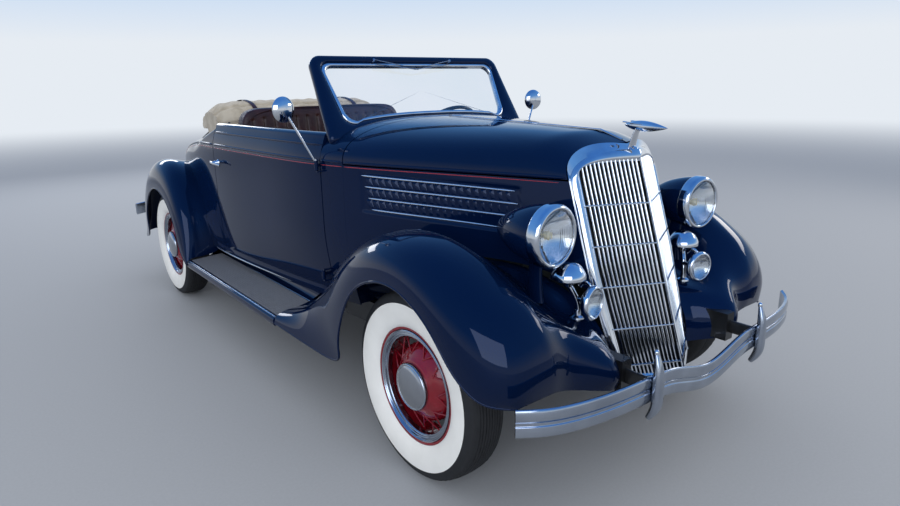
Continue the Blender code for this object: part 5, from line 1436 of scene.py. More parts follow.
def moulding(path: np.ndarray, width: float, proud: float) -> Form:
    """A half-round strip along a line on the skin, its ends drawn to a point."""
    ends = np.clip(np.minimum(np.arange(len(path)), np.arange(len(path))[::-1]) / 2 + 0.35, 0, 1)
    return swept(path, disc(1.0, 14) * (proud, width / 2), scale=ends)


def belt(stations: np.ndarray) -> Form:
    """The moulding along the belt."""
    return moulding(skin_line(stations, BELT_Z + 0.006), 0.013, 0.0045)


def pinstripe(name: str, stations: np.ndarray, bodies: str) -> None:
    """Adds the red line under the belt on both sides."""
    line = moulding(skin_line(stations, BELT_Z - 0.0125, 0.0002), 0.0034, 0.0008)
    both(name, line, STRIPE, bodies)


def toed_in(form: Form, centre: Sequence[float], degrees: float) -> Form:
    """Turns a lamp's part inwards about the upright through its centre."""
    to_centre = Matrix.Translation(centre)
    return form.moved(to_centre @ Matrix.Rotation(-math.radians(degrees), 4,
                                                  "Z") @ to_centre.inverted())


def both(name: str, form: Form, finish: Finish, bodies: str = "chassis", slot: str = "",
         replaces: str = "", bevel: float = 0.0, sharp: float = SHARP_ANGLE) -> None:
    """Adds a piece on the car's left and its mirror image on the right.

    Args:
        name: The piece's name, less its side.
        form: The form on the left.
        finish: Its finish.
        bodies: The body's name, less its side, or chassis.
        slot: Passed on to add_piece, which doesn't use it.
        replaces: The solid that it stands for, less its side.
        bevel: Width of the rounding along sharp edges.
        sharp: Angle in degrees above which an edge is sharp.
    """
    for side in Side:
        body = bodies if bodies == "chassis" else f"{bodies}_{side.label}"
        solids = (f"{replaces}_{side.label}",) if replaces else ()
        add_piece(f"{name}_{side.label}", form.on(side), finish, body, slot=slot, replaces=solids,
                  bevel=bevel, sharp=sharp)


@dataclass
class Hood:
    """The engine's hood: two hinged tops, and fixed sides with louvres and plated strips."""

    sheet: float = 0.004
    rows: int = 64
    rounds: int = 36
    split: float = 0.0053
    strip_heights: tuple[float, ...] = (1.043, 0.996, 0.948, 0.900)
    strip_front: float = -0.070
    strip_rear: float = 0.615
    strip_step: float = 0.016
    strip_fall: float = 0.013
    louvre_count: int = 20
    louvre_lean: float = 0.30
    recess: float = 0.005

    def front_station(self, gap: float) -> Callable[[np.ndarray, np.ndarray, np.ndarray],
                                                    np.ndarray]:
        """How each row leans to meet the shell: the front gap times (1 - s)^1.5."""
        edge = float(grille_edge_y(BELT_Z))
        return lambda share, x, z: (1 - share) ** 1.5 * (shell_back_y(x, z) + gap - edge)

    def top(self) -> Form:
        """One hinged top, from the centre rod to the belt.

        Returns:
            The left top.
        """
        edge, rear = float(grille_edge_y(BELT_Z)), HOOD_REAR_Y - SHUT_GAP
        lean = self.front_station(2 * SHUT_GAP)
        share = np.linspace(0, 1, self.rows)[:, None] * np.ones((1, self.rounds))
        y = edge + share * (rear - edge)
        ridge = read_line(RIDGE_LINE, y + lean(share, 0.0, np.full_like(y, 1.2)))
        turn = np.linspace(0, math.pi / 2, self.rounds)[None] * np.ones((self.rows, 1))
        x, z = arch_point(y, turn, ridge)
        grid = np.stack([np.maximum(x, self.split), y + lean(share, x, z), z], 2)
        return panel(grid, self.sheet, upright=True)

    def side(self) -> Form:
        """One fixed side, from the belt to above the fender, its louvred panel pressed in.

        Returns:
            The left side.
        """
        edge, rear = float(grille_edge_y(BELT_Z)), HOOD_REAR_Y + SHUT_GAP - 0.0005
        lean = self.front_station(0.001)
        share = np.linspace(0, 1, 140)[:, None] * np.ones((1, 60))
        y = edge + share * (rear - edge)
        inner = np.array([row[2] for row in FRONT_FENDER[3:12]])
        foot = spline(inner[:, 1], inner[:, 2], y[:, 0])[:, 0] + 0.010
        z = (BELT_Z - 0.006) + (foot[:, None] - BELT_Z + 0.006) * np.linspace(0, 1, 60)[None]
        x = half_width(y, z)
        station = y + lean(share, x, z)
        low, high = (self.strip_height(number, station) for number in (-1, 0))
        within = np.minimum(np.minimum(station - self.strip_front + 0.022,
                                       self.strip_rear + 0.012 - station),
                            np.minimum(z - low + 0.018, high + 0.018 - z))
        ramp = np.clip(within / 0.010, 0, 1)
        x = x - self.recess * ramp**2 * (3 - 2 * ramp)
        return panel(np.stack([x, station, z], 2), self.sheet, upright=True)

    def strip_height(self, number: int, stations: Any) -> Any:
        """Height of a strip: level at its rear end, falling by strip_fall towards the nose."""
        drop = self.strip_fall * (self.strip_rear - stations) / (self.strip_rear - self.strip_front)
        return self.strip_heights[number] - drop

    def louvres(self) -> Form:
        """Rows of pressed louvres between the strips, leaning back like the grille.

        Each swells by sin(pi u / 2) towards its open rear edge and by sin(pi v)^0.16 up its height.

        Returns:
            All the louvres of the left side.
        """
        forms = []
        u, v = np.meshgrid(np.linspace(0, 1, 6), np.linspace(0, 1, 9), indexing="ij")
        for number in range(len(self.strip_heights) - 1):
            for place in np.linspace(self.strip_front + 0.006, self.strip_rear - 0.055,
                                     self.louvre_count):
                high, low = (self.strip_height(row, place) for row in (number, number + 1))
                z = low + 0.003 + (high - low - 0.006) * v
                y = place + 0.020 * u + self.louvre_lean * (z - low)
                swell = 0.0092 * np.sin(math.pi * v) ** 0.16 * np.sin(0.5 * math.pi * u)
                x = half_width(y, z) - self.recess + 0.0008 + swell
                forms.append(panel(np.stack([x, y, z], 2), 0.0022, inward=(-1, 0, 0)))
        return joined(forms)

    def strips(self) -> Form:
        """The plated strips, each a little shorter at the rear than the one above.

        Returns:
            The left side's strips.
        """
        forms = []
        for number in range(len(self.strip_heights)):
            front = self.strip_front - 0.012 * min(number, 1) - 0.06 * max(number - 1, 0)
            stations = np.linspace(front, self.strip_rear - number * self.strip_step, 40)
            forms.append(moulding(skin_line(stations, self.strip_height(number, stations), 0.0026),
                                  0.0078, 0.0052))
        return joined(forms)

    def build(self) -> None:
        """Builds the hood's pieces."""
        both("hood_top", self.top(), NAVY, "hood", replaces="hood", sharp=50)
        both("hood_flank", self.side(), NAVY, replaces="hood_side", sharp=50)
        both("hood_louvres", self.louvres(), NAVY, sharp=50)
        both("hood_strips", self.strips(), BRIGHT)
        front = float(grille_edge_y(BELT_Z)) + 0.012
        stations = np.linspace(front, HOOD_REAR_Y - 2 * SHUT_GAP, 60)
        both("hood_belt", belt(stations), NAVY, "hood")
        pinstripe("hood_pinstripe", stations, "chassis")


@dataclass
class Cowl:
    """Scuttle, firewall and the raked windscreen with its two frames."""

    sheet: float = 0.006
    rake: float = math.radians(31.5)
    base_y: float = 0.835
    base_z: float = 1.227
    height: float = 0.385
    top_half: float = 0.572
    depth: float = 0.045
    corner_steps: int = 12

    def point(self, x: np.ndarray, rise: np.ndarray, depth: Any) -> np.ndarray:
        """A point of the screen's raked plane: x across, rise up the glass, depth behind it.

        Args:
            x: Distance across.
            rise: Distance up the glass.
            depth: Distance behind it.

        Returns:
            The points.
        """
        y = self.base_y + rise * math.sin(self.rake) + depth * math.cos(self.rake)
        z = self.base_z + rise * math.cos(self.rake) - depth * math.sin(self.rake)
        return np.stack([x, y, z], -1)

    def outline(self, low_half: float, high_half: float, low: float, high: float, low_radius: float,
                high_radius: float, crown: float = 0.0) -> np.ndarray:
        """Outline with round corners, its lower edge crowned by 1 - |x / h|^2.5.

        Args:
            low_half: Half width at the foot.
            high_half: Half width at the top.
            low: Height of the foot.
            high: Height of the top.
            low_radius: Radius of the lower corners.
            high_radius: Radius of the upper corners.
            crown: Height of the lower edge's crown.

        Returns:
            Pairs of a distance across and a rise.
        """
        steps = self.corner_steps
        lower = np.linspace(-math.pi / 2, 0, steps)
        upper = np.linspace(0, math.pi / 2, steps)
        a = np.stack([low_half - low_radius * (1 - np.cos(lower)),
                      low + low_radius * (1 + np.sin(lower))], 1)
        b = np.stack([high_half - high_radius * (1 - np.cos(upper)),
                      high - high_radius * (1 - np.sin(upper))], 1)
        middle = a[-1] + (b[0] - a[-1]) * np.linspace(0, 1, 8)[1:-1, None]
        top = np.linspace(b[-1, 0], 0, 14)[1:]
        over = np.stack([top, np.full(13, high)], 1)
        half = np.concatenate([a, middle, b, over])
        left = half[-2::-1] * (-1, 1)
        x = np.linspace(-low_half + low_radius, low_half - low_radius, 26)[1:-1]
        base = np.stack([x, low + crown * (1 - np.abs(x / low_half) ** 2.5)], 1)
        return np.concatenate([half, left, base])

    def opening(self, margin: float = 0.0) -> np.ndarray:
        """Outline of the glass opening, smaller by the margin."""
        return self.outline(0.500 - margin, 0.526 - margin, 0.022 + margin, 0.345 - margin, 0.06,
                            0.045, 0.036)

    def ring(self, inner: np.ndarray, outer: np.ndarray,
             section: Sequence[tuple[float, float]]) -> Form:
        """A frame between two outlines in the screen's plane.

        Args:
            inner: The inner outline.
            outer: The outer outline.
            section: Pairs of a share from inner to outer and a depth.

        Returns:
            The closed frame.
        """
        rows = []
        for share, depth in section:
            flat = inner + (outer - inner) * share
            rows.append(self.point(flat[:, 0], flat[:, 1], depth))
        return lattice(np.array(rows), wrap_rows=True, wrap_columns=True)

    def shell(self) -> Form:
        """The scuttle's skin over the top and down both sides to the sill.

        Returns:
            The closed skin.
        """
        rows = []
        for y in np.linspace(HOOD_REAR_Y + SHUT_GAP, DOOR_FRONT_Y - SHUT_GAP, 14):
            turn = np.linspace(0, math.pi / 2, 36)
            x, z = arch_point(np.full(36, y), turn, np.full(36, float(read_line(RIDGE_LINE, y))))
            down = np.linspace(BELT_Z, SILL_Z, 30)[1:]
            half = np.stack([np.concatenate([x, half_width(np.full(29, y), down)]), np.full(65, y),
                             np.concatenate([z, down])], 1)
            rows.append(np.concatenate([half[:0:-1] * (-1, 1, 1), half]))
        return panel(np.array(rows), self.sheet, upright=True)

    def firewall(self) -> Form:
        """The painted bulkhead behind the engine.

        Returns:
            The bulkhead.
        """
        y = HOOD_REAR_Y + SHUT_GAP + 0.012
        turn = np.linspace(-math.pi / 2, math.pi / 2, 41)
        x, z = arch_point(np.full(41, y), np.abs(turn),
                          np.full(41, float(read_line(RIDGE_LINE, y))))
        loop = np.stack([np.sign(turn) * x * 0.985, np.full(41, y), z - 0.008], 1)
        down = np.array([(half_width(y, SILL_Z) * 0.985, y, SILL_Z + 0.002)])
        loop = np.concatenate([down * (-1, 1, 1), loop, down])
        return lattice(np.stack([loop, loop + (0, 0.018, 0)]), wrap_columns=True, caps=True)

    def leaves(self) -> Form:
        """The fixed leaves of the door hinges, either side of each barrel.

        Returns:
            The leaves of both sides.
        """
        forms = []
        for height, sides in ((0.560, (-1, 1)), (1.070, (-1,))):
            for up in sides:
                z = sorted((height + up * 0.0226, height + up * 0.029))
                skin = float(half_width(DOOR_FRONT_Y, height))
                forms.append(block((skin - 0.016, DOOR_FRONT_Y - 0.019, z[0]),
                                   (0.660, DOOR_FRONT_Y - 0.007, z[1])))
        return joined([form.on(side) for side in Side for form in forms])

    def wipers(self) -> Form:
        """Two wipers parked along the top edge, each an arm and a thin blade.

        Returns:
            Both wipers.
        """
        forms = []
        for sign in (-1, 1):
            hub = self.point(np.array([sign * 0.235]), np.array([0.352]), -0.012)[0]
            forms.append(tube([hub + (0, 0.016, -0.008), hub], 0.007, 12, up=ACROSS))
            tip = self.point(np.array([sign * 0.070]), np.array([0.318]), -0.012)[0]
            forms.append(swept([hub, tip], plank(0.003, 0.007, 0.001), up=REARWARD))
            ends = self.point(np.array([sign * 0.225, -sign * 0.010]), np.array([0.330, 0.300]),
                              -0.008)
            forms.append(swept(ends, plank(0.004, 0.009, 0.0015), up=REARWARD))
        return joined(forms)

    def build(self) -> None:
        """Builds the cowl's and the windscreen's pieces."""
        add_piece("cowl_skin", joined((self.shell(), self.leaves())), NAVY, replaces=("cowl",),
                  sharp=45)
        add_piece("firewall", self.firewall(), NAVY, sharp=45)
        outer = self.outline(0.600, self.top_half, -0.060, self.height, 0.02, 0.055)
        frame = ((0.0, 0.010), (0.06, 0.003), (0.2, -0.002), (0.5, -0.004), (0.8, -0.001),
                 (0.94, 0.006), (1.0, 0.018), (1.0, 0.030), (0.94, 0.040), (0.8, self.depth),
                 (0.2, self.depth), (0.05, 0.041), (0.0, 0.034))
        add_piece("screen_frame", self.ring(self.opening(), outer, frame), NAVY, sharp=60)
        bright = ((0.0, 0.014), (0.12, 0.0065), (0.5, 0.0035), (0.88, 0.0055), (1.0, 0.011),
                  (1.0, 0.030), (0.0, 0.030))
        add_piece("screen_bright_frame",
                  self.ring(self.opening(0.017), self.opening(-0.001), bright), CHROME, sharp=60)
        add_piece("wipers", self.wipers(), DULL_CHROME)
        stations = np.linspace(HOOD_REAR_Y + 2 * SHUT_GAP, DOOR_FRONT_Y - 2 * SHUT_GAP, 12)
        both("cowl_belt", belt(stations), NAVY)
        pinstripe("cowl_pinstripe", stations, "chassis")


@dataclass
class Doors:
    """Front-hung doors with a rolled top, belt mouldings, outside hinges, handle and mirror."""

    thickness: float = 0.060
    roll: float = 0.016
    hinge_x: float = 0.655
    hinge_heights: tuple[float, ...] = (0.560, 1.070)
    handle_z: float = 0.990
    rail_z: float = 1.160

    def slab(self) -> Form:
        """The door as one closed slab, with half an ellipse over the top.

        Returns:
            The left slab.
        """
        stations = np.linspace(DOOR_FRONT_Y + SHUT_GAP, DOOR_REAR_Y - SHUT_GAP, 60)
        z = np.concatenate([np.linspace(DOOR_BOTTOM_Z, 0.8, 18)[:-1],
                            np.linspace(0.8, DOOR_TOP_Z - self.roll, 24)])
        turn = np.linspace(0, math.pi, 16)[1:-1]
        rings = []
        for y in stations:
            x = half_width(np.full(len(z), y), z)
            half = self.thickness / 2
            over = np.stack([x[-1] - half + half * np.cos(turn),
                             DOOR_TOP_Z - self.roll + self.roll * np.sin(turn)], 1)
            inner = np.stack([x - self.thickness, z], 1)[::-1]
            loop = np.concatenate([np.stack([x, z], 1), over, inner])
            rings.append(np.stack([loop[:, 0], np.full(len(loop), y), loop[:, 1]], 1))
        return lattice(np.array(rings), wrap_columns=True, caps=True)

    def hinges(self) -> Form:
        """The moving half of each outside hinge.

        Returns:
            The left door's hinges.
        """
        y, forms = DOOR_FRONT_Y - 0.004, []
        for height in self.hinge_heights:
            barrel = [(-0.022, 0.0065), (-0.0205, 0.0088), (0.0205, 0.0088), (0.022, 0.0065)]
            forms.append(lathe(barrel, 24, (self.hinge_x, y, height), UPWARD))
            skin = float(half_width(DOOR_FRONT_Y, height))
            forms.append(block((skin - 0.020, DOOR_FRONT_Y + 0.004, height - 0.007),
                               (self.hinge_x + 0.002, DOOR_FRONT_Y + 0.014, height + 0.007)))
            forms.append(block((self.hinge_x - 0.003, y, height - 0.007),
                               (self.hinge_x + 0.003, DOOR_FRONT_Y + 0.012, height + 0.007)))
        return joined(forms)

    def mirror(self) -> Form:
        """The plated mirror on its slim arm: a shallow round head.

        Returns:
            The left mirror.
        """
        y = DOOR_FRONT_Y - 0.004
        foot = (self.hinge_x, y + 0.002, 1.085)
        arm = smooth((foot, (0.672, 0.872, 1.120), (0.762, 0.898, 1.300)), 20)
        head = smooth(((-0.020, 0.0006), (-0.017, 0.022), (-0.009, 0.042), (0.002, 0.0535),
                       (0.006, 0.0558), (0.010, 0.0552), (0.0105, 0.0500)), 24).tolist()
        centre, aim = (0.768, 0.903, 1.318), (0.2, 1, 0)
        return joined((tube(arm, 0.0052, 12, up=REARWARD),
                       lathe(head + [(0.0095, 0.0006)], 40, centre, aim),
                       lathe([(-0.014, 0.008), (0.012, 0.008)], 16, (foot[0], foot[1], 1.088),
                             UPWARD)))

    def handle(self) -> Form:
        """The outside handle: a boss on the skin and a tapered lever.

        Returns:
            The left handle.
        """
        y, z = DOOR_REAR_Y - 0.065, self.handle_z
        skin = float(half_width(y, z))
        boss = lathe([(-0.004, 0.019), (0.003, 0.018), (0.007, 0.012), (0.036, 0.0085)], 24,
                     (skin, y, z))
        lever = smooth(((skin + 0.037, y + 0.018, z), (skin + 0.040, y - 0.020, z),
                        (skin + 0.036, y - 0.070, z - 0.002),
                        (skin + 0.030, y - 0.108, z - 0.006)), 20)
        return joined((boss, swept(lever, disc(0.0085, 14) * (0.62, 1.15),
                                   scale=np.linspace(1.15, 0.70, 20))))

    def lining(self) -> Form:
        """The leather lining inside, swelling a little over its padding.

        Returns:
            The left lining.
        """
        y, z = np.meshgrid(np.linspace(DOOR_FRONT_Y + 0.040, DOOR_REAR_Y - 0.045, 40),
                           np.linspace(0.505, 1.165, 26), indexing="ij")
        u, v = np.linspace(0, 1, 40)[:, None], np.linspace(0, 1, 26)[None]
        puff = 0.006 * (np.sin(math.pi * u) * np.sin(math.pi * v)) ** 0.35
        pleat = 0.0012 * np.abs(np.cos(10 * math.pi * u)) ** 6 * (v > 0.45)
        grid = np.stack([half_width(y, z) - self.thickness - 0.001 - puff + pleat, y, z], 2)
        return panel(grid, 0.0008, inward=ACROSS)

    def fittings(self) -> Form:
        """Inside lever and window winder, plain plated ones.

        Returns:
            The left door's fittings.
        """
        forms = []
        for y, z, reach in ((1.800, 0.985, 0.080), (1.450, 0.930, 0.095)):
            x = float(half_width(y, z)) - self.thickness - 0.006
            forms.append(lathe([(0.0, 0.017), (-0.006, 0.016), (-0.010, 0.008), (-0.026, 0.007)],
                               20, (x, y, z)))
            forms.append(swept([(x - 0.024, y, z), (x - 0.026, y - reach, z - 0.012)],
                               disc(0.006, 10) * (0.6, 1.2)))
            forms.append(lathe([(0, 0.0085), (-0.018, 0.0095), (-0.022, 0.004)], 16,
                               (x - 0.026, y - reach, z - 0.012)))
        return joined(forms)

    def build(self) -> None:
        """Builds both doors."""
        both("door_slab", joined((self.slab(), self.hinges())), NAVY, "door", replaces="door",
             bevel=0.002)
        both("door_mirror", self.mirror(), CHROME, "door", sharp=50)
        both("door_handle", self.handle(), CHROME, "door", sharp=50)
        both("door_lining", self.lining(), LEATHER, "door")
        both("door_fittings", self.fittings(), CHROME, "door")
        stations = np.linspace(DOOR_FRONT_Y + 0.006, DOOR_REAR_Y - 0.006, 50)
        rail = moulding(skin_line(stations, self.rail_z), 0.016, 0.0045)
        both("door_belts", joined((belt(stations), rail)), NAVY, "door")
        pinstripe("door_pinstripe", stations, "door")
        strip = moulding(skin_line(np.linspace(1.012, DOOR_REAR_Y + 0.20, 50), SILL_Z + 0.006,
                                   0.0010), 0.012, 0.0055)
        both("sill_strip", strip, BRIGHT)
        sill = moulding(skin_line(np.linspace(0.940, DOOR_REAR_Y + 0.20, 50), SILL_Z + 0.026, 0.0),
                        0.054, 0.0030)
        both("sill_panel", sill, NAVY)


def body_half(y: Any, z: Any) -> np.ndarray:
    """Half width of the rear body: its side's, and the deck's arch above the shoulder.

    Args:
        y: Stations.
        z: Heights, of the same shape.

    Returns:
        Half widths.
    """
    y, z = np.broadcast_arrays(np.asarray(y, float), np.asarray(z, float))
    low, top = shoulder_height(y), deck_height(y)
    rise = np.clip((z - low) / np.maximum(top - low, 1e-6), 0, 1)
    arch = half_width(y, low) * (1 - rise ** (1 / DECK_POWER)) ** 0.4
    return np.where(z <= low, half_width(y, z), arch)


@dataclass
class RearBody:
    """Quarters, tail and deck in one shell, the rumble seat's lid and the tail lamps."""

    wall: float = 0.030
    lid_half: float = 0.400
    lid_front: float = 2.745
    lid_rear: float = 3.290
    lid_gap: float = 0.006
    hinge_x: float = 0.200
    tail_y: float = REAR_AXLE_Y + 0.680
    lamp: tuple[float, float, float] = (0.700, REAR_AXLE_Y + 0.560, 0.690)

    def rings(self, front: float, rear: float, count: int, grow: float = 0.0) -> np.ndarray:
        """Cross-sections of side and deck: x = w cos(t)^0.8, z by sin(t)^0.85.

        Args:
            front: First station.
            rear: Last station.
            count: Number of sections, closer together towards the tail.
            grow: Distance outwards, negative for the inside.

        Returns:
            Rows of points, each row one closed section.
        """
        share = np.linspace(0, 1, count)
        stations = front + (rear - front) * (1 - (1 - share) ** 1.35)
        turn = np.linspace(0, math.pi / 2, 30)
        rows = []
        for y in stations:
            low, top = float(shoulder_height(y)), float(deck_height(y))
            down = np.linspace(SILL_Z, low, 26)[:-1]
            side = np.stack([half_width(np.full(25, y), down), down], 1)
            width = float(half_width(y, low))
            bow = np.stack([width * np.cos(turn) ** ARCH_POWER,
                            low + (top - low) * np.sin(turn) ** 0.85], 1)
            angle = np.r_[np.zeros(25), turn]
            half = np.concatenate([side, bow]) + grow * np.stack([np.cos(angle), np.sin(angle)], 1)
            half[0, 1] -= grow
            half[-1, 0] = 0
            whole = np.concatenate([half, half[-2::-1] * (-1, 1)])
            rows.append(np.stack([whole[:, 0], np.full(len(whole), y), whole[:, 1]], 1))
        return np.array(rows)

    def shell(self) -> bpy.types.Mesh:
        """The tub: a skin less its hollow, axle room, cockpit and the lid's opening.

        Returns:
            The cut tub.
        """
        front, wall = DOOR_REAR_Y + SHUT_GAP, self.wall
        outer = lattice(self.rings(front, self.tail_y, 64), wrap_columns=True, caps=True)
        inner = lattice(self.rings(front - 0.05, self.tail_y - wall, 40, -wall), wrap_columns=True,
                        caps=True)
        hollow = mesh_of(inner, "hollow")
        floors = [block((-1, 0, 0), (1, 4, SILL_Z + 0.015)),
                  block((-1, REAR_AXLE_Y - 0.470, 0), (1, self.tail_y + 0.1, 0.625))]
        hollow = combined(hollow, floors, "DIFFERENCE")
        rail = float(half_width(COCKPIT_REAR_Y, DOOR_TOP_Z)) - RAIL_INSET
        cuts = [block((-1, REAR_AXLE_Y - 0.440, 0.3), (1, self.tail_y + 0.5, 0.610)),
                block((-rail, front - 0.1, 0.9), (rail, COCKPIT_REAR_Y, 1.5)),
                block((-self.lid_half, self.lid_front, 0.80), (self.lid_half, self.lid_rear, 1.5))]
        height = float(deck_height(self.lid_rear))
        cuts += [block((sign * self.hinge_x - 0.024, self.lid_rear - 0.002, height - 0.060),
                       (sign * self.hinge_x + 0.024, self.lid_rear + 0.026, height + 0.050))
                       for sign in (-1, 1)]
        return combined(mesh_of(outer, "outer"), [hollow, *cuts], "DIFFERENCE")

    def coaming(self) -> Form:
        """A rolled bead round the cockpit's edge.

        Returns:
            The bead.
        """
        rail = float(half_width(COCKPIT_REAR_Y, DOOR_TOP_Z)) - RAIL_INSET
        y = np.linspace(DOOR_REAR_Y + 0.006, COCKPIT_REAR_Y, 30)
        side = np.stack([np.full(30, rail), y, deck_surface(np.full(30, rail), y)], 1)
        x = np.linspace(rail, -rail, 40)[1:-1]
        back = np.stack([x, np.full(38, COCKPIT_REAR_Y),
                         deck_surface(x, np.full(38, COCKPIT_REAR_Y))], 1)
        return tube(np.concatenate([side, back, side[::-1] * (-1, 1, 1)]), 0.0075, 12)

    def lid(self) -> Form:
        """The rumble seat's lid, flush with the deck, with its hinge barrels.

        Returns:
            The lid and its barrels.
        """
        x = np.linspace(-self.lid_half + self.lid_gap, self.lid_half - self.lid_gap, 60)
        y = np.linspace(self.lid_front + self.lid_gap, self.lid_rear - self.lid_gap, 44)
        station, across = np.meshgrid(y, x, indexing="ij")
        edge = np.minimum.reduce([across - x[0], x[-1] - across, station - y[0], y[-1] - station])
        roll = 0.004 * (1 - np.sqrt(np.clip(1 - (1 - np.clip(edge / 0.006, 0, 1)) ** 2, 0, 1)))
        skin = np.stack([across, station, deck_surface(across, station) - roll], 2)
        height = float(deck_height(self.lid_rear))
        forms = [panel(skin, 0.018, inward=(0, 0, -1))]
        for sign in (-1, 1):
            middle = sign * self.hinge_x
            forms.append(lathe([(-0.013, 0.0058), (0.013, 0.0058)], 24,
                               (middle, self.lid_rear, height)))
            forms.append(block((middle - 0.013, self.lid_rear - 0.030, height - 0.022),
                               (middle + 0.013, self.lid_rear - 0.001, height + 0.0035)))
        return joined(forms)

    def lugs(self) -> Form:
        """The fixed leaves of the lid's hinges.

        Returns:
            The leaves.
        """
        height, forms = float(deck_height(self.lid_rear)), []
        for sign in (-1, 1):
            for side in (-1, 1):
                near, far = (sign * self.hinge_x + side * (0.013 + reach)
                             for reach in (0.0006, 0.009))
                forms.append(block((min(near, far), self.lid_rear, height - 0.042),
                                   (max(near, far), self.lid_rear + 0.030, height + 0.0048)))
        return joined(forms)

    def side_line(self, lift: float, width: float, proud: float) -> Form:
        """A strip along the quarter at the belt, sweeping down with the tail.

        Args:
            lift: Height above the belt line.
            width: Width of the strip.
            proud: How far it stands off the skin.

        Returns:
            The left strip.
        """
        stations = np.linspace(DOOR_REAR_Y + 0.008, self.tail_y - 0.05, 70)
        rows = ((DOOR_REAR_Y, 1.091), (2.40, 1.084), (2.80, 1.030), (3.15, 0.915), (3.48, 0.715))
        height = read_line(rows, stations) + lift
        return moulding(np.stack([body_half(stations, height) + 0.0005, stations, height], 1),
                        width, proud)

    def tail_lamp(self) -> tuple[Form, Form, Form]:
        """A teardrop lamp on a stalk: its painted body, plated rim and red lens.

        Returns:
            The body, the rim and the lens.
        """
        x, y, z = self.lamp
        body = lathe(smooth(((-0.020, 0.0010), (-0.012, 0.012), (0.015, 0.026), (0.045, 0.036),
                             (0.066, 0.041)), 18), 36, (x, y, z), REARWARD)
        rim = lathe([(0.060, 0.0395), (0.062, 0.0430), (0.068, 0.0445), (0.073, 0.0425),
                     (0.072, 0.0380), (0.062, 0.0375)], 36, (x, y, z), REARWARD, closed=True)
        lens = lathe([(0.062, 0.0372), (0.069, 0.0372), (0.0735, 0.030), (0.0765, 0.018),
                      (0.0775, 0.0006)], 36, (x, y, z), REARWARD)
        stalk = swept(smooth(((x, y - 0.055, z - 0.105), (x, y - 0.030, z - 0.060),
                              (x, y + 0.012, z - 0.010)), 14), disc(0.012, 14) * (0.7, 1.3),
                      up=REARWARD)
        return joined((body, stalk)), rim, lens

    def build(self) -> None:
        """Builds the rear body's pieces."""
        add_piece("rear_tub", self.shell(), NAVY, replaces=("rear_body",))
        add_piece("cockpit_bead", self.coaming(), NAVY)
        add_piece("lid_hinge_leaves", self.lugs(), CHROME)
        add_piece("rumble_lid_panel", self.lid(), NAVY, "rumble_lid", replaces=("rumble_lid",),
                  sharp=50)
        y, z = self.lid_front + 0.050, float(deck_height(self.lid_front + 0.050))
        handle = joined((lathe([(-0.006, 0.018), (0.004, 0.017), (0.014, 0.007), (0.024, 0.007)],
                               24, (0, y, z), UPWARD),
                         swept([(-0.055, y, z + 0.026), (0, y, z + 0.028), (0.055, y, z + 0.026)],
                               disc(0.007, 12) * (1, 0.7))))
        add_piece("rumble_lid_handle", handle, CHROME, "rumble_lid")
        both("quarter_belt", self.side_line(0.0, 0.013, 0.0045), NAVY)
        both("quarter_pinstripe", self.side_line(-0.0185, 0.0034, 0.0008), STRIPE)
        body, rim, lens = self.tail_lamp()
        both("tail_lamp_body", body, NAVY)
        both("tail_lamp_rim", rim, CHROME)
        both("tail_lamp_lens", lens, LENS_RED)


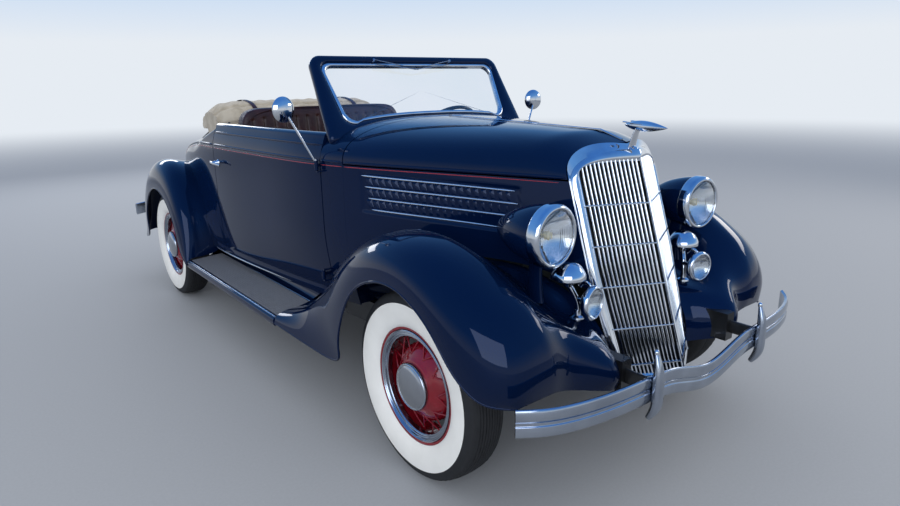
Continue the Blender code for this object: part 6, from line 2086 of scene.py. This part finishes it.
@dataclass
class Headlamps:
    """Bullet headlamps on streamlined stands: painted shell, wide plated rim and domed lens."""

    centre: tuple[float, float, float] = (0.438, -0.372, 0.928)
    radius: float = 0.106
    length: float = 0.250
    toe_in: float = 4.0
    segments: int = 72
    flute: float = 0.011

    def shell(self) -> Form:
        """The painted bullet, open at the front: its radius falls as a smooth curve to the tip.

        Returns:
            The left shell.
        """
        r, length = self.radius, self.length
        outer = smooth(((-0.018, r * 0.985), (-0.060, r * 0.965), (-0.110, r * 0.875),
                        (-0.165, r * 0.700), (-0.215, r * 0.430), (-0.240, r * 0.210),
                        (-length, 0.0008)), 34)
        inner = outer[::-1] * (0.97, 0.96) + (0.002, 0)
        inner[0, 1] = 0.0006
        return lathe(np.concatenate([outer, inner]), self.segments, self.centre, AHEAD, closed=True)

    def rim(self) -> Form:
        """The wide rolled rim, its section a smooth closed loop.

        Returns:
            The left rim.
        """
        r = self.radius
        loop = smooth(((-0.040, r - 0.004), (-0.036, r + 0.0010), (-0.018, r + 0.0035),
                       (-0.002, r + 0.0025), (0.009, r - 0.0045), (0.011, r - 0.0110),
                       (0.007, r - 0.0155), (0.000, r - 0.0140)), 34)
        return lathe(np.concatenate([loop, [(-0.006, r - 0.006), (-0.034, r - 0.008)]]),
                     self.segments, self.centre, AHEAD, closed=True)

    def lens(self) -> Form:
        """The domed glass: fluted inside by 0.5 mm waves across its width.

        Returns:
            The left glass.
        """
        share = np.linspace(1, 0.004, 26)
        front = np.stack([0.004 + 0.020 * (1 - share**2), (self.radius - 0.0135) * share], 1)
        profile = np.concatenate([front, front[::-1] - (0.0032, 0)])
        form = lathe(profile, self.segments, (0, 0, 0), AHEAD, closed=True)
        inside = np.arange(len(form.points)) >= 26 * self.segments
        wave = 0.0005 * np.cos(2 * math.pi * form.points[:, 0] / self.flute)
        form.points[:, 1] += np.where(inside, wave, 0)
        return form.moved(Matrix.Translation(self.centre))

    def reflector(self) -> Form:
        """The plated dish behind the glass: depth falls with the square of the radius.

        Returns:
            The left dish.
        """
        share = np.linspace(1, 0, 20)
        dish = np.stack([-0.004 - 0.050 * (1 - share**2), (self.radius - 0.014) * share + 0.0006],
                        1)
        back = dish[::-1] - (0.0015, 0)
        return lathe(np.concatenate([dish, back]), self.segments, self.centre, AHEAD, closed=True)

    def bulb(self) -> Form:
        """The bulb on its holder."""
        glass = smooth(((-0.054, 0.009), (-0.046, 0.011), (-0.034, 0.0155), (-0.024, 0.0135),
                        (-0.017, 0.0006)), 18)
        return lathe(glass, 28, self.centre, AHEAD)

    def stand(self) -> Form:
        """The stand: an oval post that spreads where it meets the fender.

        Returns:
            The left stand.
        """
        x, y, z = self.centre
        path = smooth(((x - 0.012, y + 0.095, z - 0.055), (x - 0.016, y + 0.100, z - 0.120),
                       (x - 0.019, y + 0.104, z - 0.190),
                       (x - 0.020, y + 0.105, z - 0.250)), 24)
        return swept(path, disc(0.0185, 24) * (0.8, 1.5), up=REARWARD,
                     scale=1 + 0.5 * np.linspace(0, 1, 24) ** 3)

    def build(self) -> None:
        """Builds both headlamps."""
        shell, rim, dish, bulb, lens = (toed_in(form, self.centre, self.toe_in) for form in (
            self.shell(), self.rim(), self.reflector(), self.bulb(), self.lens()))
        both("headlamp_shell", joined((shell, self.stand())), NAVY, replaces="headlamp", sharp=50)
        both("headlamp_rim", rim, CHROME, sharp=60)
        both("headlamp_reflector", dish, CHROME)
        both("headlamp_bulb", bulb, AMBER)
        both("headlamp_lens", lens, GLASS, sharp=60)


@dataclass
class HornsAndFogLamps:
    """A mushroom horn and a fog lamp on one bracket at each side of the grille."""

    lamp: tuple[float, float, float] = (0.329, -0.456, 0.695)
    horn_x: float = 0.352
    horn_y: float = -0.358
    horn_z: float = 0.768
    lamp_radius: float = 0.060
    horn_radius: float = 0.060
    toe_in: float = 10.0

    def horn(self) -> Form:
        """The horn's plated dome, its skirt and the ring of its sound gap.

        Returns:
            The left horn.
        """
        r = self.horn_radius
        dome = smooth(((0.000, r + 0.0015), (0.010, r + 0.0008), (0.026, 0.90 * r),
                       (0.042, 0.70 * r), (0.054, 0.42 * r), (0.060, 0.0008)), 26)
        skirt = [(0.0, 0.80 * r), (-0.004, 0.82 * r), (-0.010, 0.70 * r), (-0.014, 0.30 * r),
                 (-0.030, 0.24 * r)]
        centre = (self.horn_x, self.horn_y, self.horn_z)
        return lathe([*skirt[::-1], (0.0, r - 0.003), *dome.tolist()], 64, centre, UPWARD)

    def bracket(self) -> Form:
        """The post, the lamp's arm and the looped stay over the arm.

        Returns:
            The left bracket.
        """
        x, y, z = self.lamp
        high = self.horn_z - 0.02
        post = tube(smooth(((x, -0.385, 0.600), (x, -0.384, 0.680),
                            (self.horn_x, self.horn_y, high)), 14), 0.010, 16, up=REARWARD)
        arm = tube([(x, -0.384, z), (x, y + 0.036, z)], 0.0095, 16)
        loop = smooth(((x, -0.390, 0.742), (x, -0.415, 0.760), (x, -0.437, 0.748),
                       (x, -0.435, 0.722), (x, -0.415, 0.705)), 20)
        foot = lathe([(0.0, 0.026), (0.006, 0.025), (0.012, 0.014), (0.030, 0.012)], 28,
                     (x, -0.385, 0.625), UPWARD)
        return joined((post, arm, foot, swept(loop, disc(0.0055, 12) * (1.4, 0.7), up=ACROSS)))

    def fog_shell(self) -> Form:
        """The lamp's dark shell.

        Returns:
            The left shell.
        """
        r = self.lamp_radius
        outer = smooth(((-0.012, 0.95 * r), (-0.024, 0.84 * r), (-0.034, 0.55 * r),
                        (-0.043, 0.0008)), 20)
        inner = outer[::-1] + (0.003, 0)
        inner[:, 1] = np.maximum(inner[:, 1] * 0.96, 0.0006)
        return lathe(np.concatenate([outer, inner]), 56, self.lamp, AHEAD, closed=True)

    def fog_rim(self) -> Form:
        """The lamp's plated rim.

        Returns:
            The left rim.
        """
        r = self.lamp_radius
        loop = smooth(((-0.017, r - 0.002), (-0.012, r + 0.0006), (0.000, r + 0.0004),
                       (0.005, r - 0.004), (0.0055, r - 0.009), (0.001, r - 0.0105),
                       (-0.006, r - 0.009)), 24)
        return lathe(loop, 56, self.lamp, AHEAD, closed=True)

    def fog_lens(self) -> Form:
        """The lamp's glass, ribbed by rings.

        Returns:
            The left glass.
        """
        share = np.linspace(1, 0.004, 26)
        front = np.stack([0.001 + 0.007 * (1 - share**2), (self.lamp_radius - 0.010) * share], 1)
        rear = front[::-1] - np.stack([0.0026 + 0.0004 * np.cos(share[::-1] * 60), np.zeros(26)], 1)
        return lathe(np.concatenate([front, rear]), 56, self.lamp, AHEAD, closed=True)

    def fog_dish(self) -> Form:
        """The lamp's reflector.

        Returns:
            The left dish.
        """
        share = np.linspace(1, 0.008, 16)
        dish = np.stack([-0.005 - 0.022 * (1 - share**2), (self.lamp_radius - 0.0095) * share], 1)
        return lathe(np.concatenate([dish, dish[::-1] - (0.0012, 0)]), 56, self.lamp, AHEAD,
                     closed=True)

    def build(self) -> None:
        """Builds both pairs."""
        bright = joined((self.horn(), self.bracket()))
        both("horn_and_bracket", bright, CHROME, replaces="fog_lamp_and_horn", sharp=50)
        shell, rim, dish, lens = (toed_in(form, self.lamp, self.toe_in) for form in (
            self.fog_shell(), self.fog_rim(), self.fog_dish(), self.fog_lens()))
        both("fog_lamp_shell", shell, BLACK)
        both("fog_lamp_rim", rim, CHROME, sharp=60)
        both("fog_lamp_dish", dish, CHROME)
        both("fog_lamp_lens", lens, GLASS, sharp=60)


@dataclass
class Bumper:
    """A bowed bumper bar with fine grooves at mid height, two guards with knobs, and irons."""

    name: str
    lead: float
    dip: float
    ends: int
    horn_y: float
    iron_z: float
    height: float = 0.090
    thickness: float = 0.012
    top_z: float = 0.522
    guard_x: float = 0.331
    guard_lead: float = 0.018

    def path(self) -> np.ndarray:
        """The bar's centre line, smooth through its stations, the ends swept back.

        Returns:
            The centre line's points.
        """
        rows = np.array(((0.000, 0.000, 1.00), (0.120, 0.000, 0.62), (0.230, 0.002, 0.12),
                         (0.330, 0.005, 0.00), (0.480, 0.014, 0.00), (0.620, 0.036, 0.00),
                         (0.740, 0.078, 0.00), (0.812, 0.127, 0.00)))
        x, sweep, low = rows.T
        half = np.stack([x, self.lead + self.ends * sweep,
                         self.top_z - self.height / 2 - self.dip * low], 1)
        line = smooth(np.concatenate([half[:0:-1] * (-1, 1, 1), half]), 110)
        return line if self.ends > 0 else line[::-1]

    def section(self) -> np.ndarray:
        """The bar's section: two bows, each (1 - s^2)^0.5, and two grooves between them.

        Returns:
            Pairs of a distance outwards and a height.
        """
        z = np.linspace(-1, 1, 61)
        t = self.thickness / 2
        bow = t * (0.45 + 1.15 * np.sqrt(np.clip(1 - (np.abs(z) * 2 - 1.0) ** 2, 0, 1)))
        middle = np.abs(z) * self.height / 2
        bow = np.where(middle < 0.0085, t * 1.25, bow)
        bow -= 0.0022 * np.exp(-(((middle - 0.0065) / 0.0014) ** 4))
        front = np.stack([bow, z * self.height / 2], 1)
        back = np.stack([np.full(20, -t), np.linspace(1, -1, 20) * (self.height / 2 - 0.004)], 1)
        return np.concatenate([front, back])

    def guards(self) -> Form:
        """The upright guards: slim blades, drawn in to a point at the top.

        Returns:
            Both guards.
        """
        forms = []
        for sign in (-1, 1):
            x, z = sign * self.guard_x, self.top_z - self.height / 2
            face = self.lead - self.ends * self.guard_lead
            path = smooth(((x, face + self.ends * 0.026, z - 0.103),
                           (x, face + self.ends * 0.004, z - 0.060), (x, face, z),
                           (x, face + self.ends * 0.001, z + 0.060),
                           (x, face + self.ends * 0.014, z + 0.122)), 34)
            share = np.linspace(-1, 1, 34)
            scale = np.where(share > 0, 1 - 0.68 * np.abs(share) ** 2.4,
                             1 - 0.40 * np.abs(share) ** 4)
            forms.append(swept(path, plank(0.040, 0.030, 0.013, 7), up=REARWARD, scale=scale))
        return joined(forms)

    def knobs(self) -> Form:
        """The small bright knob on each guard's point.

        Returns:
            Both knobs.
        """
        end = (self.lead - self.ends * (self.guard_lead - 0.014),
               self.top_z - self.height / 2 + 0.122)
        ball = [(-0.006, 0.0062), (0.000, 0.0082), (0.006, 0.0080), (0.011, 0.0050),
                (0.013, 0.0008)]
        return joined(lathe(smooth(ball, 12), 20, (sign * self.guard_x, *end), UPWARD)
                      for sign in (-1, 1))

    def irons(self) -> Form:
        """The flat irons from the bar to the frame.

        Returns:
            Both irons.
        """
        forms = []
        for sign in (-1, 1):
            x, end = sign * self.guard_x, sign * (0.331 if self.ends > 0 else 0.375)
            path = [(x, self.lead, self.iron_z)]
            if self.ends < 0:
                path.append((end, self.horn_y + 0.03, self.iron_z))
            path.append((end, self.horn_y, self.iron_z))
            forms.append(swept(path, plank(0.012, 0.050, 0.003)))
        return joined(forms)

    def build(self) -> None:
        """Builds the bumper's pieces."""
        bar = swept(self.path(), self.section())
        add_piece(f"{self.name}_bar", bar, DULL_CHROME, replaces=(self.name,), sharp=50)
        add_piece(f"{self.name}_guards", self.guards(), DULL_CHROME)
        add_piece(f"{self.name}_knobs", self.knobs(), CHROME)
        add_piece(f"{self.name}_irons", self.irons(), BLACK)


def pad(low: Sequence[float], high: Sequence[float], lean: float, pleats: int, face: str) -> Form:
    """A pleated leather pad: a rounded block whose face swells between sewn channels.

    The block is a superellipsoid, |u|^5 + |v|^5 + |w|^5 = 1. Its face swells by
    p |cos(pi n u)|^0.5, so that the channels are sharp and the pleats round.

    Args:
        low: Lowest corner.
        high: Highest corner.
        lean: How far the top lies behind the foot.
        pleats: Number of pleats across.
        face: The padded face, top or front.

    Returns:
        The pad.
    """
    lo, hi = np.asarray(low, float), np.asarray(high, float)
    across = np.linspace(-1, 1, pleats * 12 + 1)
    turn = np.linspace(0, 2 * math.pi, 96, endpoint=False)
    size = (hi - lo) / 2
    centre = (hi + lo) / 2
    power = 2 / 7
    c, s = np.cos(turn), np.sin(turn)
    ring = np.stack([np.sign(c) * np.abs(c) ** power, np.sign(s) * np.abs(s) ** power], 1)
    taper = (1 - np.abs(across) ** 14) ** (1 / 5)
    taper[[0, -1]] = 0.55
    pulled = np.abs(np.cos(math.pi * pleats * (across + 1) / 2 + math.pi / 2)) ** 0.45
    inside = np.abs(across) < 0.94
    rows = []
    for u, draw, puff in zip(across, taper, np.where(inside, pulled, 1)):
        y, z = ring[:, 0] * size[1] * draw, ring[:, 1] * size[2] * draw
        facing = np.clip(ring[:, 1] if face == "top" else -ring[:, 0], 0, 1) ** 3
        along = ring[:, 0] if face == "top" else ring[:, 1]
        crown = 0.013 * facing * (1 - 0.55 * np.abs(along) ** 3)
        fall = facing * (0.011 * (1 - puff)) * (np.abs(along) < 0.86)
        if face == "top":
            z = z - 0.013 * facing + crown - fall
        else:
            y = y + 0.013 * facing - crown + fall
        y = y + lean * (z / size[2] + 1) / 2
        rows.append(np.stack([np.full(96, u * size[0]), y, z], 1) + centre)
    return lattice(np.array(rows), wrap_columns=True, caps=True)


@dataclass
class Cabin:
    """Seats in pleated hide, folded canvas top, dashboard, dials and steering wheel."""

    seat_half: float = 0.560
    rake: float = math.radians(42)
    wheel_centre: tuple[float, float, float] = (0.360, 1.235, 1.125)
    wheel_radius: float = 0.215
    column_radius: float = 0.021

    def seats(self) -> None:
        """Builds the bench's cushion and back, each with piping round its padded face."""
        half = self.seat_half
        for name, low, high, lean, face in (
            ("seat_cushion", (-half, 1.400, 0.5610), (half, 1.900, 0.735), 0.0, "top"),
            ("seat_back", (-half, 1.903, 0.5610), (half, 2.030, 1.290), 0.06, "front"),
        ):
            made = add_piece(f"{name}_pad", pad(low, high, lean, 16, face), LEATHER,
                             replaces=(name,), sharp=60)
        x = np.linspace(-0.975, 0.975, 60)
        drawn_in = (1 - np.abs(x) ** 5) ** 0.2
        front = np.stack([half * x, 1.650 - 0.237 * drawn_in, 0.648 + 0.0665 * drawn_in], 1)
        crest = np.stack([half * x, np.full(60, 1.972), 0.9255 + 0.3630 * drawn_in], 1)
        piping = joined((tube(front, 0.0045, 10), tube(crest, 0.0045, 10)))
        add_piece("seat_piping", piping, LEATHER)

    def top(self) -> None:
        """Builds the folded top: a loop in side view, creased at its folds and rippled."""
        rows = np.array(((2.208, 1.024), (2.196, 1.110), (2.196, 1.190), (2.212, 1.245),
                         (2.250, 1.290), (2.320, 1.318), (2.400, 1.330), (2.480, 1.328),
                         (2.560, 1.310), (2.630, 1.280), (2.682, 1.238), (2.703, 1.190),
                         (2.690, 1.158), (2.600, 1.151), (2.546, 1.148), (2.536, 1.080),
                         (2.534, 1.024)))
        loop = smooth(rows, 150)
        centre = np.array([2.440, 1.170])
        out = loop - centre
        reach = np.linalg.norm(out, axis=1, keepdims=True)
        place = np.linspace(0, 1, 150)
        crease = np.zeros(150)
        for at, depth in ((0.16, 0.016), (0.29, 0.020), (0.45, 0.012), (0.60, 0.018),
                          (0.70, 0.014)):
            crease += depth * np.exp(-(((place - at) / 0.012) ** 2))
        across = np.linspace(-1, 1, 120)
        rings = []
        for u in across:
            share = (1 - abs(u) ** 9) ** 0.30 if abs(u) < 1 else 0.60
            share = max(share, 0.60)
            wave = 0.0035 * np.sin(23 * u + 9 * place) * np.sin(2 * math.pi * place) ** 2
            wave += 0.0025 * np.sin(41 * u - 17 * place + 1.3) * (place < 0.75)
            loose = np.where((place > 0.05) & (place < 0.78), 1.0, 0.0)
            drawn = 1 - (0.004 + crease - wave) * loose / reach[:, 0]
            line = centre + out * share * drawn[:, None]
            rings.append(np.stack([np.full(150, u * 0.583), line[:, 0], line[:, 1]], 1))
        bundle = lattice(np.array(rings), wrap_columns=True, caps=True)
        made = add_piece("folded_top_canvas", bundle, CANVAS, replaces=("folded_top",), sharp=70)
        over = (centre + out * 1.003)[18:118]
        straps = [swept(np.column_stack([np.full(100, x), over]), plank(0.0035, 0.028, 0.001),
                        up=ACROSS)
                  for x in (-0.36, 0.36)]
        add_piece("folded_top_straps", joined(straps), LEATHER)

    def dashboard(self) -> None:
        """Builds the dashboard, its dials, and the column with its hanger."""
        front = DOOR_FRONT_Y - SHUT_GAP + 0.0005
        loop = smooth(((front, 0.990), (front, 1.205), (0.890, 1.2085), (0.915, 1.200),
                       (0.938, 1.183), (0.948, 1.150), (0.950, 1.090), (0.944, 1.030),
                       (0.935, 0.992), (0.925, 0.986)), 60)
        rings = []
        for x in np.linspace(-0.534, 0.534, 40):
            rise = -0.024 * np.clip((abs(x) - 0.30) / 0.234, 0, 1)
            rings.append(np.stack([np.full(60, x), loop[:, 0],
                                   loop[:, 1] + rise * (loop[:, 1] > 1.1)], 1))
        along = np.array([0, math.cos(self.rake), math.sin(self.rake)])
        centre = np.array(self.wheel_centre)
        column = tube([centre - along * 0.560, centre - along * 0.0285], self.column_radius, 24,
                      up=ACROSS)
        hanger = block((centre[0] - 0.02, 0.885, 0.84), (centre[0] + 0.02, 0.930, 1.0))
        solid = joined((lattice(np.array(rings), wrap_columns=True, caps=True), column, hanger))
        add_piece("dashboard_panel", solid, NAVY, replaces=("dashboard",), sharp=50)
        faces, rims, hands = [], [], []
        for x, radius in ((0.300, 0.044), (0.410, 0.044), (0.055, 0.030), (-0.030, 0.030),
                          (0.150, 0.030)):
            seat, out = (x, 0.9505, DIAL_Z), REARWARD
            faces.append(lathe([(-0.004, radius - 0.002), (0.002, radius - 0.002), (0.002, 0.0006)],
                               40, seat, out))
            rims.append(lathe([(-0.002, radius - 0.003), (0.004, radius - 0.001),
                               (0.006, radius + 0.002), (0.002, radius + 0.005),
                               (-0.003, radius + 0.005)], 40, seat, out, closed=True))
            for number in range(11):
                turn = math.radians(-130 + 26 * number)
                ends = [(x - math.sin(turn) * reach, 0.9531, DIAL_Z + math.cos(turn) * reach)
                        for reach in (radius * 0.74, radius * 0.88)]
                hands.append(swept(ends, plank(0.0012, 0.0010, 0.0003), up=REARWARD))
            tip = (x + radius * 0.45, 0.9534, DIAL_Z + radius * 0.45)
            hand = swept([(x, 0.9534, DIAL_Z), tip], plank(0.0018, 0.001, 0.0003), up=REARWARD)
            hands.append(hand)
        add_piece("dial_faces", joined(faces), BLACK)
        add_piece("dial_rims", joined(rims), CHROME)
        add_piece("dial_marks", joined(hands), WHITE)
        box = joined(tube(edge, 0.0016, 8, up=REARWARD) for edge in (
            [(-0.45, 0.9505, 1.15), (-0.17, 0.9505, 1.15)],
            [(-0.45, 0.9485, 1.03), (-0.17, 0.9485, 1.03)]))
        knobs = [lathe([(0, 0.009), (0.012, 0.008), (0.018, 0.012), (0.024, 0.010),
                        (0.026, 0.0006)], 20, (x, 0.947, 1.020), REARWARD)
                 for x in (-0.10, 0.0, 0.10, 0.20, -0.31)]
        add_piece("dashboard_knobs", joined((box, *knobs)), CHROME)

    def steering_wheel(self) -> None:
        """Builds the wheel: a rim of r = 11 mm (1 + 0.05 cos 72t) and wire spokes."""
        along = np.array([0, math.cos(self.rake), math.sin(self.rake)])
        centre = np.array(self.wheel_centre)
        ahead = np.cross(along, ACROSS)
        turn = np.linspace(0, 2 * math.pi, 216, endpoint=False)
        reach = self.wheel_radius
        circle = np.cos(turn)[:, None] * np.array([1.0, 0, 0]) + np.sin(turn)[:, None] * ahead
        path = centre + reach * circle
        grips = swept(path, disc(0.0108, 14) * (0.86, 1.0), up=along, closed=True,
                      scale=1 + 0.05 * np.cos(72 * turn))
        boss = lathe([(-0.028, 0.030), (-0.004, 0.034), (0.004, 0.033), (0.008, 0.028)], 40, centre,
                     along)
        add_piece("steering_wheel_rim", joined((grips, boss)), BLACK, "steering_wheel",
                  replaces=("steering_wheel",))
        wires = []
        for angle in (90, 210, 330):
            middle = math.radians(angle)
            out = math.cos(middle) * np.array([1.0, 0, 0]) + math.sin(middle) * ahead
            side = np.cross(along, out)
            for offset in (-0.0105, -0.0035, 0.0035, 0.0105):
                foot = centre + out * 0.024 + side * offset * 0.9 + along * -0.004
                wires.append(tube([foot, centre + out * (reach - 0.004) + side * offset * 1.15],
                                  0.0022, 8, up=along))
        button = lathe(smooth(((0.006, 0.024), (0.012, 0.022), (0.016, 0.014), (0.0175, 0.0006)),
                              14), 36, centre, along)
        add_piece("steering_wheel_wires", joined((*wires, button)), CHROME, "steering_wheel")

    def build(self) -> None:
        """Builds the cabin."""
        self.seats()
        self.top()
        self.dashboard()
        self.steering_wheel()


def glaze() -> None:
    """The windscreen's glass: a flat pane in the screen's plane, inside the bright frame."""
    cowl = Cowl()
    edge = cowl.opening(0.0145)
    faces = [cowl.point(edge[:, 0], edge[:, 1], np.full(len(edge), depth))
             for depth in (0.0165, 0.0215)]
    form = lattice(np.array(faces), wrap_columns=True, caps=True)
    add_piece("windscreen_pane", form, GLASS, replaces=("windscreen_glass",), sharp=20)


# Solids that are shown as they are, with their finishes.
SOLID_FINISHES = {
    "frame": BLACK,
    "engine_block": IRON,
    "radiator": CORE_AND_SHADE,
    "front_axle": BLACK,
    "rear_axle": BLACK,
    "tie_rod": STEEL,
    "front_knuckle_left": BLACK,
    "front_knuckle_right": BLACK,
    "fuel_tank": BLACK,
    "exhaust": STEEL,
    "floor_pan": CARPET,
    "hood_hinge": CHROME,
}


def finish_solids(nodes: dict[str, bpy.types.Object]) -> None:
    """Gives each solid that is shown its finish.

    Args:
        nodes: The frame's solids by name.
    """
    for name, finish in SOLID_FINISHES.items():
        if name not in nodes:
            LOG.warning("no solid named %s", name)
            continue
        for slot in nodes[name].material_slots:
            slot.material = finish.material()


def corners() -> list[list[float]]:
    """The shown car's lowest and highest corner as plain lists."""
    return [[float(value) for value in corner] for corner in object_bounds()]


def main() -> None:
    """Loads the frame, checks where its front axle stands, and dresses it."""
    logging.basicConfig(level=logging.INFO, format="%(name)s: %(message)s")
    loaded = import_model()
    low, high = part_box("front_tyre_left")
    if abs((low[1] + high[1]) / 2 - FRONT_AXLE_Y) > 0.001:
        LOG.warning("the front axle stands at %.4f", (low[1] + high[1]) / 2)
    studio = Studio()
    studio.place_camera()
    studio.light()
    studio.lay_floor()
    parts = [
        RoadWheels(), Grille(), Hood(), Cowl(), Doors(), RearBody(), Headlamps(),
        HornsAndFogLamps(), RunningBoards(),
        Fender(FRONT_FENDER, 0.0, "front_fender", FRONT_ROLL),
        Fender(REAR_FENDER, REAR_AXLE_Y, "rear_fender"),
        Bumper("front_bumper", -FRONT_OVERHANG + BUMPER_INSET, 0.052, 1, -0.6005, FRONT_IRON_Z),
        Bumper("rear_bumper", REAR_AXLE_Y + REAR_OVERHANG - BUMPER_INSET, 0.0, -1,
               REAR_AXLE_Y + 0.7805, REAR_IRON_Z),
        Cabin(),
    ]
    for part in parts:
        part.build()
    glaze()
    finish_solids(loaded["nodes"])


if __name__ == "__main__":
    main()
